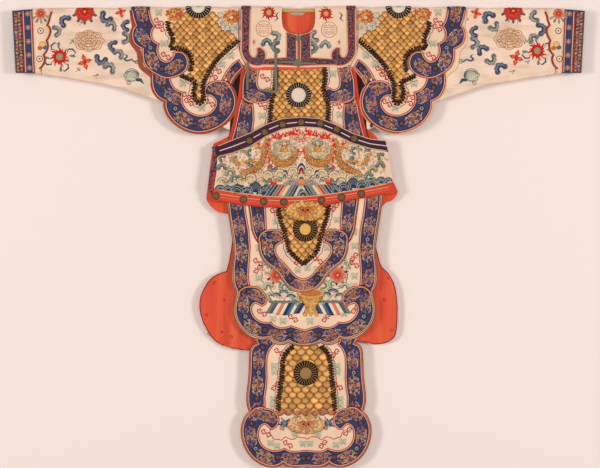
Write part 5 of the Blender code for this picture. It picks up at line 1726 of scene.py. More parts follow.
def border_work(node, place, runs, half=17.0, crossing=(), faded=0):
    """Piping, blossoms and eyelets on one border.  runs holds (middle line, start) rows, crossing holds
    (from, to, bulge) rows where a scroll lies over the border."""
    piping = Stitches(place, LINED)
    pipe(piping, outlines[node], faded)
    thread = Stitches(place, LINED)
    for middle, start in runs:
        sprigs(thread, middle, half, start)
    for a, b, bulge in crossing:
        cross_pipe(thread, a, b, bulge)
    stitched(node, node + "_piping", piping)
    stitched(node, node + "_blossoms", thread)


def scaled(node, place, line, *sizes):
    """Couched-gold scales over a field of one panel."""
    gold = Stitches(place, LINED)
    scales(gold, line, *sizes)
    stitched(node, node + "_scales", gold, "gold_thread")


def rimmed(node, place, distance, width, colour):
    """A cord along the edge of one panel."""
    rim = Stitches(place, LINED)
    rim.ribbon(inset(outlines[node], distance), width, colour, top=0.9, low=0.0, closed=True)
    stitched(node, node + "_rim", rim)


def outward(line, distance):
    """An open line moved to its left by a distance."""
    points = run_of(line)
    out = []
    for k, p in enumerate(points):
        a, b = points[max(0, k - 1)], points[min(len(points) - 1, k + 1)]
        size = hypot(b[0] - a[0], b[1] - a[1]) or 1.0
        out.append((p[0] - (b[1] - a[1]) / size * distance, p[1] + (b[0] - a[0]) / size * distance))
    return out


def dome(work, cx, cz, radius, rise, colour, steps=20):
    """A round stud or button."""
    rings = []
    for share in (1.0, 0.96, 0.8, 0.6, 0.35, 0.1):
        height = rise * sqrt(1 - share * share)
        rings.append([work.dot(*around(cx, cz, radius * share, tau * k / steps), height, colour)
                      for k in range(steps)])
    work.stacked(rings)


# Guards.
GUARD_FRETS = ((159, 22), (160, 28), (166, 56), (217, 70), (213, 76), (187, 96), (189, 102), (210, 103))
GUARD_PALE = ((159, 13), (164, 44), (183, 84), (202, 108), (222, 65), (231, 56))
GUARD_BUTTONS = ((160, 69), (226, 80))
# Green curls under the pearl, and where the lion and the pearl stand.
GUARD_CURLS = ((236, 33), (240, 39), (241, 28), (237, 45), (241, 51))
LION_X, LION_Y = 174.5, 14.5
PEARL_X, PEARL_Y = 231.5, 17.0


def over_to(side, px):
    """The same place on the other half of the garment, read from the left one."""
    return px if side < 0 else MIRROR_AXIS - px


LION_TINTS = (
    srgb(216, 150, 86), srgb(196, 104, 50), srgb(232, 180, 116), srgb(206, 84, 44), srgb(186, 118, 62),
)


def lion(work, cx, cz, size, side):
    """A small crouching lion: a curled orange and gold body, a head turned back and a flame tail."""
    curls(work, cx, cz, size * 1.05, size * 0.86, 46, size * 0.18, LION_TINTS, 1.6)
    x, z = cx + side * size * 0.2, cz + size * 0.16
    curls(work, x, z, size * 0.42, size * 0.36, 12, size * 0.15, (srgb(236, 186, 120), srgb(222, 150, 86)),
          1.4, 2.4)
    for way in (-1, 1):
        work.disc(x + way * size * 0.2, z + size * 0.1, size * 0.1, size * 0.1, EDGE_DARK, steps=8, top=3.6,
                  low=2.0)
        work.ribbon([(cx + way * size * 0.5, cz - size * 0.5), (cx + way * size * 0.66, cz - size * 1.0)],
                    size * 0.3, srgb(206, 130, 66), top=1.8)
    mouth = z - size * 0.24
    work.ribbon([(x - size * 0.2, mouth), (x + size * 0.2, mouth)], 2.4, THREAD_RED, top=3.4)
    flame(work, cx - side * size * 0.7, cz + size * 0.3, size * 0.9, pi / 2 + side * 0.8, THREAD_ORANGE)


def flame_pearl(work, cx, cz, size, side):
    """A pearl wound in orange flame and gold curls."""
    for k in range(10):
        angle = tau * k / 10
        flame(work, *around(cx, cz, size * 0.6, angle, size * 0.5), size * 0.6, angle + side * 0.5,
              (THREAD_ORANGE, THREAD_RED, srgb(216, 120, 66))[k % 3], 3)
    curls(work, cx, cz, size * 0.9, size * 0.8, 40, size * 0.17, LION_TINTS, 1.6, 1.8)
    work.disc(cx, cz - size * 0.1, size * 0.26, size * 0.24, srgb(238, 206, 156), THREAD_ORANGE, top=3.0)
    work.spiral(cx, cz - size * 0.1, size * 0.2, 1.4, 1.6, THREAD_RED)


def guard_rim(side, outline):
    """The part of a guard's edge that has a broad brown rim, its red edge drawn darker with painted shade:
    up to the scales on the left, and only the foot on the right."""
    shown = inset(outline, 8.0)
    if side > 0:
        return [p for p in shown if p[0] < 330 and p[1] < -185]
    inner = [k for k, p in enumerate(shown) if p[0] > -206 and -166 < p[1] < ARC + 166]
    return shown[inner[-1] + 1:] + shown[:inner[0]]


for word, turn, side in SIDES:
    node = "guard_" + word
    place = over_rod(GUARD_LEVEL)
    lion_spot = at(over_to(side, LION_X), LION_Y)
    pearl_spot = at(over_to(side, PEARL_X), PEARL_Y)
    clear = [(*lion_spot, 31.0), (*pearl_spot, 46.0), (*at(over_to(side, 240), 36), 21.0)]
    scaled(node, place, smooth(turn(GUARD_FIELD)), 20.0, 11.4, side * -9.0, clear, 0.3)
    edge = Stitches(place, LINED)
    thread = Stitches(place, LINED)
    for run in GUARD_EDGING:
        edging(edge, tuple(row[:2] for row in turn(run)))
        out = outward(run, -14.0)
        wiggle(thread, [(-p[0], p[1]) for p in out] if side > 0 else out)
    stitched(node, node + "_edging", edge)
    frets(thread, [(over_to(side, px), py) for px, py in GUARD_FRETS])
    pale_marks(thread, [(over_to(side, px), py) for px, py in GUARD_PALE])
    for px, py in GUARD_BUTTONS:
        dome(thread, *at(over_to(side, px), py), 5.0, 4.0, PALE_DISC, 12)
    lion(thread, *lion_spot, 25.0, side)
    for k in range(9):
        angle = 3.0 + 0.45 * k if side < 0 else 0.14 - 0.45 * k
        x, z = around(*pearl_spot, 35.0 + 3.0 * (k % 2), angle)
        thread.arc(x, z, 10.0, 0, 360, 2.2, THREAD_GREEN, steps=12)
        thread.spiral(x, z, 7.0, 1.4, 2.0, (THREAD_SKY, THREAD_GREEN, THREAD_SMOKE)[k % 3], angle, side)
    for px, py in GUARD_CURLS:
        tint = (THREAD_GREEN, THREAD_SKY)[py % 2]
        thread.spiral(*at(over_to(side, px), py), 8.0, 1.5, 2.0, tint, px, side)
    flame_pearl(thread, *pearl_spot, 26.0, side)
    rim = Stitches(place, LINED)
    # The broad brown rim: the guard's red edge, drawn brown with painted shade on it.
    rim.ribbon(guard_rim(side, outlines[node]), 15.0, SHADED_EDGE_BROWN, top=0.9, low=0.1)
    rim.ribbon(inset(outlines[node], 1.4), 2.6, srgb(150, 74, 48) if side < 0 else THREAD_PEACH, top=1.2,
               low=0.0, closed=True)
    stitched(node, node + "_rim", rim)
    stitched(node, node + "_stitches", thread)
    mirror_boss("guard_mirror_" + word, over_rod(GUARD_LOW_LEVEL), side * GUARD_MIRROR_X, ARC / 2, 22.5, 39.0,
                28, PALE_DISC)
    border_work("guard_upper_border_" + word, over_rod(GUARD_TOP_LEVEL), [(turn(GUARD_UPPER_MIDDLE), 16.0)])
    border_work("guard_lower_border_front_" + word, ahead(GUARD_LOW_LEVEL),
                [(turn(GUARD_LOWER_MIDDLE), 4.0), (turn(GUARD_CURL_MIDDLE), 24.0),
                 (turn(GUARD_TIP_MIDDLE), 14.0)], crossing=[crossing_of(GUARD_CROSSING, side > 0)])
    node = "guard_lower_border_back_" + word
    back = Stitches(behind(GUARD_LOW_LEVEL), LINED)
    pipe(back, outlines[node])
    stitched(node, node + "_piping", back)

# Chest: borders, scales, edging and mirror.
CHEST_EDGING_LEFT = (
    (-70, -178), (-72, -219), (-74, -251), (-84, -282), (-88, -314), (-90, -352), (-92, -400),
)
CHEST_EDGING_RIGHT = ((80, -178), (85, -212), (78, -251), (93, -290), (94, -314), (92, -352), (92, -400))
CHEST_FRETS = ((263, 106), (337, 105), (265, 78))
CHEST_PALE = ((262, 116), (340, 115), (333, 74))
# The facing's red strip, in a red darkened by painted shade, and the painted shade beside it, on the right
# half.
FACING_LINE = ((172, -166), (177, -205), (182, -251), (187, -290), (196, -330), (204, -367), (215, -408))
SHADE_LINE = (
    (198, -160), (203, -200), (206, -235), (203, -262), (203, -292), (207, -325), (211, -350), (216, -392),
)
gold, edge, thread, facings = (Stitches(half_over_rod(BODY_LEVEL, -1), SILK) for _ in range(4))
gold.ribbon([(x, -190.0) for x in range(-66, 79, 12)], 12.0, tone(GOLD_DARK, 1.35), top=0.5, low=0.3)
scales(gold, smooth(CHEST_FIELD), 20.0, 12.0)
stitched("front_body", "chest_scales", gold, "gold_thread")
for run, way in ((CHEST_EDGING_LEFT, -1), (CHEST_EDGING_RIGHT, 1)):
    edging(edge, run, 17.0)
    wiggle(thread, outward(run, way * 14.0))
stitched("front_body", "chest_edging", edge)
frets(thread, CHEST_FRETS)
pale_marks(thread, CHEST_PALE)
stitched("front_body", "chest_stitches", thread)
mirror_boss("chest_mirror", ahead(GUARD_LEVEL), *CHEST_MIRROR, 22.5, 38.5, 28, srgb(240, 214, 192))
for way, turn in ((1, same), (-1, mirrored)):
    facings.ribbon(run_of(turn(FACING_LINE)), 13.0, SHADED_FACING_RED, top=1.2)
    # A thin line of painted shade along the strip's outer side, and a broad tapering band of painted shade
    # beside it.
    facings.ribbon(run_of(moved(turn(FACING_LINE), way * 6.5)), 3.0, PAINTED_SHADE, top=1.0)
    facings.ribbon(run_of(turn(SHADE_LINE)), 17.0, PAINTED_SHADE, top=0.8, taper="spindle")
stitched("front_body", "front_body_facings_and_shade", facings)
for word, turn, side in YOKE_SIDES:
    border_work("chest_border_" + word, ahead(GUARD_LEVEL), [(turn(CHEST_MIDDLE), 20.0),
                                                             (turn(CHEST_LOW_MIDDLE), 8.0)],
                crossing=[crossing_of(CHEST_CROSSING, side < 0)])

# Yoke, left then right.  Columns of the clouds: across, down in points, size in millimetres, direction
# in turns.
YOKE_FLOWERS = ((269, 13), (326, 14))
YOKE_ROUNDELS = ((264, 29), (329, 30))
YOKE_CLOUDS = (
    (267, 43, 12, 0.0), (276, 37, 13, 0.2), (276, 47, 13, 0.75), (314, 37, 13, 0.3), (313, 48, 13, 0.75),
    (325, 45, 12, 0.0),
)
YOKE_CURLS = ((279, 16), (339, 16))
YOKE_FLAMES = ((254, 43), (339, 43))
for half, (word, turn, side) in enumerate(YOKE_SIDES):
    thread = Stitches(half_over_rod(GUARD_TOP_LEVEL, -1), LINED)
    spiky(thread, *at(*YOKE_FLOWERS[half]), 24.0, srgb(214, 168, 120))
    lattice(thread, *at(*YOKE_ROUNDELS[half]), 24.5, srgb(196, 134, 84))
    for k, (px, py, size, aim) in enumerate(YOKE_CLOUDS):
        if (px > PHOTO_X) == (side > 0):
            cloud(thread, *at(px, py), size, (srgb(60, 74, 84), srgb(92, 92, 96))[k % 2], side,
                  side * tau * aim, (srgb(140, 146, 140), srgb(176, 170, 156))[k % 2])
    x, z = at(*YOKE_CURLS[half])
    thread.ribbon([(x, z + 12), (x + side * 9, z + 2), (x + side * 4, z - 9), (x + side * 14, z - 19)], 6.0,
                  THREAD_SLATE, taper="spindle")
    x, z = at(*YOKE_FLAMES[half])
    flame(thread, x, z, 11.0, pi / 2, THREAD_RED)
    flame(thread, x, z, 9.0, -pi / 2, THREAD_ORANGE, 3)
    stitched("yoke_" + word, "yoke_" + word + "_stitches", thread)
    cord = Stitches(half_over_rod(YOKE_BORDER_LEVEL, -1), LINED)
    outline = outlines["yoke_border_" + word]
    cord.ribbon(inset(outline, 1.2), 3.0, THREAD_PEACH, top=1.4, low=0.0, closed=True)
    cord.ribbon(inset(outline, 4.0), 2.0, PIPE_RED, top=1.0, low=0.0, closed=True)
    if side > 0:
        cord.ribbon([(2.0, -84), (2.5, -130), (3.0, -178)], 4.4, THREAD_RED, top=1.6)
    stitched("yoke_border_" + word, "yoke_border_" + word + "_cord", cord)

# Sleeves and cuffs, left then right.  Columns: across, down in picture points, size in millimetres, and
# for the clouds their direction in turns.
SLEEVE_PEONIES = ((85, 12), (513, 11))
SLEEVE_FLOWERS = ((60, 57, 30), (537, 51, 29))
SMALL_REDS = (((85, 62, 22), (121, 12, 18)), ((516, 58, 22), (476, 13, 18)))
SPRIGS = (
    ((81, 23), (90, 20), (72, 42), (67, 60), (132, 18), (96, 76), (78, 70)),
    ((518, 22), (508, 20), (525, 42), (527, 62), (466, 20), (512, 72), (497, 42)),
)
SLEEVE_CLOUDS = (
    ((65, 21, 17, 0.15), (57, 31, 15, 0.8), (106, 18, 18, 0.4), (112, 26, 15, 0.9), (126, 26, 15, 0.25),
     (126, 38, 16, 0.75), (113, 46, 15, 0.2), (119, 54, 15, 0.9), (101, 60, 17, 0.45), (110, 68, 17, 0.9)),
    ((488, 17, 18, 0.1), (494, 27, 15, 0.6), (474, 32, 15, 0.25), (474, 43, 16, 0.75), (482, 50, 16, 0.1),
     (491, 60, 16, 0.6), (500, 68, 17, 0.1), (534, 17, 16, 0.3), (541, 29, 17, 0.8), (533, 38, 14, 0.1)),
)
SLEEVE_ROUNDELS = ((89, 41), (509, 39))
SLEEVE_SHELLS = ((132, 76), (471, 76))
SLEEVE_SWIRLS = ((130, 59), (468, 59))
SWIRL = ((1.2, 0.9), (0.5, 0.5), (1.1, 0.0), (0.4, -0.4), (-0.4, -0.1), (-0.9, -0.6), (-1.5, -0.5))
# A tendril about the big flower.  Columns: share of its size, turn.
TENDRIL = ((0.9, 0.0), (1.25, 0.28), (1.6, 0.1), (1.75, -0.2), (1.5, -0.34))
# A navy tassel where the right sleeve meets the guard.
TASSEL = (371.5, 125.0)
# Cords along the cuff's bands.  Columns: across from the middle, width, colour.
CUFF_CORDS = (
    (831, 3.0, PIPE_RED), (834.5, 2.6, THREAD_PEACH), (858, 3.0, THREAD_PEACH), (861, 2.4, PIPE_RED),
    (889, 3.0, THREAD_SLATE),
)
CUFF_FOOT = 197
CUFF_BLOSSOMS = (-11, -54, -98, -141, -181)
FACING_MOTIFS = ((41, 14, "peony"), (41, 31, "ring"), (43, 46, "fruit"), (40, 59, "ring"))


def shell(work, cx, cz, size, side):
    """A conch of pale ribs with a curling teal ribbon."""
    work.disc(cx, cz, size * 0.92, size * 0.72, srgb(206, 198, 170), THREAD_SLATE, steps=18, top=1.2)
    for k in range(5):
        work.arc(cx - side * size * 0.1 * k, cz - size * 0.05 * k, size * (0.9 - 0.18 * k), 10, 190, 2.4,
                 (THREAD_SLATE, THREAD_TEAL)[k % 2], steps=12, top=1.9)
    tail = [(cx + side * size * u, cz + size * v)
            for u, v in ((-0.3, -0.2), (-0.7, -0.5), (-1.1, -0.5), (-1.5, -1.0))]
    work.ribbon(tail, size * 0.5, THREAD_TEAL, top=1.4, taper="spindle")
    for k, tint in enumerate((THREAD_SLATE, THREAD_TEAL, THREAD_NAVY)):
        x = cx + side * size * (0.8 - 0.2 * k)
        z = cz + size * (0.1 - 0.5 * k)
        work.disc(x, z, size * 0.3, size * 0.26, srgb(196, 188, 160), THREAD_SLATE, steps=12, top=1.6)
        work.spiral(x, z, size * 0.28, 1.5, 2.2, tint, k, side)


def tendrils(work, x, z, size):
    """Four grey ribbons with a leaf each about the big flower of a sleeve."""
    for k in range(4):
        angle = 0.5 + k * pi / 2
        far = [around(x, z, size * r, angle + a, size * 0.9 * r) for r, a in TENDRIL]
        work.ribbon(far, size * 0.2, (THREAD_SLATE, THREAD_TEAL)[k % 2], top=1.0, taper="spindle")
        work.petal(*around(x, z, size, angle - 0.35, size * 0.9), angle - 0.6, size * 0.7, size * 0.3,
                   THREAD_SMOKE, THREAD_SLATE)


def small_red(work, x, z, size, side):
    """A small four-winged red figure."""
    for k in range(4):
        angle = 0.5 * side + pi * (0.25 + 0.5 * k)
        wing = around(x, z, size * 0.5, angle, size * 0.62)
        work.disc(*wing, size * 0.36, size * 0.32, BAT_ORANGE, THREAD_RED, steps=10, top=1.2)
        work.spiral(*wing, size * 0.24, 1.3, 1.8, (THREAD_PEACH, THREAD_RED)[k % 2], k, 1)
        work.petal(*wing, angle, size * 0.55, size * 0.3, THREAD_RED, BAT_ORANGE, top=1.5)
    work.disc(x, z, size * 0.3, size * 0.42, THREAD_RED, srgb(170, 30, 24), steps=10, top=1.9)


def sleeve_work(thread, half, side):
    """The embroidery of one sleeve."""
    x, z = at(*SLEEVE_PEONIES[half])
    for k in range(5):
        angle = pi * (1.1 + 0.2 * k)
        thread.petal(*around(x, z, 24.0, angle), angle, 17.0, 9.0, THREAD_SLATE, THREAD_TEAL)
    peony(thread, x, z, 33.0, 0.2, PEONY_RED)
    px, py, size = SLEEVE_FLOWERS[half]
    spiky(thread, *at(px, py), size, THREAD_GREEN, count=15)
    tendrils(thread, *at(px, py), size)
    for px, py, size in SMALL_REDS[half]:
        small_red(thread, *at(px, py), size, side)
    for k, (px, py) in enumerate(SPRIGS[half]):
        x, z = at(px, py)
        for j in range(3):
            tint = (THREAD_SMOKE, THREAD_GREEN, THREAD_PEACH)[(j + k) % 3]
            thread.petal(x, z, k + j * 2.1, 9.0, 4.0, tint, THREAD_SLATE)
        thread.spiral(x + 5, z + 3, 4.0, 1.2, 1.4, THREAD_SLATE, k)
    for k, (px, py, size, aim) in enumerate(SLEEVE_CLOUDS[half]):
        cloud(thread, *at(px, py), size * 0.82, (srgb(54, 56, 86), srgb(84, 84, 92))[k % 2],
              1 if k % 3 else -1, tau * aim, (srgb(122, 122, 132), srgb(168, 160, 148))[k % 2])
    roundel(thread, *at(*SLEEVE_ROUNDELS[half]), 47.0, 32.0, srgb(200, 138, 90), 2.8, 8)
    shell(thread, *at(*SLEEVE_SHELLS[half]), 25.0, side)
    x, z = at(*SLEEVE_SWIRLS[half])
    swirl = run_of([(x + side * u * 15, z + v * 15) for u, v in SWIRL])
    thread.ribbon(swirl, 6.0, THREAD_SLATE, top=1.3, taper="spindle")
    thread.spiral(x - side * 22, z - 9, 8.0, 1.4, 2.4, THREAD_TEAL, 0.4, side)
    if side > 0:
        x, z = at(*TASSEL)
        thread.disc(x, z, 5.5, 8.5, THREAD_NAVY, INDIGO_DEEP, steps=12, top=3.0)
        thread.spiral(x, z, 4.0, 1.3, 1.6, THREAD_GREY, 0.6)
        thread.ribbon([(x, z + 7), (x + 2, z + 14), (x + 6, z + 19)], 3.0, THREAD_NAVY, top=2.0, taper=True)


def facing_work(face, side):
    """The embroidery of one cuff's facing."""
    rim = [(side * -p.x, p.y) for p in facing_line]
    face.ribbon([(p[0] + side * 3.4, p[1]) for p in rim], 6.4, srgb(146, 50, 44), top=1.0)
    face.ribbon([(p[0] + side * 7.4, p[1]) for p in rim], 1.8, THREAD_PEACH, top=0.8)
    for px, py, kind in FACING_MOTIFS:
        x, z = at(over_to(side, px) + (2.0 if side > 0 else 0.0), py)
        if kind == "peony":
            for k in range(5):
                angle = -2.6 + 0.55 * k
                face.petal(*around(x, z, 15, angle), angle, 17.0, 8.0, (THREAD_GREEN, THREAD_SMOKE)[k % 2],
                           THREAD_SLATE)
            peony(face, x, z, 19.0)
        elif kind == "ring":
            face.disc(x, z, 10.0, 10.0, CREAM_PALE, GOLD_LIGHT, top=1.2)
            face.arc(x, z, 8.6, 0, 360, 3.2, GOLD_DARK, steps=18, top=1.6)
            face.disc(x, z, 4.0, 4.0, THREAD_SLATE, steps=8, top=1.6)
        else:
            face.disc(x, z + 5, 11.0, 10.0, GOLD_LIGHT, THREAD_ORANGE, top=1.6)
            face.disc(x + 8, z - 5, 8.0, 7.0, THREAD_BLUE, THREAD_NAVY, top=1.4)
            face.disc(x - 8, z - 7, 8.0, 7.0, THREAD_ORANGE, THREAD_RED, top=1.4)


for half, (word, turn, side) in enumerate(SIDES):
    thread, trim, flowers, scrolls = (Stitches(tube_spot(BODY_LEVEL), SILK) for _ in range(4))
    sleeve_work(thread, half, side)
    stitched("sleeve_" + word, "sleeve_" + word + "_stitches", thread)
    for spot, width, colour in CUFF_CORDS:
        heights = [6.0 - 201.0 * k / 23 for k in range(24)]
        points = [(side * (spot - between(SLANT, -spot) * ((z + CUFF_FOOT) / CUFF_FOOT)), z) for z in heights]
        trim.ribbon(points, width, colour, top=1.2, low=0.0)
    stitched("cuff_inner_band_" + word, "cuff_" + word + "_piping", trim)
    for k, z in enumerate(CUFF_BLOSSOMS):
        x = side * (853 + z * 0.035)
        flowers.flower(x, z, 9.5, 8, srgb(206, 150, 130), srgb(120, 78, 92), srgb(226, 190, 160), 0.4 * k)
        flowers.arc(x, z, 6.0, 0, 360, 1.4, srgb(96, 66, 96), steps=12, top=1.6)
    stitched("cuff_inner_band_" + word, "cuff_" + word + "_blossoms", flowers)
    for k in range(17):
        z = -12.0 - 11.0 * k
        x = side * (876 - between(SLANT, -876) * (z + CUFF_FOOT) / CUFF_FOOT)
        for way in (-1, 1):
            tint = (TAN, THREAD_PEACH, THREAD_PINK)[(k + way) % 3]
            scrolls.spiral(x + way * 5.5, z + way * 2.0, 4.2, 1.3, 1.7, tint, k, way)
    stitched("cuff_outer_band_" + word, "cuff_" + word + "_scrolls", scrolls)
    face = Stitches(tube_spot(FACING_LEVEL), LINED)
    facing_work(face, side)
    stitched("cuff_facing_" + word, "cuff_facing_" + word + "_stitches", face)

# Apron, flap and fish-tail borders.
# Columns: border, level, outer edge, middle line, curl's middle line, shift across and up, half width of
# its blossoms, crossing.
LOWER_BORDERS = (
    ("apron_border", APRON_BORDER_LEVEL, APRON_BORDER_OUTER, APRON_MIDDLE, APRON_CURL_MIDDLE, CENTRE_APRON,
     TOP_APRON, 17.0, APRON_CROSSING),
    ("flap_border", FLAP_BORDER_LEVEL, FLAP_BORDER_OUTER, FLAP_MIDDLE, FLAP_CURL_MIDDLE, CENTRE_FLAP,
     TOP_APRON, 16.0, FLAP_CROSSING),
    ("tail_border", TAIL_BORDER_LEVEL, TAIL_BORDER_OUTER, TAIL_MIDDLE, TAIL_CURL_MIDDLE, CENTRE_TAIL, 0.0,
     17.0, TAIL_CROSSING),
)
for node, level, outer, middle, curl, dx, dz, half, crossing in LOWER_BORDERS:
    runs = []
    for turn in (same, mirrored):
        runs.append((moved(turn(middle), dx, dz), 12.0))
        runs.append((moved(turn(curl), dx, dz), 22.0))
    faded = 0 if node == "tail_border" else 2 * len(smooth(outer, closed=False)) - 1
    both = [crossing_of(crossing, flip, dx, dz) for flip in (False, True)]
    border_work(node, folded_ahead(level), runs, half, both, faded)


# Belt.  The two halves are drawn from the left one and turned about the pearl.
def belt_at(side, px, py):
    """A place on the belt, turned to the other half."""
    return at(px if side < 0 else BELT_AXIS - px, py)


SCALE_GOLDS = (srgb(246, 204, 130), srgb(228, 170, 96), srgb(204, 132, 64))
SCALE_RIMS = (srgb(150, 92, 50), srgb(176, 108, 58), THREAD_ORANGE)


def beast(work, line, wide, side, shape):
    """A dragon's body: a thick tapering cord with rows of scales, a dark outline and a spiny back."""
    points = run_of(line)
    work.ribbon(points, wide * 1.2, srgb(112, 62, 34), top=1.6, taper=shape)
    work.ribbon(points, wide, srgb(222, 160, 88), top=2.2, low=1.0, taper=shape)
    spots = walk(points, 4.4)
    for k, (x, z, turn) in enumerate(spots):
        gone = (k + 0.5) / len(spots)
        slim = max(0.2, sin(pi * (gone if shape == "spindle" else 0.12 + 0.88 * (1 - gone))))
        half = wide / 2 * slim
        for j, row in enumerate((-0.72, -0.25, 0.22, 0.66)):
            px, pz = turned(x, z, turn, 2.2 if j % 2 else 0.0, row * half)
            work.disc(px, pz, 1.9, 1.9, pick(SCALE_GOLDS, k * 4 + j), steps=6, top=3.0, low=1.6)
            work.arc(px, pz, max(1.6, half * 0.3), degrees(turn) - 85, degrees(turn) + 85, 1.3,
                     SCALE_RIMS[(k + j) % 3], steps=4, top=3.2, low=1.8)
        if k % 2:
            spine = turned(x, z, turn, 0.0, -half * 1.1 * side)
            work.petal(*spine, turn - side * 1.2, wide * 0.3 * slim + 2.4, wide * 0.2, THREAD_GREEN,
                       THREAD_SLATE)
            belly = turned(x, z, turn, 0.0, half * 1.1 * 0.95 * side)
            work.petal(*belly, turn, wide * 0.3 * slim + 1.0, wide * 0.16, THREAD_RED, THREAD_ORANGE)


def claw(work, x, z, size, turn):
    """A foot of four hooked toes."""
    work.disc(x, z, size * 0.42, size * 0.36, GOLD_LIGHT, THREAD_ORANGE, top=2.2)
    for k in range(4):
        angle = turn + (k - 1.5) * 0.5
        tip = around(x, z, size, angle + 0.25)
        toe = [(x, z), around(x, z, size * 0.6, angle), tip]
        work.ribbon(toe, size * 0.24, GOLD_LIGHT if k % 2 else TAN, top=1.8, taper=True)
        work.disc(*tip, size * 0.1, size * 0.1, EDGE_DARK, steps=6)


def dragon_head(work, x, z, size):
    """A horned head seen from the front, with a red mouth and long whiskers."""
    def run(*steps):
        return [(x + size * u, z + size * v) for u, v in steps]

    for way in (-1, 1):
        for lift in (0.3, 0.8):
            work.ribbon(run((way * 0.2, 0.5), (way * (0.2 + lift), 1.0), (way * (0.1 + lift), 1.6)),
                        size * 0.24, THREAD_SLATE, top=3.2, taper=True)
        work.ribbon(run((way * 0.4, -0.4), (way * 1.2, -0.5), (way * 1.5, 0.2)), 3.0, THREAD_RED, top=3.0,
                    taper=True)
    work.disc(x, z, size * 0.86, size * 0.74, srgb(226, 170, 100), srgb(150, 80, 40), steps=18, top=3.4)
    curls(work, x, z, size * 0.7, size * 0.6, 18, size * 0.2, (srgb(236, 190, 122), srgb(206, 130, 66)),
          1.5, 3.8)
    for way in (-1, 1):
        work.disc(x + way * size * 0.34, z + size * 0.16, size * 0.19, size * 0.16, GOLD_LIGHT, EDGE_DARK,
                  steps=10, top=5.0)
        work.disc(x + way * size * 0.3, z + size * 0.14, size * 0.12, size * 0.12, EDGE_DARK, steps=8,
                  top=5.6)
    for lift, wide in ((-0.42, 0.34), (-0.08, 0.2)):
        work.ribbon(run((-wide, lift + 0.08), (0, lift), (wide, lift + 0.08)), size * 0.13,
                    srgb(150, 74, 44), top=5.0)


# The crescent of the body below the head, and the arched tail.  Columns: across, down in points.
DRAGON_BODY = (
    (269.5, 147), (270.5, 154), (275, 160.5), (283, 164), (291, 161.5), (295.5, 154.5), (296, 148),
)
DRAGON_TAIL = (
    (267, 138.5), (264.5, 145), (264, 152), (263, 159), (260, 165.5), (253, 169.5), (245, 172.5), (240, 176),
)
DRAGON_LEGS = (
    ((264, 152), (260, 147.5), (256.5, 148.5)), ((259, 165), (251, 161), (244, 163)),
    ((241, 165), (236, 162), (233.5, 157)),
)
# Columns: line, width, form.
DRAGON_PARTS = ((DRAGON_TAIL, 18.0, "tail"), (DRAGON_BODY, 23.0, "spindle"),
                *((leg, 9.0, "spindle") for leg in DRAGON_LEGS))
# Flames about each dragon.  Columns: across, down, size, direction in turns.
DRAGON_FLAMES = (
    (269.5, 145, 18, 0.60), (269, 151, 18, 0.66), (270.5, 157, 17, 0.70), (275, 161.5, 15, 0.78),
    (281, 138.5, 17, 0.34), (275.5, 138, 17, 0.38), (292.5, 135.5, 15, 0.2), (297, 151, 13, 0.95),
    (295, 156, 12, 0.9), (268, 166.5, 13, 0.9), (253, 172.5, 19, 0.14), (247, 173.5, 13, 0.2),
    (258.5, 145, 12, 0.2), (285, 137, 13, 0.2), (270, 141, 14, 0.45),
)
CLAWS = (
    (256.5, 147, 18, 0.42), (243, 163.5, 22, 0.55), (291, 140, 12, 0.1), (249, 172, 15, 0.6),
    (233, 156, 14, 0.4),
)
# Wave crests along the foot of the belt.  Columns: across, down, radius, squash, lean, way of the curl.
CRESTS_LEFT = (
    (220, 189.5, 15, 0.9, 0.1, 0), (228, 190.5, 17, 0.9, 0.1, 0), (246.5, 193, 18, 1.0, 0.2, 0),
    (237, 193.5, 27, 1.1, 0.0, 0), (255.5, 192.5, 22, 1.5, 0.1, 1), (263, 194.5, 19, 1.5, 0.5, 0),
    (250, 196, 12, 0.9, 0.0, 0),
)
CRESTS_RIGHT = (
    (388, 181.5, 12, 1.0, 0.0, 0), (381, 183.5, 17, 1.1, 0.0, 0), (372.5, 185.5, 20, 1.1, -0.1, 0),
    (344.5, 191, 22, 1.3, -0.2, 0), (362.5, 188.5, 25, 1.1, -0.1, 0), (353.5, 188, 21, 1.6, -0.1, -1),
    (336.5, 193, 19, 1.5, -0.5, 0),
)
# Clouds and nested sweeps about each dragon.  Columns: across, down, size.
BELT_CLOUDS = (
    (222, 167, 12), (230, 172, 13), (234, 178, 12), (222, 158, 10), (234, 159, 10), (249, 153, 10),
    (250, 163, 11), (243, 150, 9), (235, 151, 8), (273, 168.5, 11), (226, 182, 10), (267, 181, 10),
    (257, 169, 9), (245, 178, 10),
)
BELT_SWEEPS = (
    (280, 175, 17), (287, 180, 15), (276, 181, 14), (293, 172, 14), (268, 176, 15), (284, 168, 12),
    (261, 183, 15), (241, 182, 14), (251, 179, 16), (222, 182, 13), (260, 174, 12), (291, 166, 11),
    (233, 184, 14), (245, 174, 11), (296, 177, 11),
)


def splash(work, x, z, size):
    """A fan of red spray standing up from the water."""
    for k in range(7):
        angle = pi * (0.12 + 0.76 * k / 6)
        reach = size * (1.25 if k % 2 else 0.9)
        spray = [(x + size * 0.4 * cos(angle), z - 2), (x + size * 0.6 * cos(angle), z + reach * 0.5),
                 (x + size * cos(angle), z + reach * (0.5 + 0.5 * sin(angle)))]
        work.ribbon(spray, size * 0.24, THREAD_RED, top=2.2, taper=True)
    foot = [(x - size * 0.5, z + 1), (x, z - size * 0.25), (x + size * 0.5, z + 1)]
    work.ribbon(foot, size * 0.3, THREAD_RED, top=1.6)


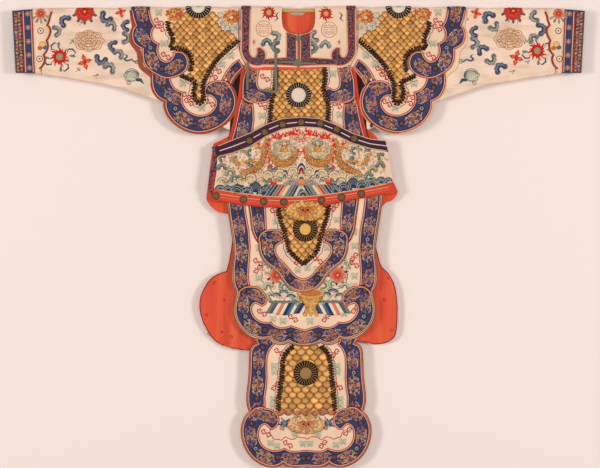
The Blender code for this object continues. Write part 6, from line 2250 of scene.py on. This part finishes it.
def layered(work, cx, cz, wide, tall, shades):
    """A standing rock of nested lobes, the widest at the back."""
    for k, shade in enumerate(shades):
        share = 1 - k / len(shades)
        points = [(cx - wide * share, cz), (cx + wide * share, cz)]
        points += [(cx + wide * share * cos(pi * j / 9), cz + tall * share * sin(pi * j / 9) ** 0.8)
                   for j in range(1, 9)]
        work.patch(points, shade, tone(shade, 0.7), top=0.9 + 0.5 * k, low=0.1 + 0.5 * k)


ROCK = (srgb(40, 44, 76), srgb(210, 196, 170), THREAD_SLATE, THREAD_SKY)
ROCK_WARM = (THREAD_NAVY, srgb(226, 180, 150), THREAD_NAVY, THREAD_RED, srgb(250, 170, 140))
MOUND = (THREAD_SMOKE, srgb(190, 182, 150), THREAD_SLATE, srgb(150, 150, 122), THREAD_NAVY, THREAD_SMOKE)
# Slanting bands of standing water.  Columns: foot and head across in points, colour.
BANDS = (
    (262.5, 270.5, THREAD_SLATE), (266.3, 274.2, THREAD_TEAL), (269.8, 277.7, THREAD_NAVY),
    (273.2, 281.0, THREAD_SMOKE), (276.6, 284.3, THREAD_RED), (279.6, 287.2, srgb(232, 150, 120)),
    (282.2, 289.6, srgb(226, 212, 182)), (285.6, 292.6, THREAD_SMOKE), (289.0, 295.8, THREAD_SLATE),
    (292.2, 298.6, THREAD_NAVY), (295.0, 300.8, srgb(216, 206, 176)),
)
FILL_TINTS = (
    srgb(190, 130, 76), THREAD_SMOKE, srgb(156, 142, 102), srgb(196, 116, 70), srgb(216, 164, 116),
    THREAD_SLATE, srgb(136, 106, 76), srgb(160, 146, 110), srgb(232, 208, 160),
)
MANE_TINTS = (
    srgb(190, 192, 156), srgb(236, 212, 172), srgb(222, 170, 126), srgb(160, 166, 138), srgb(240, 224, 192),
    srgb(206, 132, 88),
)
SWEEP_TINTS = (srgb(110, 100, 80), CREAM_PALE, THREAD_SMOKE, srgb(196, 136, 88))
BELT_CLOUD_TINTS = (
    (srgb(84, 84, 72), srgb(150, 148, 126)), (srgb(110, 100, 76), srgb(196, 180, 140)),
    (THREAD_SLATE, srgb(150, 152, 140)),
)
CREST_TINTS = (THREAD_SLATE, THREAD_TEAL, THREAD_NAVY, THREAD_SLATE, THREAD_NAVY)
# Rocks beside the middle.  Columns: across, down, half width and height in millimetres.
SIDE_ROCKS = ((284.8, 178.5, 11, 29), (279.5, 182, 10, 18), (290.5, 182.5, 10, 17))
FOAM = ((293, 182.5), (296.5, 184.5), (289, 184.5))
MIDDLE_ROCKS = ((301.4, 183.0, 20.0, 42.0, ROCK), (301.4, 173.5, 14.0, 32.0, ROCK_WARM))
BELT_PEARL = (301, 137)
# Flames along the crown of the belt.  Columns: across, down, direction in turns.
CROWN_FLAMES = (
    (294.5, 133, 0.42), (308, 133, 0.08), (290.5, 134.5, 0.4), (312, 134.5, 0.1), (322, 137.5, 0.1),
    (281, 139, 0.4), (297, 131.5, 0.3), (305.5, 131.5, 0.2),
)


def mane(work, x, z, side):
    """Pale ragged strands inside the ring of a dragon's body."""
    work.disc(x, z, 33.0, 29.0, srgb(230, 200, 158), srgb(214, 178, 132), steps=26, top=0.9)
    for k in range(56):
        angle = GOLDEN_ANGLE * k
        inner, outer = 8.0 + 7.0 * (k % 4), 24.0 + 5.2 * ((k * 7) % 5)
        sway = side * (0.75 if k % 3 else -0.9)
        strand = [around(x, z, r, angle + bend, 0.88 * r)
                  for r, bend in ((inner, 0.0), ((inner + outer) / 2, 0.3 * sway), (outer, sway))]
        work.ribbon(strand, 4.6, srgb(168, 134, 98), top=1.5, low=0.7, taper="spindle")
        work.ribbon(strand, 3.2, pick(MANE_TINTS, k), top=2.0, low=1.2, taper="spindle")


def belt_half(thread, side):
    """The dragon, clouds, sea and rocks of one half of the belt."""
    def aimed(aim):
        return tau * aim if side < 0 else pi - tau * aim

    for px, py, size in BELT_SWEEPS:
        x, z = belt_at(side, px, py)
        thread.disc(x, z, size * 1.1, size * 0.9, srgb(226, 192, 148), CREAM, top=0.8)
        for k, shade in enumerate(SWEEP_TINTS):
            thread.arc(x, z, size * (1.08 - 0.24 * k), 5, 175, 2.0, shade, steps=8, top=1.4, low=0.5)
    for k, (px, py, size) in enumerate(BELT_CLOUDS):
        lift = 2.0 if side > 0 and px < 260 else 0.0
        tint, fill = BELT_CLOUD_TINTS[k % 3]
        cloud(thread, *belt_at(side, px, py - lift), size * 0.85, tint, side, 0.3 * k, fill)
    mane(thread, *belt_at(side, 284, 150.5), side)
    for px, py, size, aim in DRAGON_FLAMES:
        flame(thread, *belt_at(side, px, py), size * 1.55, aimed(aim), THREAD_RED, 4)
    for line, wide, shape in DRAGON_PARTS:
        beast(thread, [belt_at(side, px, py) for px, py in line], wide, side, shape)
    for px, py, size, aim in CLAWS:
        claw(thread, *belt_at(side, px, py), size, aimed(aim))
    dragon_head(thread, *belt_at(side, 284.5, 149.5), 16.0)
    for px, py, radius, squash, lean, curl in CRESTS_LEFT if side < 0 else CRESTS_RIGHT:
        billow(thread, *at(px, py), radius * 1.2, CREST_TINTS, squash, lean, curl)
    for px, py, wide, tall in SIDE_ROCKS:
        layered(thread, *belt_at(side, px, py), wide, tall, ROCK)
    for px, py in FOAM:
        cloud(thread, *belt_at(side, px, py), 11.0, srgb(150, 130, 120), side)
    splash(thread, *belt_at(side, 273.7, 184.0 if side < 0 else 183.0), 18.0)
    for foot, head, shade in BANDS:
        low = 197.0 - abs(foot - 300) * 0.03 - (0.9 if side > 0 else 0.0)
        points = [belt_at(side, foot - 1.6, low), belt_at(side, foot + 1.6, low),
                  belt_at(side, head + 1.4, 184.6), belt_at(side, head - 1.4, 184.6)]
        thread.patch(points, shade, tone(shade, 0.55), top=1.9, low=0.6)
        thread.ribbon([points[0], points[3]], 1.5, WAVE_LIGHT, top=2.2, low=0.9)


thread = Stitches(on_belt(0.0), BELT_WALL)
field = [(x, between(BELT_BAND_EDGE, x) - 6) for x in range(-240, 281, 20)]
field += [(x, between(BELT_HEM_TOP_EDGE, x) + 34) for x in range(280, -241, -20)]
speckle(thread, field, 9.0, 4.4, FILL_TINTS, 1.7)
for side in (-1, 1):
    belt_half(thread, side)
for px, py, wide, tall, shades in MIDDLE_ROCKS:
    layered(thread, *at(px, py), wide, tall, shades)
thread.disc(*at(301.4, 182.0), 13.0, 10.0, srgb(226, 142, 90), THREAD_ORANGE, top=4.4, low=2.0)
layered(thread, *at(303.0, 196.0), 31.0, 35.0, MOUND)
x, z = at(*BELT_PEARL)
for k in range(8):
    aim = tau * k / 8 + 0.3
    flame(thread, *around(x, z, 9, aim, 8), 13.0, aim, THREAD_RED, 3)
thread.disc(x, z, 9.0, 9.0, srgb(206, 186, 150), THREAD_RED, top=3.0)
thread.spiral(x, z, 6.0, 1.6, 2.2, EDGE_DARK)
for px, py, aim in CROWN_FLAMES:
    x, z = at(px, py)
    flame(thread, x, z - 3, 20.0, tau * aim, THREAD_RED, 3)
stitched("belt", "belt_stitches", thread)

# The bands' ends, a stud's clearance from their lines, and the stud that closes the belt.
BAND_ENDS = (-248, 284)
STUD_CLEAR = 13
END_STUD = (212, 196)
BELT_SLIT = ((215, 172), (213.5, 180), (212.3, 190))


def stud(work, x, z):
    """A domed stud with a dark rim and an engraved flower."""
    work.disc(x, z, 12.0, 12.0, STUD_DARK, steps=22, top=1.0)
    dome(work, x, z, 9.8, 3.4, srgb(140, 112, 78))
    work.arc(x, z, 6.4, 0, 360, 1.4, srgb(84, 62, 44), steps=18, top=4.0, low=2.2)
    for k in range(6):
        work.petal(x, z, k * pi / 3, 5.4, 2.4, srgb(96, 72, 50), top=4.6)


def dashes(work, rows, studs, share, colour, width):
    """A light line between the studs, so far down from the first edge to the second."""
    first, last = BAND_ENDS
    xs = sorted(x for x, z in studs)
    for a, b in zip([first] + xs, xs + [last]):
        low, high = a + (STUD_CLEAR if a > first else 0), b - (STUD_CLEAR if b < last else 0)
        points = []
        for k in range(9):
            x = low + (high - low) * k / 8
            points.append((x, between(rows[0], x) * (1 - share) + between(rows[1], x) * share))
        work.ribbon(points, width, colour, top=0.9)


# Columns: band, its two edges, its studs, its dashed lines as share, colour and width, its lower cord.
BANDS_OF_BELT = (
    ("belt_top_band", (BELT_TOP_EDGE, BELT_BAND_EDGE), BELT_TOP_STUDS, ((0.5, CREAM_PALE, 2.6),),
     THREAD_PEACH),
    ("belt_hem_band", (BELT_HEM_TOP_EDGE, BELT_HEM_EDGE), BELT_HEM_STUDS,
     ((0.38, THREAD_PEACH, 1.9), (0.62, srgb(226, 120, 84), 1.9)), srgb(176, 48, 36)),
)
for node, rows, studs, middles, foot_colour in BANDS_OF_BELT:
    metal, cord = (Stitches(on_belt(BELT_EXTRA), LINED) for _ in range(2))
    for x, z in studs:
        stud(metal, x, z)
    if node == "belt_hem_band":
        x, z = at(*END_STUD)
        stud(metal, x + 14, z)
    stitched(node, node + "_studs", metal, "gold_thread")
    for share, colour, width in middles:
        dashes(cord, rows, studs, share, colour, width)
    for table, drop, colour in ((rows[0], -1.8, THREAD_PEACH), (rows[1], 2.0, foot_colour)):
        cord.ribbon([(x, between(table, x) + drop) for x in range(-252, 284, 8)], 2.6, colour, top=0.9)
    stitched(node, node + "_cords", cord)
slit = Stitches(on_belt(0.0), LINED)
slit.ribbon([at(px, py) for px, py in BELT_SLIT], 5.0, THREAD_RED, top=0.8)
stitched("belt_end_strip", "belt_end_slit", slit)


# Apron and flap.
# Half widths of the bowl at each depth, as parts of its size.
BOWL = (
    (1.0, 0.0), (0.97, -0.24), (0.88, -0.46), (0.72, -0.68), (0.52, -0.88), (0.42, -1.08), (0.42, -1.3),
    (0.52, -1.5), (0.62, -1.64),
)
BOWL_TINTS = (srgb(226, 176, 100), srgb(206, 148, 76), srgb(240, 200, 130), srgb(186, 124, 62))


def vessel(work, cx, cz, size):
    """A gold bowl with a wide mouth on three curled feet, couched in tight curls."""
    side = [(cx + wide * size, cz + tall * size) for wide, tall in BOWL]
    other = [(cx - wide * size, cz + tall * size) for wide, tall in BOWL]
    for a, b, c, d in zip(side, side[1:], other[1:], other):
        work.patch([a, b, c, d], srgb(212, 156, 84), srgb(176, 114, 56), top=2.0, low=1.4)
    for row in range(10):
        depth = -1.58 * (row + 0.3) / 10
        reach = next(wide for wide, tall in BOWL if tall <= depth)
        count = max(4, round(reach * 15))
        for k in range(count):
            x = cx + size * reach * 0.92 * ((k + 0.5 * (row % 2) + 0.3) / count * 2 - 1)
            tint = pick(BOWL_TINTS, row * 17 + k)
            work.disc(x, cz + size * depth, 3.0, 2.8, tint, tone(tint, 0.7), steps=8, top=2.8, low=1.6)
            work.spiral(x, cz + size * depth, 2.6, 1.2, 1.2, tone(tint, 0.5), k, 1)
    for line in (side, other):
        work.ribbon(line, 2.0, GOLD_DARK, top=2.8)
    for k in (-1, 0, 1):
        work.spiral(cx + k * size * 0.5, cz - size * 1.74, size * 0.2, 1.4, 3.4, srgb(200, 138, 70), k)
    work.disc(cx, cz, size * 1.04, size * 0.34, srgb(196, 112, 60), srgb(222, 168, 98), steps=26, top=3.0,
              low=2.2)
    curls(work, cx, cz, size * 0.84, size * 0.24, 26, 3.0, (srgb(206, 108, 60), srgb(226, 150, 90)), 1.2, 3.4)
    work.arc(cx, cz, size * 1.04, 0, 360, 3.2, srgb(234, 186, 114), steps=30, squash=0.33, top=4.2, low=2.0)
    work.arc(cx, cz, size * 1.12, 180, 360, 1.6, GOLD_DARK, steps=20, squash=0.34, top=3.0, low=2.0)


APRON_FRETS = ((258, 262, 1), (258, 269, -1), (354, 257, -1), (354, 264, 1), (262, 312.5, 1), (293, 318, 1),
               (326, 317.5, -1), (355, 309, -1))
APRON_PALE = ((258.5, 232), (259, 248), (259, 278), (260, 288), (354, 232), (354.5, 246), (354.5, 276),
              (353.5, 286), (273, 319), (310, 321), (344, 313.5), (283, 321))
# Columns: across, down in picture points, size in millimetres.
PICTURE = ((263, 268), (268, 262), (276, 262), (286, 276), (300, 289), (310, 291), (322, 289), (334, 276),
           (342, 262), (349, 262), (350, 270), (345, 284), (338, 292), (337, 301), (276, 301), (275, 292),
           (267, 284))
APRON_NAVY = ((276, 296, 15), (284, 293, 15), (291, 297, 14), (326, 295, 15), (333, 292, 16), (340, 296, 14))
APRON_GREEN = ((284, 286, 14), (291, 289, 12), (280, 283, 11), (268, 286, 12), (325, 286, 14), (332, 283, 12),
               (345, 286, 12), (270, 296, 11), (346, 294, 11), (296, 301, 11), (320, 301, 11), (266, 265, 9),
               (349, 265, 9), (270, 262, 9), (344, 261, 9))
WALL_LINE = (
    (146, 40), (144, -10), (138, -60), (128, -110), (127, -150), (132, -200), (134, -240), (130, -262),
    (106, -280), (96, -308),
)
APRON_PEONIES = ((277, 275), (337.5, 275))
APRON_VESSEL = (310.8, 293)
# Standing water at the foot of the apron: colours from the outside in, and where each side starts.
WATER_TINTS = (
    THREAD_SMOKE, THREAD_SLATE, PALE_DISC, srgb(240, 120, 90), PALE_DISC, THREAD_NAVY, THREAD_BLUE,
    PALE_DISC, THREAD_SLATE, THREAD_NAVY,
)
# Columns: side, foot of the first band, foot of the first foam.
WATER_SIDES = ((-1, 267.0, 271), (1, 349.5, 346))
FLAP_FRETS = ((275, 212, 1), (335, 207, -1), (298, 260.5, -1), (318, 260, 1))
FLAP_PALE = (
    (276, 222), (337, 220), (277, 232), (333, 231), (307.5, 268), (289, 250), (327, 248), (298, 270),
    (317, 269),
)
apron_place = folded_ahead(BODY_LEVEL)
thread = Stitches(apron_place, LINED)
for turn in (same, mirrored):
    wiggle(thread, moved(turn(WALL_LINE), CENTRE_APRON, TOP_APRON), swing=1.2)
speckle(thread, [at(px, py) for px, py in PICTURE], 9.5, 3.8, (THREAD_GREEN, TAN, THREAD_SMOKE, THREAD_PEACH))
for px, py, size in APRON_GREEN:
    cloud(thread, *at(px, py), size * 0.9, srgb(112, 116, 92), 1 if px < 306 else -1, 0.4 * px,
          srgb(204, 200, 166))
for k, (px, py) in enumerate(APRON_PEONIES):
    x, z = at(px, py)
    for j in range(9):
        angle = j * 0.7 + k
        thread.petal(*around(x, z, 20, angle, 18), angle + 0.3, 16.0, 8.0,
                     (THREAD_SLATE, THREAD_GREEN, THREAD_NAVY)[j % 3], THREAD_SMOKE)
    peony(thread, x, z, 29.0, 0.3 * k)
for px, py, size in APRON_NAVY:
    x, z = at(px, py)
    billow(thread, x, z, size * 1.15, (THREAD_NAVY, THREAD_SLATE, THREAD_NAVY, THREAD_SKY), 0.7)
    thread.spiral(x + size, z - 4, size * 0.36, 1.3, 2.2, THREAD_SMOKE, 0.5)
for side, first, foam in WATER_SIDES:
    for k, shade in enumerate(WATER_TINTS):
        foot = first - side * 3.4 * k
        head = foot - side * 6.5
        low = 314.0 - abs(k - 5) * 0.15 + (1.2 if 2 < k < 8 else 0.0)
        points = [at(foot - 1.7, low), at(foot + 1.7, low), at(head + 1.7, 302.5), at(head - 1.7, 302.5)]
        thread.patch(points, shade, tone(shade, 0.62), top=1.4)
    for k in range(7):
        x, z = at(foam - side * 4.5 * k, 301.5)
        thread.disc(x, z, 8.0, 5.0, THREAD_SMOKE, THREAD_SLATE, top=1.6)
        thread.spiral(x, z, 4.4, 1.2, 1.6, THREAD_SLATE, k)
frets(thread, APRON_FRETS)
pale_marks(thread, APRON_PALE)
vessel(thread, *at(*APRON_VESSEL), 39.0)
stitched("apron", "apron_stitches", thread)
rimmed("apron", apron_place, 1.4, 3.6, PANEL_RIM)

flap_place = folded_ahead(APRON_BORDER_LEVEL)
scaled("flap", flap_place, shifted(smooth(whole(FLAP_FIELD_HALF)), CENTRE_FLAP, TOP_APRON), 23.0, 13.0, 21.0)
thread = Stitches(flap_place, LINED)
half = tuple(row[:2] for row in FLAP_FIELD_HALF)
for turn, way in ((same, 1), (mirrored, -1)):
    run = moved(turn(half), CENTRE_FLAP, TOP_APRON)
    edging(thread, run)
    wiggle(thread, outward(run, way * 15.0), swing=1.2)
frets(thread, FLAP_FRETS)
pale_marks(thread, FLAP_PALE, 11.0)
stitched("flap", "flap_stitches", thread)
rimmed("flap", flap_place, 1.4, 3.0, PANEL_RIM)
mirror_boss("flap_mirror", flap_mirror_place, *FLAP_MIRROR, 17.5, 37.5, 26, srgb(236, 182, 96), GOLD_LIGHT)

# Fish-tail.
TAIL_EDGING_LEFT = (
    (293.5, 346), (286, 353), (282.5, 363), (281.7, 377), (280.3, 387), (278.7, 400), (278, 411),
)
TAIL_EDGING_RIGHT = ((321.5, 346), (328.5, 355), (331, 367), (332, 380), (333.5, 393), (335, 411))
TAIL_WAVY = (
    (269.5, 427.5), (270.5, 433), (273, 438), (282, 439.5), (286, 436.5), (291, 439.5), (299, 436.5),
    (306.5, 438.5), (314, 436), (322, 439.5), (327, 436), (332, 438.5), (340, 436.5), (343.5, 428),
)
TAIL_FLOWERS = ((284.5, 423.5), (328, 423))
TAIL_FRETS = (
    (279, 352, 1), (275.5, 386, -1), (335, 353, -1), (338, 386, 1), (266, 433, 1), (347.5, 431, -1),
    (288, 444, 1), (323, 444, -1),
)
TAIL_PALE = (
    (274, 366), (274.5, 372), (273.5, 399), (273, 405), (337, 366), (337.5, 372), (340, 399), (340.5, 405),
    (270.5, 443), (277, 446), (303, 443.5), (310, 443.5), (336, 445), (343, 441.5), (295, 434), (318, 434),
    (306, 414.5), (296, 415), (317, 415),
)
# The garland across the tail lies over the scales by this much.
GARLAND_LIFT = 3.2
tail_place = folded_ahead(TAIL_LEVEL)
scaled("tail", tail_place, shifted(smooth(whole(TAIL_FIELD_HALF)), CENTRE_TAIL), 27.0, 17.0, 22.0, (), 0.0)
thread = Stitches(tail_place, LINED)
for way, line in ((1, TAIL_EDGING_LEFT), (-1, TAIL_EDGING_RIGHT)):
    run = [at(px, py) for px, py in line]
    edging(thread, run, 17.0)
    wiggle(thread, outward(run, way * -13.0), swing=1.0)
wiggle(thread, [at(px, py) for px, py in TAIL_WAVY], THREAD_RED, 2.8, 1.4)
garland = Stitches(tail_place, LINED, GARLAND_LIFT)
for k in range(25):
    x, z = at(279 + 2.3 * k, 411.4 + (0.8 if k % 2 else 0.0))
    garland.flower(x, z, 6.0, 5, (srgb(176, 60, 60), TAN, THREAD_PINK)[k % 3], srgb(120, 50, 50),
                   THREAD_PEACH, k)
stitched("tail", "tail_garland", garland)
for px, py in TAIL_FLOWERS:
    x, z = at(px, py)
    thread.flower(x, z, 15.0, 7, THREAD_BLUE, THREAD_NAVY, THREAD_PINK)
    thread.flower(x - 9, z - 14, 8.0, 5, THREAD_PINK, THREAD_ORANGE, THREAD_PEACH)
    for k in range(5):
        thread.petal(x, z, 0.8 + k * 1.25, 24.0, 6.0, (THREAD_TEAL, THREAD_GREEN)[k % 2], THREAD_SLATE)
frets(thread, TAIL_FRETS)
pale_marks(thread, TAIL_PALE, 11.0)
stitched("tail", "tail_stitches", thread)
rimmed("tail", tail_place, 1.2, 3.0, RIM)
mirror_boss("tail_mirror", tail_mirror_place, *TAIL_MIRROR, 17.5, 37.5, 26, srgb(160, 124, 78), GOLD_LIGHT)


# Masks: an animal face in a curled mane.
def animal_face(name, cx, cz, level, wide, tall, relief, mane, skin):
    """A mask's face: curls from a gold mane to a warm skin, two eyes, a muzzle and a mouth."""
    def place(x, z, t):
        return x + cx, -(mask_front(x, z, level, wide, tall, relief) + t), z + cz

    work = Stitches(place, 0.0)
    a, b = wide / 2, tall / 2
    count = 190
    for k in range(count):
        share = 0.96 * sqrt((k + 0.5) / count)
        angle = GOLDEN_ANGLE * k
        x, z = around(0.0, 0.0, a * share, angle, b * share)
        warm = max(0.0, 1.0 - share * 1.5) * (1.2 if z > -b * 0.1 else 0.7)
        shade = tuple(c + (s - c) * min(1.0, warm) for c, s in zip(pick(mane, k), skin))
        size = b * (0.15 if share > 0.5 else 0.12)
        work.disc(x, z, size, size * 0.9, shade, tone(shade, 0.66), steps=8, top=1.4)
        work.spiral(x, z, size * 0.9, 1.3, 1.5, tone(shade, (0.42, 1.3, 0.55)[k % 3]), angle,
                    1 if k % 2 else -1)
    work.arc(0, -b * 0.30, a * 0.26, 20, 160, 2.4, tone(skin, 0.5), steps=12, squash=0.4, top=2.6)
    work.arc(0, -b * 0.62, a * 0.34, 30, 150, 2.0, tone(skin, 0.55), steps=12, squash=0.3, top=2.4)
    work.disc(0, -b * 0.12, a * 0.09, b * 0.1, tone(skin, 0.8), tone(skin, 0.55), steps=10, top=3.0)
    for side in (-1, 1):
        work.disc(side * a * 0.125, b * 0.1, a * 0.05, b * 0.1, srgb(30, 14, 10), steps=10, top=4.4, low=2.0)
        work.arc(side * a * 0.16, b * 0.14, a * 0.14, 20, 160, 2.6, tone(skin, 0.45), steps=8, top=3.0)
    work.made(name)


MANE_GOLD = (srgb(220, 158, 88), srgb(198, 134, 68), srgb(238, 188, 118))
MANE_PALE = (srgb(222, 168, 116), srgb(202, 142, 90), srgb(236, 198, 152))
# Whiskers under the belt's mask.  Columns: across, down, side.
WHISKERS = ((294.5, 202.5, -1), (315.5, 202.5, 1))
animal_face("belt_mask_face", *BELT_MASK, MANE_GOLD, srgb(206, 104, 54))
animal_face("tail_mask_face", *TAIL_MASK, MANE_PALE, srgb(214, 120, 66))
whisk = Stitches(on_belt(BELT_EXTRA), LINED)
for px, py, side in WHISKERS:
    x, z = at(px, py)
    whisk.ribbon([(x, z), (x - side * 9, z - 1.5), (x - side * 17, z - 9)], 4.6, CREAM_PALE, top=2.2)
stitched("belt_hem_band", "belt_whiskers", whisk)

# Back skirt: dark piping round the lobes and small specks.  Columns: across, down, radius.
SPECKS = (
    (206, 315, 6.5), (214, 283, 6.5), (231, 337, 6.5), (385, 300, 6.5), (392, 330, 6.5), (209, 334, 6.5),
    (224, 300, 4.5), (388, 278, 4.5), (222, 332, 4.5),
)
skirt = Stitches(lambda x, z, t: (x, skirt_place(x, z, 0.0)[1] - t, z), 0.0)
skirt.ribbon(inset(outlines["back_skirt"], 1.6), 3.0, srgb(120, 40, 34), top=1.1, closed=True)
for px, py, radius in SPECKS:
    skirt.spiral(*at(px, py), radius, 1.2, 1.7, srgb(140, 34, 30), px)
stitched("back_skirt", "back_skirt_piping", skirt)

# Camera, lights, wall and world, in metres.
CAMERA_SPOT = (0.0047, -5.0, -0.704)
CAMERA_LENS = 95.2
SENSOR = 36.0
LIGHT_AIM = Vector((0.0, 0.0, -0.7))
LIGHT_COLOUR = (1.0, 0.965, 0.93)
# Columns: name, place, power, size.
LIGHTS = (
    ("light_left", (-3.9, -4.3, -0.4), 129.0, 1.2), ("light_right", (3.9, -4.3, -0.4), 129.0, 1.2),
    ("light_front", (0.0, -5.5, -0.2), 54.0, 3.0),
)
WALL_DEPTH = 0.034
WALL_CORNERS = ((-4, -3), (4, -3), (4, 2), (-4, 2))


def placed(name, data, spot, turn):
    """An object in the scene at a place, turned."""
    obj = bpy.data.objects.new(name, data)
    obj.location = spot
    obj.rotation_euler = turn
    bpy.context.scene.collection.objects.link(obj)
    return obj


camera_data = bpy.data.cameras.new("camera")
camera_data.lens = CAMERA_LENS
camera_data.sensor_width = SENSOR
bpy.context.scene.camera = placed("camera", camera_data, CAMERA_SPOT, (pi / 2, 0.0, 0.0))
for name, spot, power, size in LIGHTS:
    lamp = bpy.data.lights.new(name, "AREA")
    lamp.energy = power
    lamp.size = size
    lamp.color = LIGHT_COLOUR
    placed(name, lamp, spot, (LIGHT_AIM - Vector(spot)).to_track_quat("-Z", "Y").to_euler())

world = bpy.data.worlds.new("world")
world.use_nodes = True
world.node_tree.nodes["Background"].inputs["Color"].default_value = (1.0, 0.96, 0.92, 1)
world.node_tree.nodes["Background"].inputs["Strength"].default_value = 0.32
bpy.context.scene.world = world

wall_mesh = bpy.data.meshes.new("wall")
wall_mesh.from_pydata([(x, WALL_DEPTH, z) for x, z in WALL_CORNERS], [], [(0, 1, 2, 3)])
wall_look = bpy.data.materials.new("wall_paper")
wall_look.use_nodes = True
wall_look.node_tree.nodes["Principled BSDF"].inputs["Base Color"].default_value = (*srgb(242, 227, 221), 1)
wall_look.node_tree.nodes["Principled BSDF"].inputs["Roughness"].default_value = 1.0
wall_mesh.materials.append(wall_look)
placed("wall", wall_mesh, (0.0, 0.0, 0.0), (0.0, 0.0, 0.0))

bpy.context.scene.view_settings.view_transform = "Standard"
